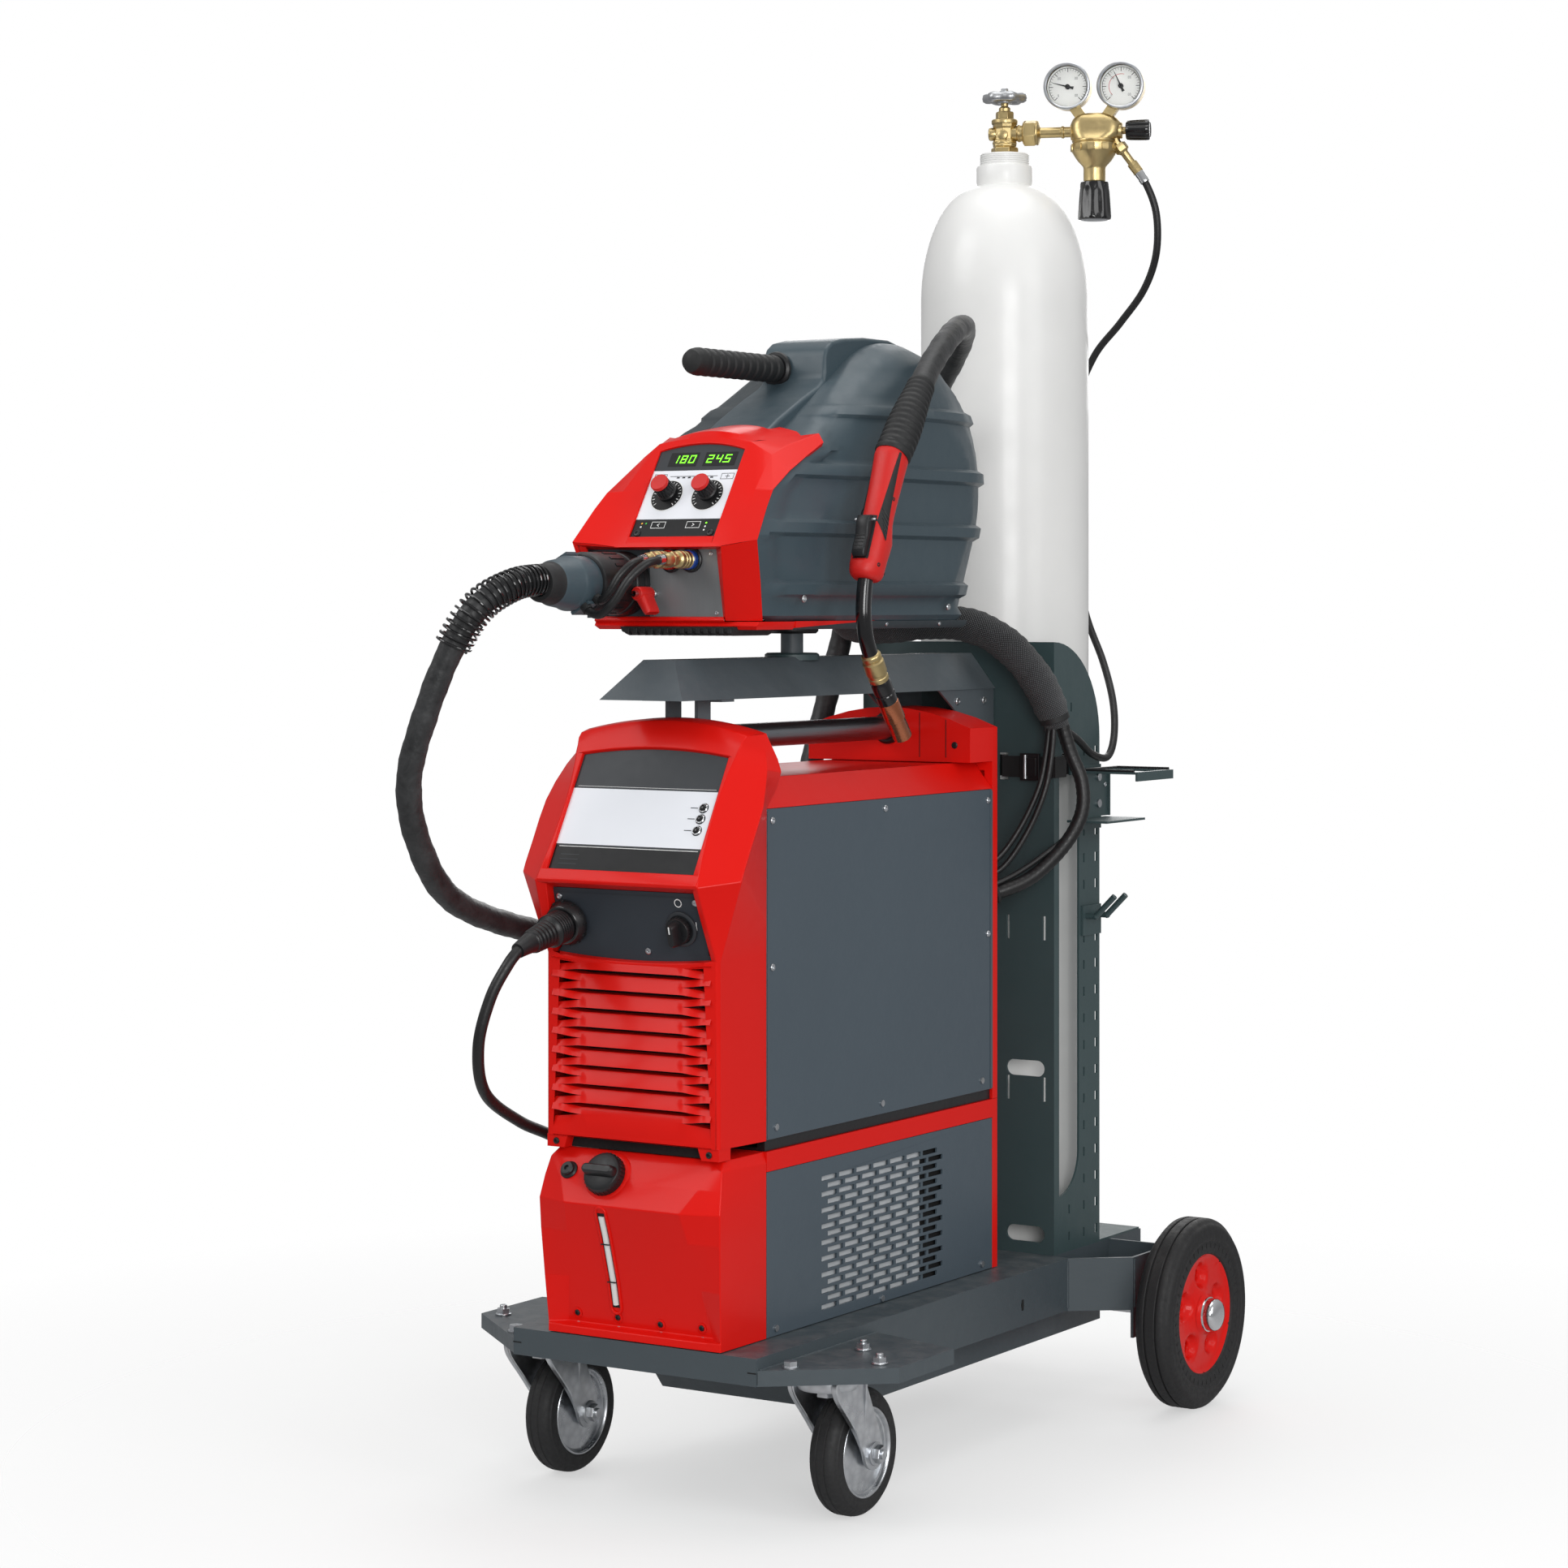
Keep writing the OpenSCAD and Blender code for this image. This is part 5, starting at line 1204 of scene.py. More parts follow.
for s in (1, -1):
    m = lambda p: (s * p[0], p[1], p[2])
    K = [m(p) for p in K_line] + [m((71, -311, 1262)), m((91, -252, 1269))]
    O = [m(O_line[1]), m(O_line[2]), m(O_line[3]), m(O_line[4]), m((115.5, -295, 1242)), m((117, -258, 1260))]
    mid = [((a[0] + b[0]) / 2 + s * 0.55 * h, (a[1] + b[1]) / 2, (a[2] + b[2]) / 2 + 0.83 * h) for a, b, h in zip(K, O, (0, 0, 0, 1.5, 5, 8))]
    g.grid([K, mid, O], red_shell)
    lips.grid([[K[5], mid[5], O[5]], [(K[5][0], K[5][1] + 2, K[5][2] - 24), (mid[5][0] - s * 6, mid[5][1] + 2, mid[5][2] - 24), (O[5][0] - s * 9, O[5][1] + 3, O[5][2] - 15)]], red_shell)
    # frame beside the panel and its lip
    P = [(s * 61,) + face(-9), (s * 61,) + face(22), (s * 61,) + face(66), (s * 61,) + face(124)]
    g.grid([P, K[:4]], red_shell)
    g.grid([P[:], [(p[0], p[1] + 0.8417 * 6, p[2] - 0.5405 * 6) for p in P]], red_shell)
    # outer lip over the covers
    O0 = [m(O_line[0])] + O
    back = [(12, 1)] * 5 + [(9, 5), (3, 15)]
    under = [(p[0] - s * 9, p[1] + b, p[2] - c) for p, (b, c) in zip(O0, back)]
    g.grid([O0[:5], under[:5]], red_shell)
    lips.grid([O0[4:], under[4:]], red_shell)
# strip under the panel, chin
a0, a1 = face(0), face(-9)
g.grid([[(x, a0[0] + 4, a0[1] - 3) for x in (-61, 0, 61)], [(x,) + a0 for x in (-61, 0, 61)], [(x,) + a1 for x in (-61, 0, 61)]], red_shell)
g.grid([[(-76, -419, 1134), (-61,) + a1, (0,) + a1, (61,) + a1, (76, -419, 1134)], [(-76, -419.5, 1133), (-61, -420, 1133), (0, -420, 1133), (61, -420, 1133), (76, -419.5, 1133)],
        [(-76, -404, 1130.5), (-61, -404, 1130.5), (0, -404, 1130.5), (61, -404, 1130.5), (76, -404, 1130.5)]], red_shell)
# pillars beside the connection panel
g.grid([[(57, -401, 1131), (76, -419.5, 1133.5), (132, -427, 1141)], [(62, -401, 1090), (74, -412, 1088), (125, -410, 1092)], [(67, -401, 1049), (72, -404, 1046), (117, -393, 1046)]], red_shell)
g.grid([[(-128, -401, 1131), (-131, -425, 1138), (-132, -427, 1141)], [(-122, -401, 1090), (-124.5, -409, 1092), (-125, -410, 1092)], [(-112, -401, 1049), (-116, -396, 1046), (-117, -393, 1046)]], red_shell)
g.grid([[(-131, -425, 1138), (-76, -419.5, 1133.5)], [(-128, -402, 1131), (-76, -402, 1131)]], red_shell)
g.grid([[(-132, -427, 1141), (-76, -419, 1134)], [(-131, -425, 1138), (-76, -419.5, 1133.2)]], red_shell)
# lower lip
g.grid([[(-113, -401, 1051), (67, -401, 1051)], [(-114, -405, 1050), (70, -405, 1050)], [(-115, -406, 1046), (72, -406, 1046)], [(-115, -398, 1041), (72, -398, 1041)]], red_shell)
g.obj("feeder_bezel", "feeder", "feeder_front", slot="red_plastic", bevel=2.0, seg=3, angle=20, weld=0.05)
lips.obj("bezel_lips", "feeder", slot="red_plastic", angle=50)

# two drum-shaped covers, bands standing proud of shallow fields
hull = bmesh.new()
pts = []
for s in (1, -1):
    for p in ((129, -424, 1141), (120.5, -390, 1180), (116, -370, 1200), (110.5, -324, 1222.5), (106.5, -287, 1235), (102, -250, 1245), (114.5, -390, 1046),
              (144, -300, 1165), (144, -300, 1085), (144, 20, 1165), (144, 20, 1085), (119, -250, 1046), (119, 70, 1046)):
        pts.append((s * p[0], p[1], p[2]))
    for r, x, cy, cz in ((183, 58, -5, 1213), (169, 88, -5, 1213), (147, 114, -6, 1212), (122, 132, -14, 1204), (98, 142.5, -24, 1195)):
        for k in range(72):
            a = 2 * pi * k / 72
            pts.append((s * x, cy + r * math.cos(a), cz + r * math.sin(a)))
for p in pts:
    hull.verts.new(p)
bmesh.ops.convex_hull(hull, input=hull.verts)
tree = BVHTree.FromBMesh(hull)
hull.free()
bands = [(1302, 5), (1226, 6), (1156, 6), (1083, 6)]
zs = set([1045.2, 1394.6])
for zc, h in bands:
    for d_ in (-h - 4.5, -h - 2.2, -h, h, h + 2.2, h + 4.5):
        zs.add(zc + d_)
z = 1052.0
while z < 1392:
    if all(abs(z - q) > 3.0 for q in zs):
        zs.add(z)
    z += 9
for q in (1386, 1390, 1393):
    zs.add(q)
zs = sorted(q for q in zs if 1045 <= q <= 1394.7)


def proud(y, z):
    """1 on the bands and borders, 0 in the fields."""
    b = 0.0
    for zc, h in bands:
        b = max(b, 1 - smooth01((abs(z - zc) - h) / 4.5))
    edge_y = o_at(z)[1] if z < 1251 else -260
    b = max(b, 1 - smooth01((y - edge_y - 20) / 7), 1 - smooth01((z - 1056) / 4.5), smooth01((z - 1352) / 14))
    return b


def cover_row(s, z, th0, inset=0.0):
    """One level of a cover, from angle th0 round to the rear."""
    cy = lerp(-80, -5, smooth01((z - 1150) / 120))
    if th0 is None:
        ox, oy = o_at(z)
        th0 = math.atan2(oy + 4 - cy, ox - 4)
    row = []
    for k in range(97):
        th = lerp(th0, pi / 2, k / 96)
        hit = tree.ray_cast(Vector((0, cy, z)), Vector((math.cos(th), math.sin(th), 0)))
        p, nrm = hit[0], hit[1]
        if p is None:
            p, nrm = Vector((0, cy, z)), Vector((0, 0, 1))
        nrm = nrm.copy()
        for dz, dt in ((-7, 0), (7, 0), (0, -0.07), (0, 0.07), (-4, 0.04), (4, -0.04), (-4, -0.04), (4, 0.04)):
            near = tree.ray_cast(Vector((0, cy, z + dz)), Vector((math.cos(th + dt), math.sin(th + dt), 0)))[1]
            if near is not None:
                nrm += near
        nrm.normalize()
        flat = Vector((nrm.x, nrm.y, 0))
        p = p - flat * (7.5 * (1 - proud(p.y, z)) * smooth01((abs(p.x) - 40) / 26) + inset)
        row.append((s * max(p.x, 0.3), p.y, p.z))
    return row


# the left cover takes the darker shell_dark where the right is grey: painted shade on the drum's far side
for s, name, node, mat in ((1, "cover_right", "feeder_cover_right", shell_grey), (-1, "cover_left", "feeder_cover_left", shell_dark)):
    low = [cover_row(s, z, None) for z in zs if z <= 1250.9] + [cover_row(s, 1251, None)]
    high = [cover_row(s, 1247, -pi / 2, 1.5), cover_row(s, 1250.6, -pi / 2, 0.4), cover_row(s, 1251, -pi / 2)] + [cover_row(s, z, -pi / 2) for z in zs if z > 1253]
    g = G()
    g.grid(low, mat)
    g.grid(high, mat)
    top = [(0.3 * s, -5, 1395.4)] * len(high[0])
    g.grid([high[-1], top], mat)
    g.grid([low[0], [(p[0] * 0.95, p[1] * 0.97, 1045.2) for p in low[0]]], mat)
    g.obj(name, "feeder", node, slot="grey_paint" if s > 0 else "dark_paint", angle=44, weld=0.05)

# tray, foot and socket for the post
g = G()
for a, b, c, d, mat in ((-399, -404, -320, -320, red_shell), (-320, -320, 86, 90, shell_dark)):
    g.loft([[(x, y, 1035.5) for x, y in ((-112, a), (112, a), (112, c), (-112, c))], [(x, y, 1040) for x, y in ((-116, b), (116, b), (116, d), (-116, d))],
            [(x, y, 1045) for x, y in ((-117, max(b, -400)), (117, max(b, -400)), (117, d), (-117, d))]], mat)
for s in (1, -1):
    # red lip that runs out along the side
    lip = [(s * 116.7, -321, 1037.5), (s * 117.9, -321, 1045.4), (s * 117.9, -138, 1045.4)]
    g.add(lip + [(p[0] - s * 3, p[1], p[2]) for p in lip], [[0, 1, 2], [3, 5, 4], [0, 2, 5, 3], [1, 0, 3, 4], [2, 1, 4, 5]], red_shell)
    for y in (-110, 20):
        g.screw((s * 116.4, y, 1041), (s, 0, -0.2), 2.6, zinc, 1.6)
g.lathe([(33, 0), (33, -4), (30, -7), (26, -7)], black_plastic, at((0, -144, 1036)), 40)
g.obj("feeder_tray", "feeder", "feeder_base", slot="red_plastic", bevel=1.4, seg=3)
g = G()
g.loft([[(x, y, 1039) for x, y in ((-74, -411), (88, -411), (88, -320), (-74, -320))], [(x, y, 1033) for x, y in ((-72, -410), (86, -410), (86, -322), (-72, -322))],
        [(x, y, 1029.5) for x, y in ((-66, -404), (80, -404), (80, -328), (-66, -328))]], rubber)
for k in range(14):
    x = -66 + 11.2 * k
    g.loft([[(x + a, y, zz) for a, y in ((0, -412.5), (6, -412.5), (6, -324), (0, -324))] for zz in (1037, 1031)] + [[(x + a, y, 1028.4) for a, y in ((1.5, -405), (4.5, -405), (4.5, -330), (1.5, -330))]], rubber)
g.obj("feeder_foot", "feeder", slot="tyre", bevel=0.7)

# control panel
g = G()
MFP = on_panel((0,) + face(0, -2.6), (0, -0.8417, 0.5405), (0, 0.5405, 0.8417))
fx = [62 * k / 10 for k in range(-10, 11)]
rows = [[(x,) + face(s, -2.6) for x in fx] for s in (-3, 25, 26.2, 96)]
rows.append([(x,) + face(136.5 - 10 * (x / 62) ** 2, -2.6) for x in fx])
g.grid(rows, lambda i, k: (black_film, dark_film, white_film, dark_film)[i])
# display
quad(g, -44, -3, 102, 122, black_film, MFP, 0.2)
quad(g, 6, 52, 102, 122, black_film, MFP, 0.2)


def digit(x, y, w, h, on, M):
    t = 1.5
    segs = {"a": (0, w, h - t, h), "g": (0, w, h / 2 - t / 2, h / 2 + t / 2), "d": (0, w, 0, t),
            "f": (0, t, h / 2 + 0.3, h - 0.3), "b": (w - t, w, h / 2 + 0.3, h - 0.3), "e": (0, t, 0.3, h / 2 - 0.3), "c": (w - t, w, 0.3, h / 2 - 0.3)}
    for k in on:
        a, b, c, e = segs[k]
        sl = 0.14
        g.add([(x + a + c * sl, y + c, 0.45), (x + b + c * sl, y + c, 0.45), (x + b + e * sl, y + e, 0.45), (x + a + e * sl, y + e, 0.45)], [[0, 1, 2, 3]], lit_green, M)


FONT = {"0": "abcdef", "1": "bc", "2": "abged", "4": "fgbc", "5": "afgcd", "6": "afgedc", "8": "abcdefg", "9": "abcdfg"}
for i, ch in enumerate("180"):
    digit(-40 + 12 * i, 106.5, 8.2, 11.5, FONT[ch], MFP)
for i, ch in enumerate("245"):
    digit(10 + 12.4 * i, 106.5, 8.2, 11.5, FONT[ch], MFP)
quad(g, 33.6, 35.2, 106.5, 108, lit_green, MFP, 0.45)
# bar line, keys
quad(g, -34, 34, 87.2, 87.9, dark_film, MFP)
for k in range(7):
    quad(g, -24 + 8 * k, -20 + 8 * k, 84.6, 86.6, dark_film, MFP)
outline(g, -57, -39, 82.5, 91, 0.6, dark_film, MFP)
outline(g, 39, 57, 82.5, 91, 0.6, dark_film, MFP)
quad(g, -51, -45, 86.4, 87.2, dark_film, MFP)
quad(g, 45, 51, 86.4, 87.2, dark_film, MFP)
quad(g, 47.6, 48.4, 83.8, 89.8, dark_film, MFP)
outline(g, -36, -16, 13, 22.4, 0.7, white_print, MFP)
outline(g, 14, 34, 13, 22.4, 0.7, white_print, MFP)
g.add([(-28, 17.7, 0.3), (-24.4, 20.2, 0.3), (-24.4, 19.2, 0.3), (-26.4, 17.7, 0.3), (-24.4, 16.2, 0.3), (-24.4, 15.2, 0.3)], [[0, 1, 2, 3, 4, 5]], white_print, MFP)
g.add([(26, 17.7, 0.3), (22.4, 20.2, 0.3), (22.4, 19.2, 0.3), (24.4, 17.7, 0.3), (22.4, 16.2, 0.3), (22.4, 15.2, 0.3)], [[0, 1, 2, 3, 4, 5]], white_print, MFP)
for x, y, m in ((-50, 20, lamp_amber), (-50, 15, white_print), (-44, 20, lamp_green), (42, 20, lit_green), (42, 15, white_print), (42, 10, white_print)):
    disc(g, x, y, 1.2, m, MFP, 0.4, 12)
for x in (-52, 52):
    for y in (6,):
        g.lathe([(4.6, 0.2), (4.6, 1.2), (3.6, 1.8), (2.0, 1.8), (1.8, 0.8), (0, 0.8)], black_plastic, MFP @ Matrix.Translation((x, y, 0)), 20)
for x in (-29, 29):
    MD = MFP @ Matrix.Translation((x, 60, 0))
    disc(g, 0, 0, 22.4, white_print, MD, 0.25, 48)
    disc(g, 0, 0, 21.2, black_film, MD, 0.45, 48)
    for k in range(21):
        a = math.radians(225 - 13.5 * k)
        L = 3.6 if k % 2 == 0 else 2.0
        w = 0.45 if k % 2 == 0 else 0.3
        MT = MD @ Matrix.Rotation(a, 4, "Z")
        quad(g, 19.6 - L, 19.6, -w, w, white_print, MT, 0.6)
g.obj("feeder_film", "feeder", "feeder_panel", slot="panel_film", angle=60)
for x, name in ((-29, "left"), (29, "right")):
    g = G()
    MK = on_panel((x,) + face(64, 0), (0, -0.8417, 0.5405), (0, 0.5405, 0.8417))
    g.lathe([(12.6, -1.6), (12.6, 0.6), (11.6, 1.6), (10.9, 3), (10.3, 15.5), (10.9, 16.4, red_soft), (11.3, 17.2), (11.3, 20.4), (10.6, 21.3), (0, 21.6)], black_plastic, MK, 48)
    for k in range(18):
        g.box((10.2, 11.3), (-0.55, 0.55), (3, 15.4), black_plastic, MK @ Matrix.Rotation(2 * pi * k / 18, 4, "Z"))
    g.box((-0.7, 0.7), (3.2, 12.4), (0.4, 2.2), white_print, MK)
    g.obj("feed_dial_" + name, "feed_knob_" + name, "feed_knob_" + name, slot="red_plastic", angle=40)

# connection panel, flange and couplings
g = G()
g.box((-129, -38), (-401, -396), (1049, 1132), shell_dark)
g.box((-37.4, 68), (-401.4, -396), (1049, 1132), brushed_plate)
for x, z in ((-124, 1126), (-118, 1054), (-30, 1055), (58, 1055), (50, 1125)):
    g.screw((x, -401.2, z), (0, -1, 0), 2.8, zinc, 1.4)
for x in (-6, 23):
    g.lathe([(15, 0), (15, 3), (13.4, 4.2), (12.6, 4.2)], black_plastic, at((x, -401, 1118), (0, -1, 0)), 32)
g.obj("connection_panel", "feeder", slot="grey_paint", bevel=0.4)
g = G()
for x, ring, y1 in ((-6, red_soft, -458), (23, blue_ring, -462)):
    Mc = at((x, -402, 1118), (0, -1, 0))
    L = -402 - y1
    g.lathe([(11.6, 3, ring), (11.6, 9), (10.4, 10, brass), (9.4, 11), (9.4, 14), (10.4, 15), (10.4, 17), (9.4, 18), (9.4, 19.5), (10.4, 20.5), (10.4, 22.5), (9.4, 23.5), (9.4, 25), (10.4, 26),
             (10.4, 31), (9.2, 32.5), (7.2, 33.5), (7.2, 38), (8.2, 39), (8.2, L - 6), (7.2, L - 4), (6.4, L)], ring, Mc, 40)
    g.hexa((x, -402 - 39.5, 1118), (0, -1, 0), 17, 7, brass)
g.obj("water_fittings", "feeder", slot="brass", angle=30)

# torch connector: flange, round body, plug with its cone
g = G()
Mc = at((-75, -401.5, 1090), (0, -1, 0))
g.lathe([(38.6, 0), (38.6, 5), (37, 8), (37.4, 9), (37.4, 22), (36.4, 23.5), (35.4, 24), (35.4, 27), (37.2, 28), (37.2, 84), (35.6, 87.6), (33, 88.4), (32, 88.4, shell_grey), (32.4, 90), (32.6, 116),
         (31.4, 119), (30.4, 121), (27, 146), (25.4, 150, black_soft), (24.6, 152), (23.4, 158), (22.4, 168), (20.6, 172), (16, 172.4)], black_plastic, Mc, 64)
for k in range(20):
    g.box((36.6, 38.3), (-2.0, 2.0), (34, 60), black_plastic, Mc @ Matrix.Rotation(2 * pi * k / 20, 4, "Z"))
for k in range(4):
    a = pi / 4 + k * pi / 2
    g.screw((-75 + 33.6 * math.cos(a), -409.4, 1090 + 33.6 * math.sin(a)), (0, -1, 0), 2.6, zinc, 1.4)
for k in range(2):
    g.box((-14, 14), (30.5, 34.6), (92, 112), shell_grey, Mc @ Matrix.Rotation(pi * k + 0.5, 4, "Z"))
g.lathe([(4.4, 0), (4.4, 3), (3.5, 4), (3.5, 44)], zinc, at((-30, -402, 1078), (0, -1, 0)), 20)
g.obj("torch_socket", "feeder", "torch_connector", slot="black_plastic", angle=36, bevel=0.3)
g = G()
Ml = at((-30, -413, 1078), (0, -1, 0))
g.lathe([(3.6, 0), (8, 0), (8.4, 1), (8.4, 25.4), (7.4, 27), (3.6, 27)], red_soft, Ml, 32)
rings = []
for t, w in ((0, 7.6), (0.35, 6.6), (0.7, 5.8), (0.95, 5.4), (1.06, 3.6)):
    c = Vector((lerp(-30, -17, t), 0, lerp(1078, 1056, t)))
    side = Vector((22, 0, 13)).normalized()
    rings.append([tuple(c + side * a + Vector((0, -413 - b, 0))) for a, b in round_rect(2 * w, 25, min(w - 0.4, 5), 4, 0, 13.5)])
g.loft(rings, red_soft, True)
g.obj("locking_lever", "lock_lever", "lock_lever", slot="red_plastic", angle=40, bevel=0.5)

# arm and grip
g = G()
prof = [(-306, 1258), (-250, 1291), (-196, 1318), (-160, 1334), (-149, 1342), (-146, 1352), (-146, 1372), (-140, 1384), (-128, 1391.5), (-100, 1397), (-50, 1401), (10, 1401), (56, 1392), (62, 1384), (62, 1366),
        (-60, 1340), (-200, 1270), (-290, 1240)]
g.prism([(y, z) for y, z in prof], -42, 50, shell_grey, Matrix(((0, 0, 1, 0), (1, 0, 0, 0), (0, 1, 0, 0), (0, 0, 0, 1))))
g.obj("feeder_arm", "feeder", "feeder_handle", slot="grey_paint", bevel=7, seg=4, angle=28)
g = G()
# shallow field on the arm's slope
for x0, x1, s0, s1, m in ((-26, 34, 0.12, 0.80, shell_dark),):
    A, B_ = Vector((0, -306, 1258)), Vector((0, -160, 1334))
    q = [A.lerp(B_, s0), A.lerp(B_, s1)]
    nn = Vector((0, -(B_ - A).z, (B_ - A).y)).normalized()
    rings = []
    for off, ins in ((-2, 0), (0.8, 0), (1.6, 1.2)):
        rings.append([tuple(Vector((x, 0, 0)) + c + nn * off) for x, c in ((x0 + ins, q[0]), (x1 - ins, q[0]), (x1 - 8 - ins, q[1]), (x0 + 8 + ins, q[1]))])
    g.loft(rings, m, True)
g.obj("arm_field", "feeder", slot="dark_paint", bevel=0.6)
g = G()
prof = [(0, -12), (12, -12), (16.6, -8), (17.4, 0)]
for k in range(11):
    z0 = 6 + 16.2 * k
    prof += [(15.2, z0), (15.2, z0 + 3.4), (16.9, z0 + 5.2), (17.3, z0 + 9), (16.9, z0 + 14)]
prof += [(15.8, 184), (15.8, 188), (13.4, 193), (8, 195.6), (0, 196.4)]
g.lathe(prof, black_soft, at((-20, -146, 1358), (0, -1, 0)), 48)
g.lathe([(17, 0), (21, 0), (22, 2), (21, 5), (18, 7), (15, 7)], black_plastic, at((-20, -147, 1358), (0, -1, 0)), 48)
g.obj("feeder_grip", "feeder", slot="black_plastic", angle=30)
cad("drive_unit", alloy, 0.6)
cad("wire_spool", spool_plastic, 0.6)
g = G()
for s in (1, -1):
    # latch and screws on the covers' outer side
    for y, z in ((-330, 1072), (-180, 1062), (20, 1062)):
        x = tree.ray_cast(Vector((0, y, z)), Vector((s, 0, 0)))[0].x
        g.screw((x, y, z), (s, 0, 0), 4.4, zinc, 2.2)
    hit = tree.ray_cast(Vector((0, -150, 1226)), Vector((s, 0, 0)))[0]
    g.box(sorted((hit.x - s * 2, hit.x + s * 3.4)), (-168, -132), (1217, 1235), black_plastic)
    g.box(sorted((hit.x + s * 2, hit.x + s * 5)), (-160, -140), (1223, 1229), black_soft)
g.obj("cover_hardware", "feeder", slot="zinc", bevel=0.8)

# ------------------------------------------------------------------ wheels
def rim_height(r, d):
    z = float(np.interp(r, [26, 30, 40, 52, 64, 70, 74, 77, 79], [20.5, 18.5, 15.5, 14, 14.5, 14.8, 15.6, 18.2, 19.5]))
    return z - 9.5 * (1 - smooth01((d - 10.5) / 9))


def sector_edge(c, phi):
    """Distance from the hole's middle to the edge of its 72 degree field."""
    dx, dy = math.cos(phi), math.sin(phi)
    best = 1e9
    for r in (79.0, 27.0):
        b, q = c * dx, c * c - r * r
        disc_ = b * b - q
        if disc_ >= 0:
            for t in (-b - math.sqrt(disc_), -b + math.sqrt(disc_)):
                if t > 0.01:
                    best = min(best, t)
    for s in (1, -1):
        nx, ny = -math.sin(s * pi / 5), math.cos(s * pi / 5)
        den = dx * nx + dy * ny
        if abs(den) > 1e-6:
            t = -(c * nx) / den
            if t > 0.01:
                best = min(best, t)
    return best


for s, name in ((1, "right"), (-1, "left")):
    Mw = at((s * 284, 399, 125), (s, 0, 0))
    g = G()
    half = [(78, 18.6), (79.5, 21.4), (83, 23), (95, 22.6), (97, 24.2), (100, 25), (103, 24.6), (105, 24.0), (111, 25.4), (115.5, 24), (118, 21.6), (118.8, 20.4), (121.4, 19), (123.8, 16.6), (125, 12.8),
            (125, 10), (124.4, 9.2), (122.6, 8.8), (122.6, 7.2), (124.4, 6.8), (125, 6)]
    prof = half + [(r, -z) for r, z in reversed(half)]
    g.lathe(prof, rubber, Mw, 128)
    for k in range(44):
        # moulding ribs at the foot of the sidewall
        M = Mw @ Matrix.Rotation(2 * pi * k / 44, 4, "Z")
        g.loft([[(87, -1.1, z), (93, -1.1, z), (93, 1.1, z), (87, 1.1, z)] for z in (22.2, 23.3)], rubber, True, M)
    g.obj("tyre_" + name, "rear_wheel_" + name, "rear_wheel_" + name, slot="tyre", angle=34)
    g = G()
    nphi = 72
    for k in range(5):
        M = Mw @ Matrix.Rotation(2 * pi * k / 5 + 0.3, 4, "Z")
        rows = []
        for t in (-0.2, -0.05, 0.0, 0.05, 0.12, 0.2, 0.28, 0.36, 0.45, 0.56, 0.68, 0.8, 0.9, 1.0):
            row = []
            for j in range(nphi + 1):
                phi = 2 * pi * j / nphi
                R = sector_edge(50, phi)
                d = 8.0 if t <= 0 else lerp(8.0, R, t)
                if t == -0.05:
                    d = 7.6
                x, y = 50 + d * math.cos(phi), d * math.sin(phi)
                z = rim_height(math.hypot(x, y), d) + (0 if t >= 0 else (-0.6 if t == -0.05 else -6))
                row.append((x, y, z))
            rows.append(row)
        g.grid(rows, red_paint, M)
    g.lathe([(79, 19.4), (80, 19.9), (80.4, 19.0), (79.4, 17.4)], red_paint, Mw, 96)
    g.lathe([(27.4, 20.3), (25.5, 21.2), (24, 24), (22.4, 25.6), (21.4, 25.8)], red_paint, Mw, 64)
    g.lathe([(79.4, -18), (78, -20), (76, -19), (72, -9), (64, -3.5), (46, -5), (30, -8), (25, -12), (24.4, -25.6), (22, -26), (10.6, -26), (10.4, -20)], red_paint, Mw, 96)
    g.obj("rim_" + name, "rear_wheel_" + name, slot="red_plastic", angle=40, weld=0.02)
    g = G()
    g.lathe([(22.4, 24.4), (23.2, 25.2), (22.8, 26.6), (21.6, 27.2), (21.4, 34), (20.6, 37), (18, 40), (13, 41.6), (6, 42), (0, 42)], chrome, Mw, 64)
    g.obj("hub_cap_" + name, "rear_wheel_" + name, slot="zinc", angle=40)

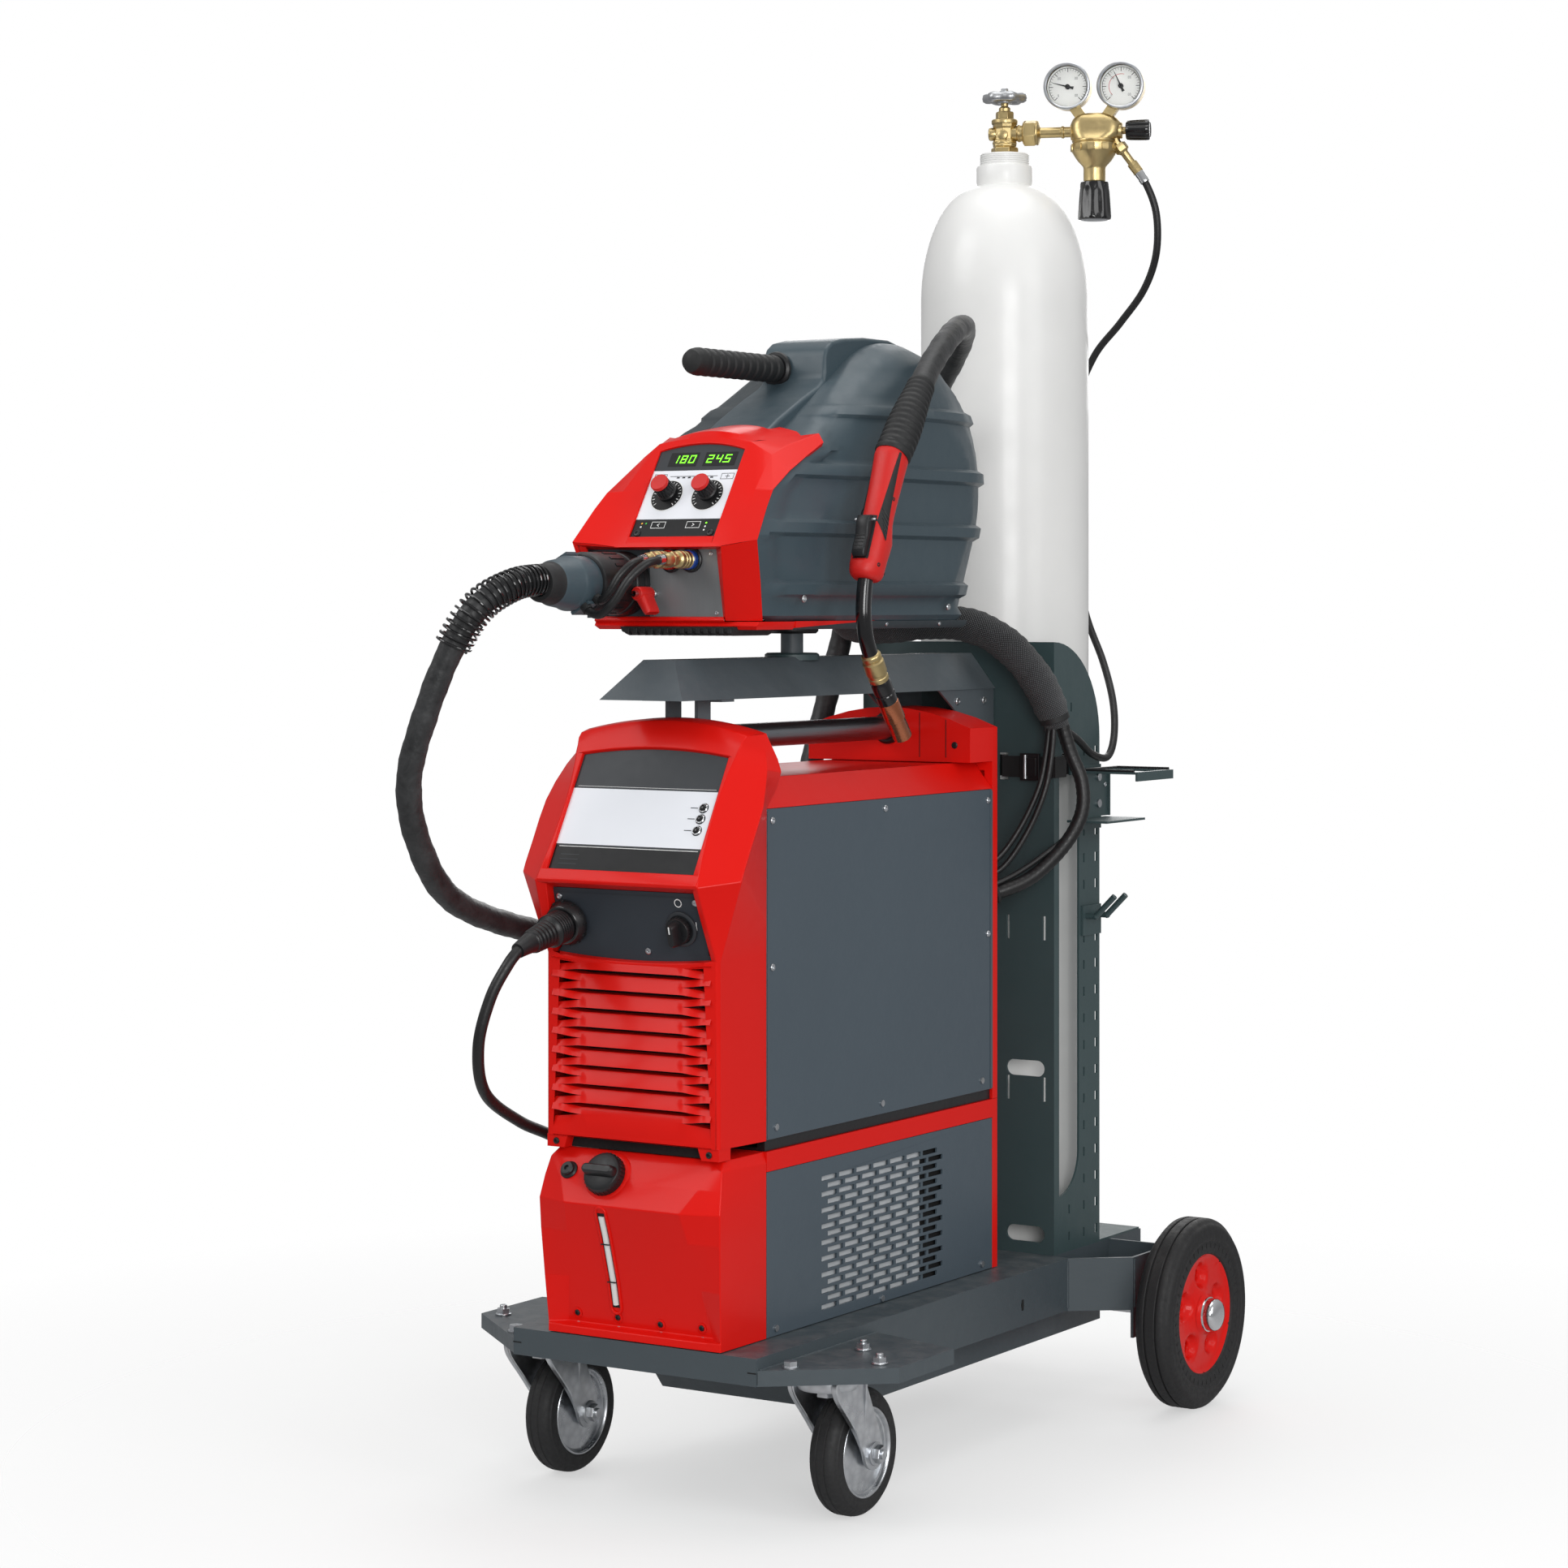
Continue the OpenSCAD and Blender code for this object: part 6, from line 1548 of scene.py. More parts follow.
KING = (204, -390)
for s, name in ((1, "right"), (-1, "left")):
    Mw = at((s * 204, -332, 75), (1, 0, 0))
    g = G()
    half = [(50, 15), (52.4, 18.6), (55, 19.8), (57, 19.4), (63, 19.8), (66, 19.2), (67.4, 17.6), (68.6, 17.2), (71, 15.4), (73.4, 12.2), (74.6, 9), (75, 6.4), (74.2, 5.8), (74.2, 4.6), (75, 4)]
    g.lathe(half + [(r, -z) for r, z in reversed(half)], rubber, Mw, 112)
    g.obj("caster_tyre_" + name, "caster_wheel_" + name, "caster_wheel_" + name, slot="tyre", angle=34)
    g = G()
    for m in (1, -1):
        g.lathe([(53.6, 18.2 * m), (52.6, 19.4 * m), (50.8, 19.6 * m), (49.6, 18.4 * m), (48.6, 15.2 * m), (46.4, 14.2 * m), (44, 14.6 * m), (36, 15.6 * m), (26, 18.2 * m), (16, 21 * m), (13, 22 * m), (12.4, 24 * m),
                 (11, 24.6 * m), (6.6, 24.6 * m), (6.4, 20 * m)], zinc, Mw, 80)
    g.obj("caster_rim_" + name, "caster_wheel_" + name, slot="zinc", angle=32)
    # fork: round head with two drawn legs
    g = G()
    Mf = Matrix.Translation((s * KING[0], KING[1], 0))
    g.lathe([(8.4, 158), (30, 158), (34, 159), (36.4, 162), (37, 166), (37, 171), (36, 174), (33, 175.6), (8.4, 175.6)], zinc, Mf, 72)
    g.lathe([(33, 175.4), (33.6, 176.4), (33, 177.4), (30, 178), (8.6, 178)], zinc, Mf, 64)
    # leg outline seen from the side, drawn as a smooth curve
    fr = [(-31, 174), (-33, 166), (-30, 156), (-20, 143), (-4, 126), (12, 108), (24, 92), (33, 78), (37, 68), (43, 60.5), (52, 56.6), (60, 56.4), (69, 59.4), (74, 66), (75.4, 76), (72, 92), (65, 108), (57, 124), (48, 142), (40, 158), (34, 174)]
    pts = spline([(0, y, z) for y, z in fr], 3.0)
    for m in (1, -1):
        rings = []
        for off, ins in ((26.0, 0.8), (26.8, 0.0), (29.2, 0.0), (30.0, 0.8)):
            cen = Vector((0, 30, 120))
            ring = []
            for p in pts:
                v = Vector(p)
                q = v + (cen - v).normalized() * ins
                ring.append((m * off, q.y, q.z))
            rings.append(ring)
        g.loft(rings, zinc, True, Mf)
        # stiffening flange down the front edge
        edge = [p for p in pts if p[1] < 36 and p[2] > 70]
        rows = []
        for dx, dy in ((28, -0.6), (33, -1.2), (34, 0.4), (33, 1.6), (29.6, 1.8)):
            rows.append([(m * (26 + (dx - 26) * clamp01((p[2] - 66) / 40)), p[1] + dy, p[2]) for p in edge])
        g.grid(rows, zinc, Mf)
        g.lathe([(14, 30), (14, 31.4), (12.8, 32.2), (6, 32.2)], zinc, at((s * 204 + m * 0, -332, 75), (m, 0, 0)), 40)
        g.hexa((s * 204 + m * 32.2, -332, 75), (m, 0, 0), 19, 8, zinc)
        g.lathe([(6, 32), (6, 42.4), (5.2, 43.2), (0, 43.2)], zinc, at((s * 204, -332, 75), (m, 0, 0)), 24)
    g.lathe([(5.8, -33), (5.8, 33)], zinc, Mw, 24)
    g.obj("fork_" + name, "caster_" + name, "caster_fork_" + name, slot="zinc", angle=34)

# ------------------------------------------------------------------ gas
g = G()
Mc = Matrix.Translation((0, 401, 0))
prof = [(0, 222), (90, 222), (104, 214), (108, 209.4), (112, 209.4), (114.5, 214), (114.5, 300), (114.5, 600), (114.5, 1000), (114.5, 1300), (114.5, 1478)]
for k in range(1, 25):
    a = math.radians(90 * k / 24) * 0.97
    prof.append((36 + 78.5 * math.cos(a), 1478 + 158 * math.sin(a)))
prof += [(37.4, 1637), (37.8, 1640), (38.4, 1641.4), (38.6, 1661), (37.6, 1663.6), (35, 1664.2), (33.6, 1664.6)]
for k in range(5):
    z0 = 1665 + 2.8 * k
    prof += [(33.6, z0), (33.6, z0 + 1.7), (32.6, z0 + 2.0), (32.6, z0 + 2.5)]
prof += [(33.6, 1679.4), (32.4, 1681), (20, 1681.2), (12, 1681)]
g.lathe(prof, gas_white, Mc, 160)
g.obj("cylinder_shell", "cart", "gas_cylinder", slot="white_paint", angle=44)

MR = Matrix.Translation((0, 401, 0)) @ Matrix.Rotation(math.radians(19.1), 4, "Z")


def loc(p, d=(0, 0, 1)):
    return MR @ at(p, d)


# valve
g = G()
g.lathe([(14, 1674), (14, 1681), (18.4, 1681.4)], alloy, MR, 40)
g.hexa(tuple(MR @ Vector((0, 0, 1681.4))), (0, 0, 1), 33, 9, brass)
g.lathe([(15, 1690), (16.4, 1692), (16.4, 1699), (14.6, 1701), (14.6, 1716), (16.4, 1718), (16.8, 1721), (17.4, 1723), (17.4, 1727), (16, 1728.6), (11, 1729)], brass, MR, 8)
g.lathe([(15.8, 1694), (16.8, 1695), (16.8, 1697), (15.8, 1698)], brass, MR, 40)
g.lathe([(17.4, 1722), (18, 1723), (18, 1727), (17, 1728.4), (12, 1729)], brass, MR, 48)
g.hexa(tuple(MR @ Vector((0, 0, 1728.4))), (0, 0, 1), 22, 11, brass)
g.lathe([(8, 1739), (8, 1744), (6.4, 1745.4), (5, 1746), (5, 1766.6), (4, 1767.6), (0, 1767.8)], brass, MR, 32)
g.lathe([(10.5, 8), (10.5, 18), (12, 19), (12, 21), (11, 22), (11, 26)], brass, loc((0, 0, 1709), (1, 0, 0)), 40)
g.lathe([(8, 10), (9, 12), (9, 20), (8, 21.6), (0, 22)], brass, loc((0, 0, 1709), (-1, 0, 0)), 32)
g.lathe([(7, 12), (7, 17), (5, 18), (0, 18)], brass, loc((0, 0, 1706), (0, -1, 0)), 24)
g.obj("valve_body", "cart", "cylinder_valve", slot="brass", bevel=0.7, angle=30)

# handwheel with six lobes
g = G()
rows = []
nt = 144
sect = [(8.5, -4.2), (9.4, 0), (8.5, 4.6), (5, 6.8), (0, 7.2), (-4.6, 6.2), (-6, 3), (-6, -2.6), (-4.6, -5.6), (0, -6.6), (5, -6.2), (8.5, -4.2)]
for dr, dz in sect:
    row = []
    for k in range(nt + 1):
        a = 2 * pi * k / nt
        lobe = 0.5 + 0.5 * math.cos(6 * a)
        r = 21.2 + dr * (0.62 + 0.42 * lobe) if dr > 0 else 21.2 + dr * 0.8
        row.append((r * math.cos(a), r * math.sin(a), 1757.6 + dz * (0.84 + 0.2 * lobe)))
    rows.append(row)
g.grid(rows, alloy, MR)
g.lathe([(5.6, 1750.4), (9.4, 1750.4), (10, 1751.4), (10, 1764), (9, 1766), (5.6, 1766)], alloy, MR, 40)
for k in range(6):
    g.loft([[(x, y * w, 1757 + z) for y, z in ((-3.4, -3), (3.4, -3), (2.6, 3), (-2.6, 3))] for x, w in ((8, 1.25), (13, 0.9), (18.4, 1.3))], alloy, True, MR @ Matrix.Rotation(k * pi / 3 + pi / 6, 4, "Z"))
g.obj("handwheel", "valve_handwheel", "valve_handwheel", slot="alloy", angle=50, weld=0.02)
g = G()
g.hexa(tuple(MR @ Vector((0, 0, 1766.6))), (0, 0, 1), 9, 4.6, zinc)
g.lathe([(5, 1766.1), (7.4, 1766.2), (7.4, 1767.2), (4, 1767.4)], zinc, MR, 24)
g.obj("handwheel_nut", "cart", slot="zinc", bevel=0.4)

# regulator: inlet, body, bonnet, outlet
g = G()
RX = 124
g.lathe([(9, 26.2), (15.4, 26.2), (17.2, 28.2), (17.2, 29)], brass, loc((0, 0, 1709), (1, 0, 0)), 40)
g.hexa(tuple(MR @ Vector((28, 0, 1709))), tuple(MR.to_3x3() @ Vector((1, 0, 0))), 32, 17, brass)
g.lathe([(17, 44.6), (16, 47), (12, 48.4), (8.6, 49), (7.2, 50), (7.2, 78), (8.4, 79), (8.4, 82), (7.2, 83), (7.2, 92), (9.4, 93)], brass, loc((0, 0, 1709), (1, 0, 0)), 40)
g.hexa(tuple(MR @ Vector((92, 0, 1709))), tuple(MR.to_3x3() @ Vector((1, 0, 0))), 21, 9, brass)
rings = []
for z, w, d, cx in ((1696.5, 58, 52, 0), (1700, 64, 47, 1), (1706, 70, 40, 2), (1713, 71, 37, 2), (1719, 69, 35, 2), (1725, 62, 32, 1), (1729.4, 52, 28, 0), (1732.4, 38, 22, 0), (1733.6, 20, 12, 0)):
    rings.append([(x, y, z) for x, y in round_rect(w, d, min(w, d) / 2 - 0.6, 10, RX + cx, 0)])
g.loft(rings, brass, True, MR)
Mb = MR @ Matrix.Translation((RX, 0, 0))
g.lathe([(26, 1698), (29.4, 1697.6), (30.6, 1696.4), (30.8, 1694.6), (29.6, 1693.6), (29.6, 1692.8), (31, 1691.8), (31.2, 1682), (30, 1679.6), (27.4, 1675), (22.6, 1668), (17.4, 1662.6), (15.4, 1660), (15, 1657), (15, 1641), (13.8, 1640)], brass, Mb, 72)
for k in range(10):
    M = Mb @ Matrix.Rotation(2 * pi * (k + 0.5) / 10, 4, "Z")
    g.loft([[(30, -5 * w, z), (32.4 - ins, -5 * w, z), (32.4 - ins, 5 * w, z), (30, 5 * w, z)] for z, w, ins in ((1680.6, 0.8, 0.8), (1682, 1, 0), (1690, 1, 0), (1691.4, 0.8, 0.8))], brass, True, M)
for sx in (-1, 1):
    # square stems to the two gauges
    a, b = Vector((RX + sx * 13, -2, 1722)), Vector((RX + sx * 31.5, -2, 1748))
    dr = (b - a).normalized()
    Ms = loc(tuple(a), tuple(dr))
    L = (b - a).length
    g.lathe([(6.2, -4), (6.2, 6), (5.2, 7)], brass, Ms, 24)
    g.box((-7.2, 7.2), (-7.2, 7.2), (5.5, L - 8), brass, Ms)
    g.lathe([(5, L - 9), (5, L + 2)], brass, Ms, 24)
g.lathe([(11, 20), (11, 37), (10, 38.4), (5, 38.8), (5, 43), (3.5, 43.2), (3.5, 66)], brass, loc((RX, 0, 1709), (1, 0, 0)), 40)
a, b, c = Vector((RX + 20, 0, 1707)), Vector((RX + 36, 0, 1688)), Vector((RX + 51.5, -0.4, 1664))
dr = (c - a).normalized()
g.lathe([(7, 0), (7, 16), (6, 17.4), (6, 24)], brass, loc(tuple(a), tuple(dr)), 32)
g.hexa(tuple(MR @ (a + dr * 22)), tuple(MR.to_3x3() @ dr), 17, 11, brass)
g.lathe([(7.6, 33), (6.4, 34.4), (5.4, 36), (5.4, 56)], brass, loc(tuple(a), tuple(dr)), 32)
g.obj("regulator_body", "cart", "regulator", slot="brass", bevel=0.6, angle=36)

# gauges
for i, (gx, gz, ang) in enumerate(((88, 1770, 165), (161, 1769, 115))):
    g = G()
    Mg = loc((gx, -6, gz), (0, -1, 0))
    # dial plane: x to the right, y up as seen from the front
    MD = MR @ Matrix.Translation((gx, -6, gz)) @ Matrix(((1, 0, 0, 0), (0, 0, -1, 0), (0, 1, 0, 0), (0, 0, 0, 1)))
    g.lathe([(0, -22), (22, -22), (28, -21), (30.6, -18.4), (31.5, -15), (31.5, 3.4), (30.8, 4.2, zinc), (32, 4.8), (32.2, 8), (31.2, 9.2), (29.4, 9.4), (28.4, 8.6), (28.2, 7)], brass, Mg, 80)
    disc(g, 0, 0, 28.6, white_dial, MD, 1.0, 64)
    n_t = 31
    for k in range(n_t):
        a = math.radians(225 - 270 * k / (n_t - 1))
        big = k % 5 == 0
        MT = MD @ Matrix.Rotation(a, 4, "Z")
        quad(g, 20.4 if big else 22.6, 25.6, -0.42 if big else -0.2, 0.42 if big else 0.2, black_soft, MT, 1.25)
    seg = [(25.6 * math.cos(math.radians(225 - 270 * k / 60)), 25.6 * math.sin(math.radians(225 - 270 * k / 60))) for k in range(61)]
    g.grid([[(x, y, 1.25) for x, y in seg], [(x * 1.022, y * 1.022, 1.25) for x, y in seg]], black_soft, MD)
    if i == 1:
        arc = [math.radians(225 - 150 * k / 30) for k in range(31)]
        g.grid([[(16.4 * math.cos(a), 16.4 * math.sin(a), 1.22) for a in arc], [(17 * math.cos(a), 17 * math.sin(a), 1.22) for a in arc]], red_soft, MD)
    for k in range(4):
        # short figures beside the long ticks
        a = math.radians(225 - 90 * k)
        cx, cy = 16.6 * math.cos(a), 16.6 * math.sin(a)
        for q in range(1 if k == 0 else 2):
            x0 = cx - 1.4 + 2.4 * q
            outline(g, x0 - 0.8, x0 + 0.8, cy - 1.6, cy + 1.6, 0.32, black_soft, MD @ Matrix.Translation((0, 0, 1.0)))
    g.lathe([(3.4, 1), (3.2, 2.4), (1.5, 2.8), (1.5, 5)], black_soft, Mg, 24)
    g.obj("gauge_" + ("left", "right")[i], "cart", slot="brass", angle=36)
    g = G()
    g.lathe([(28.4, 6.4), (20, 7.0), (0, 7.3)], clear_glass, Mg, 64)
    g.obj("gauge_glass_" + ("left", "right")[i], "cart", slot="panel_film", angle=60)
    g = G()
    a = math.radians(ang)
    MT = MD @ Matrix.Rotation(a, 4, "Z")
    g.loft([[(x, y, z) for x, y in ((-8.5, -2.2), (-3, -1.1), (0, -1.1), (21.5, -0.25), (21.5, 0.25), (0, 1.1), (-3, 1.1), (-8.5, 2.2))] for z in (3.4, 4.0)], black_soft, True, MT)
    g.lathe([(1.7, 3.0), (3.3, 3.0), (3.3, 4.6), (2.4, 5.2), (1.7, 5.2)], black_soft, Mg, 28)
    g.obj("needle_" + ("left", "right")[i], ("gauge_needle_left", "gauge_needle_right")[i], ("gauge_needle_left", "gauge_needle_right")[i], slot="black_plastic", angle=40)

# adjusting knob with flats, flow knob with flutes
g = G()
rows = []
for z, r, f in ((1640.2, 17, 0), (1639.4, 19, 0), (1636, 19.6, 0), (1631, 19.8, 0.3), (1626, 20.6, 0.8), (1612, 21.6, 1), (1600, 22.4, 1), (1592.6, 22.9, 0.7), (1590, 22.8, 0.1), (1588.6, 21.6, 0), (1588.2, 19, 0)):
    rows.append([((r - 2.0 * f * abs(math.sin(4 * a)) ** 1.6 * 0.9) * math.cos(a), (r - 2.0 * f * abs(math.sin(4 * a)) ** 1.6 * 0.9) * math.sin(a), z) for a in (2 * pi * k / 160 for k in range(161))])
g.grid(rows, black_gloss, Mb)
g.lathe([(19.2, 1588.3), (17.6, 1587.8), (0, 1587.8)], zinc, Mb, 48)
g.lathe([(17.4, 1640.1), (15.4, 1640.3), (6, 1640.2)], black_gloss, Mb, 48)
g.obj("adjusting_knob", "regulator_knob", "regulator_knob", slot="black_plastic", angle=46)
g = G()
Mk = loc((RX, 0, 1709), (1, 0, 0))
rows = []
for z, r, f in ((43.8, 9, 0), (43.8, 12, 0), (45, 13, 0.2), (50, 13.6, 1), (60, 14, 1), (70, 14.2, 1), (74, 14, 0.6), (75.6, 13, 0.1), (76.2, 10.6, 0), (75.4, 9.6, 0), (75.4, 0.1, 0)):
    rows.append([((r - 1.9 * f * (0.5 - 0.5 * math.cos(8 * a)) ** 2) * math.cos(a), (r - 1.9 * f * (0.5 - 0.5 * math.cos(8 * a)) ** 2) * math.sin(a), z) for a in (2 * pi * k / 128 for k in range(129))])
g.grid(rows, black_gloss, Mk)
g.obj("flow_dial", "flow_knob", "flow_knob", slot="black_plastic", angle=46)

# ------------------------------------------------------------------ torch
axis_pts = spline([(185, -208, 1252), (185, -225, 1214), (185, -241, 1179), (185, -254, 1149), (185, -263, 1126), (185, -269, 1105), (185, -272, 1094)], 2.0)
AX = [Vector(p) for p in axis_pts]
NA = len(AX)


def torch_ring(t, grow=0.0):
    """Middle, front direction and half sizes of the handle at t."""
    i = clamp01(t) * (NA - 1)
    k = min(int(i), NA - 2)
    c = AX[k].lerp(AX[k + 1], i - k)
    d = (AX[min(k + 2, NA - 1)] - AX[max(k - 1, 0)]).normalized()
    front = Vector((0, -1, 0)) - d * Vector((0, -1, 0)).dot(d)
    front.normalize()
    T = [0.0, 0.03, 0.07, 0.2, 0.36, 0.5, 0.57, 0.63, 0.70, 0.78, 0.86, 0.9, 0.95, 0.98, 1.0]
    f = np.interp(t, T, [17.5, 19.5, 20.5, 18.6, 17.2, 16.8, 17.4, 18.6, 18.8, 19.4, 20.5, 23.5, 23.5, 21.5, 17])
    r = np.interp(t, T, [17.5, 19.5, 20.5, 20.5, 19.6, 18.4, 18.4, 21.4, 27.5, 25, 21, 20, 19, 17.4, 13.5])
    w = np.interp(t, T, [17, 19, 20, 18.8, 18.4, 18.6, 19.2, 20.4, 21, 21.2, 20.8, 20.2, 19.2, 17.6, 13.5])
    return c, front, float(f) + grow, float(r) + grow, float(w) + grow


def torch_point(t, phi, grow=0.0):
    """Handle surface: phi 0 front, 90 degrees the +X side, 180 rear."""
    c, front, f, r, w = torch_ring(t, grow)
    cx, sx = math.cos(phi), math.sin(phi)
    e = 0.86
    u = math.copysign(abs(cx) ** e, cx) * (f if cx > 0 else r)
    v = math.copysign(abs(sx) ** e, sx) * w
    return tuple(c + front * u + Vector((v, 0, 0)))


g = G()
rows = [[torch_point(k / 60, 2 * pi * j / 64) for j in range(65)] for k in range(61)]
top = [tuple(Vector(p).lerp(AX[0], 0.35)) for p in rows[0]]
bot = [tuple(Vector(p).lerp(AX[-1], 0.45)) for p in rows[-1]]
g.grid([top] + rows + [bot], red_soft)
g.obj("torch_grip", "feeder", "torch_handle", slot="red_plastic", angle=46, weld=0.02)
g = G()
for s in (1, -1):
    # dark soft inlay, a long wedge on each side
    rows = []
    for k in range(25):
        t = lerp(0.06, 0.60, k / 24)
        a0 = math.radians(lerp(58, 30, k / 24))
        a1 = math.radians(lerp(68, 82, k / 24))
        rows.append([torch_point(t, s * lerp(a0, a1, j / 10), 0.45) for j in range(11)])
    for k in range(1, 10):
        t = lerp(0.60, 0.72, k / 9)
        a0 = math.radians(lerp(30, 76, k / 9))
        a1 = math.radians(lerp(80.4, 82, k / 9))
        rows.append([torch_point(t, s * lerp(a0, a1, j / 10), 0.45) for j in range(11)])
    g.grid(rows, black_soft)
    g.grid([[Vector(torch_point(lerp(0.06, 0.60, k / 24), s * math.radians(lerp(58, 30, k / 24)), q)) for k in range(25)] for q in (0.45, -0.3)], black_soft)
    g.grid([[Vector(torch_point(lerp(0.06, 0.72, k / 24), s * math.radians(lerp(68, 82, k / 24)), q)) for k in range(25)] for q in (0.45, -0.3)], black_soft)
    # grip lines on the lower part of the inlay
    for q in range(5):
        t0 = 0.50 + 0.035 * q
        a0, a1 = math.radians(lerp(40, 64, q / 5)), math.radians(79)
        g.tube([torch_point(t0 + 0.06 * j / 8, s * lerp(a0, a1, j / 8), 0.7) for j in range(9)], 0.55, black_plastic, 6)
    for t, phi in ((0.40, 84), (0.90, 74), (0.93, 128)):
        p = Vector(torch_point(t, s * math.radians(phi), -0.3))
        c = torch_ring(t)[0]
        d = Vector((s, (p - c).y * 0.03, 0))
        g.screw(tuple(p), tuple(d), 2.6, black_plastic, 0.9)
# pad at the rear, surround of the trigger
rows = [[torch_point(lerp(0.66, 0.80, k / 8), math.radians(lerp(152, 208, j / 10)), 0.6) for j in range(11)] for k in range(9)]
g.grid(rows, black_soft)
rows = [[torch_point(lerp(0.56, 0.875, k / 16), math.radians(lerp(-27, 27, j / 12)), 0.5) for j in range(13)] for k in range(17)]
g.grid(rows, black_plastic)
g.lathe([(18.6, 0), (18.9, -2), (18.9, -7), (17.6, -8.4), (15, -8.6)], black_plastic, at(tuple(AX[0]), tuple((AX[3] - AX[0]).normalized())), 48)
g.obj("torch_inlay", "feeder", slot="black_plastic", angle=50)

# trigger: rocker with a finger dip
g = G()
rows = []
side = [(-268, 1172), (-277.5, 1171.5), (-281, 1166), (-282.6, 1158), (-283.4, 1150), (-286, 1142), (-290, 1134), (-292, 1127), (-290.6, 1122.6), (-284, 1121), (-276, 1124), (-268, 1150)]
for x, ins in ((-8.6, 1.4), (-8, 0.4), (-7, 0.0), (7, 0.0), (8, 0.4), (8.6, 1.4)):
    cy, cz = -277, 1147
    rows.append([(185 + x, y + math.copysign(min(ins, abs(cy - y)), cy - y), z + math.copysign(min(ins, abs(cz - z)), cz - z)) for y, z in side])
g.loft(rows, black_plastic, True)
for k in range(5):
    z = 1131 + 4.2 * k
    y = float(np.interp(z, [1127, 1134, 1142, 1150], [-292, -290, -286, -283.4]))
    g.tube([(179, y + 0.2, z), (191, y + 0.2, z)], 0.8, black_soft, 6)
g.lathe([(2, -14.4), (2, 14.4)], zinc, at((185, -272, 1166), (1, 0, 0)), 16)
g.obj("trigger", "torch_trigger", "torch_trigger", slot="black_plastic", bevel=0.5, angle=40)

# neck, collar, insulator, nozzle with its contact tip
g = G()
neck = spline([(185, -272.4, 1100), (185, -276.6, 1076), (185, -277.6, 1052), (185, -272, 1026), (185, -262, 1006), (185, -256, 997)], 3.0)
g.tube(neck, 9.4, black_gloss, 32)
d1 = Vector((0, 20.4, -30.7)).normalized()
p1 = (185, -262.5, 1007)
g.lathe([(9, 0), (11.4, 1.4), (12.2, 3), (12.2, 7), (11.2, 8.4), (11.2, 10), (13, 11.6), (13, 27), (12.4, 28.4), (11.6, 29), (11.6, 32), (12.4, 33), (12.4, 37), (11.6, 38.6)], brass, at(p1, tuple(d1)), 48)
d2 = Vector((0, 20, -25)).normalized()
g.lathe([(11, -3), (12.2, 0), (12.4, 1.4), (12.4, 14), (11.6, 15), (11.6, 17), (12.4, 18), (12.4, 29), (11.8, 31)], black_gloss, at((185, -240, 973), tuple(d2)), 48)
d3 = Vector((0, 35, -44)).normalized()
Mn = at((185, -221, 949), tuple(d3))
g.lathe([(11, -1), (12.4, 0), (12.7, 1.4), (12.7, 26), (12.2, 27.6), (11.7, 28.4), (11.7, 54.6), (11.2, 55.6), (9.2, 55.8), (8.6, 55), (8.5, 24), (0, 24)], copper, Mn, 56)
g.lathe([(4.2, 22), (4.2, 46), (3.4, 50), (1.2, 50), (0.9, 46)], copper, Mn, 24)
g.lathe([(0.6, 44), (0.6, 53), (0, 53.4)], copper, Mn, 10)
g.obj("torch_nozzle", "feeder", "torch_neck", slot="copper", angle=34)

# ------------------------------------------------------------------ return clamp
cad("clamp_body", brass, 0.9)
cad("clamp_jaw", brass, 0.9)
g = G()
# insulating sleeves on the grips, spring round the pivot, copper tongue
g.lathe([(7.2, 0), (9.2, 1), (9.6, 4), (9.6, 20), (9, 24), (7.4, 26)], black_soft, at((-182, 359, 466)), 32)
for k in range(4):
    g.lathe([(9.5, 4 + 4.4 * k), (10.3, 5 + 4.4 * k), (10.3, 6.6 + 4.4 * k), (9.5, 7.6 + 4.4 * k)], black_soft, at((-182, 359, 466)), 32)
sp = [(-191.4 + 18.8 * k / 140, 372 + 6.4 * math.cos(2 * pi * 7 * k / 140), 416 + 6.4 * math.sin(2 * pi * 7 * k / 140)) for k in range(141)]
g.tube(sp, 0.9, zinc, 8)
g.box((-189, -175), (352, 355), (342, 372), copper)
for k in range(6):
    g.box((-189, -175), (354.4, 357), (345 + 4.4 * k, 347.4 + 4.4 * k), copper)
for s in (1, -1):
    g.screw((-182 + s * 12.4, 372, 416), (s, 0, 0), 5.4, zinc, 2.6)
g.obj("clamp_details", "cart", slot="brass", bevel=0.4)

# ------------------------------------------------------------------ cart, column and shelf
cad("cart_frame", deck_paint, 0.9)
cad("rear_axle", zinc, 0.8)
cad("caster_plates", zinc, 0.8)
cad("cylinder_column", column_paint, 0.7)
# the shelf takes the lighter copy of the deck paint: painted light
cad("feeder_shelf", shelf_paint_painted_light, 1.0)
cad("column_brackets", column_paint, 0.7)
cad("cylinder_strap", webbing, 0.5)
cad("fasteners", zinc, 0.5)

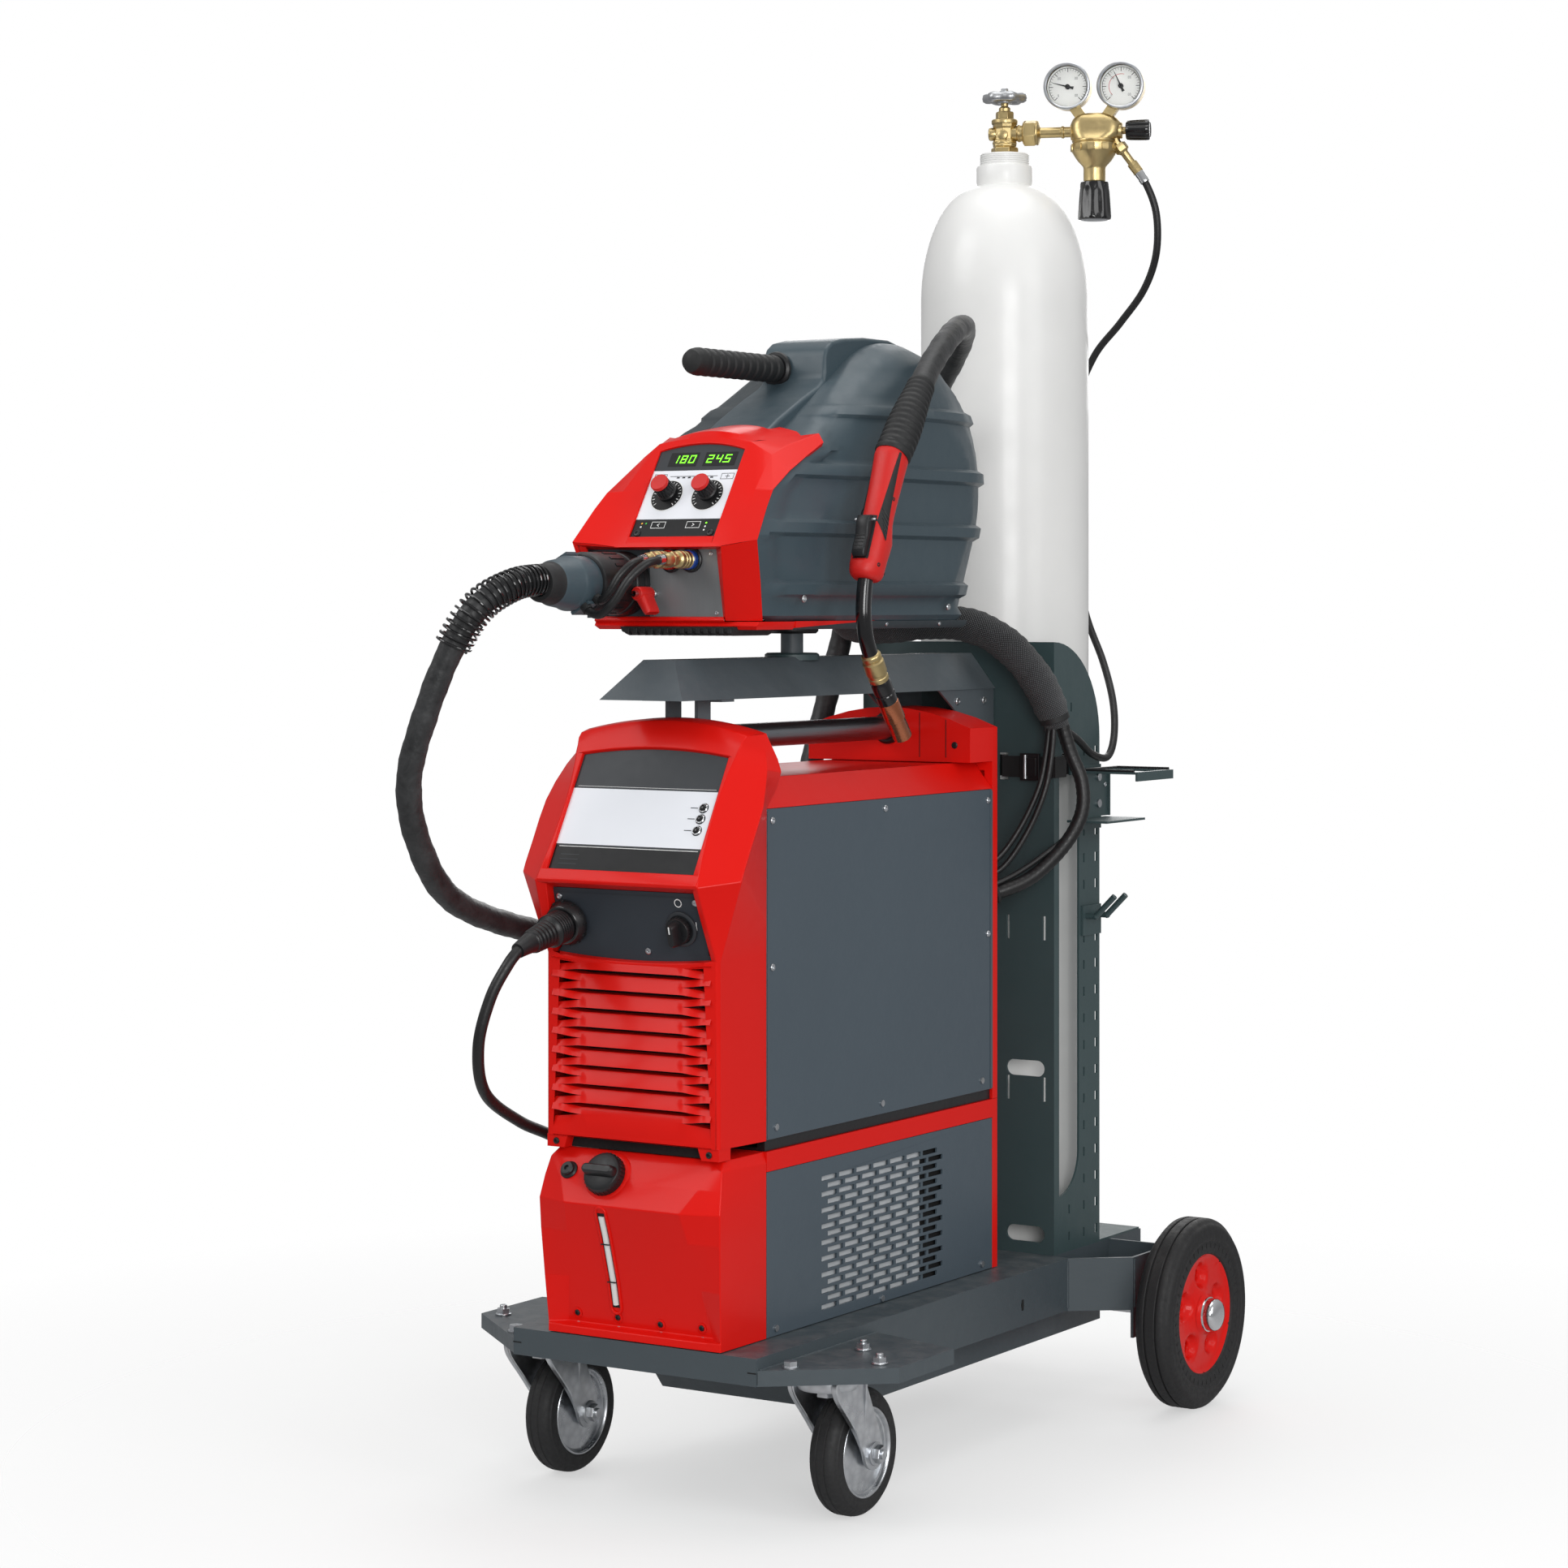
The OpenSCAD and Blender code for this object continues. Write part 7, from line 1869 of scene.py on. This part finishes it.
g = G()
for s in (1, -1):
    # corner reliefs of the folded deck and bend lines, near-black as painted shade in their gaps, and weld beads
    g.box(sorted((s * 171.2, s * 171.9)), (-489.4, -487.6), (176, 190), painted_shade_and_seams)
    g.box(sorted((s * 160, s * 171.9)), (-492.4, -491.7), (188.4, 189.8), painted_shade_and_seams)
    for a, b in (((s * 171.2, 262, 141), (s * 171.2, 262, 203)), ((s * 239.4, 320, 140), (s * 239.4, 320, 203))):
        pts = [tuple(Vector(a).lerp(Vector(b), k / 16)) for k in range(17)]
        g.tube(pts, lambda i: 2.0 + 0.35 * math.sin(2.1 * i), deck_paint, 8)
    pts = [(s * (172.2 + 0.2 * math.sin(k)), -486 + 4 * k, 191.6) for k in range(65)]
    g.tube(pts, lambda i: 1.5 + 0.3 * math.sin(2.6 * i), deck_paint, 7)
    pts = [(s * 240.4, 372 + 15.5 * math.cos(2 * pi * k / 24) + 27, 125 + 15.5 * math.sin(2 * pi * k / 24)) for k in range(25)]
    g.tube(pts, lambda i: 1.6 + 0.3 * math.sin(2.9 * i), deck_paint, 7)
    # slots in the deck beside the machine, drawn as near-black patches of painted shade
    g.box(sorted((s * 171.3, s * 171.9)), (136.5, 141.5), (158, 172), painted_shade_and_seams)
g.obj("cart_welds", "cart", slot="grey_paint", angle=50)

g = G()
for s in (1, -1):
    for p in ((204, -390),):
        for i in (-1, 1):
            for j in (-1, 1):
                x, y = p[0] + (i * 52.5 - j * 40) * math.sqrt(0.5), p[1] + (i * 52.5 + j * 40) * math.sqrt(0.5)
                inside = x < 290 and y > -470 + (x - 171.5) * 0.8
                if inside:
                    g.lathe([(4.6, 200), (4.6, 204), (3.8, 205), (0, 205)], zinc, Matrix.Translation((s * x, y, 0)), 24)
                    g.lathe([(9.4, 192.3), (9.9, 192.8), (9.9, 194), (9.2, 194.6), (5, 194.6)], zinc, Matrix.Translation((s * x, y, 0)), 32)
# buckle of the cylinder's strap
g.box((100, 128), (262.4, 267), (832, 868), black_plastic)
g.box((104, 124), (260.8, 264), (838, 862), black_plastic)
g.tube([(108, 261.6, 834), (108, 261.6, 866)], 2.2, zinc, 12)
g.obj("bolt_ends", "cart", slot="zinc", bevel=0.5)

g = G()
# edge guards on the torch hoop, caps on the hook prongs (the shelf's screws come in a later piece)
hoop = [(232, 334, 844), (154, 334, 844), (154, 436, 844), (232, 436, 844)]
for a, b in zip(hoop[:-1], hoop[1:]):
    g.tube([a, b], 2.2, black_plastic, 10)
for y in (356, 388):
    g.lathe([(5.4, -2), (5.4, 10), (4.6, 12), (0, 12.6)], black_plastic, at((-211, y, 653), (-10, 0, 12)), 24)
g.obj("edge_guards", "cart", slot="black_plastic", angle=50)
g = G()
# tail of the torch holder's back plate, past the column's rear edge
g.box((147.4, 149.8), (397, 419), (780, 839.5), column_paint)
g.box((147.4, 153), (417, 419.4), (780, 839.5), column_paint)
g.screw((149.8, 409, 822), (1, 0, 0), 3.4, zinc, 1.6)
g.obj("holder_plate", "cart", slot="dark_paint", bevel=0.6)
g = G()
for s in (1, -1):
    g.screw((s * 57, 170, 938), (s, 0, 0), 5, zinc, 2.6)
    g.screw((s * 57, 240, 938), (s, 0, 0), 5, zinc, 2.6)
g.lathe([(34, 996), (34, 1003), (31, 1005), (29, 1005)], column_paint, Matrix.Translation((0, -144, 0)), 48)
g.obj("shelf_screws", "cart", slot="zinc", bevel=0.3)
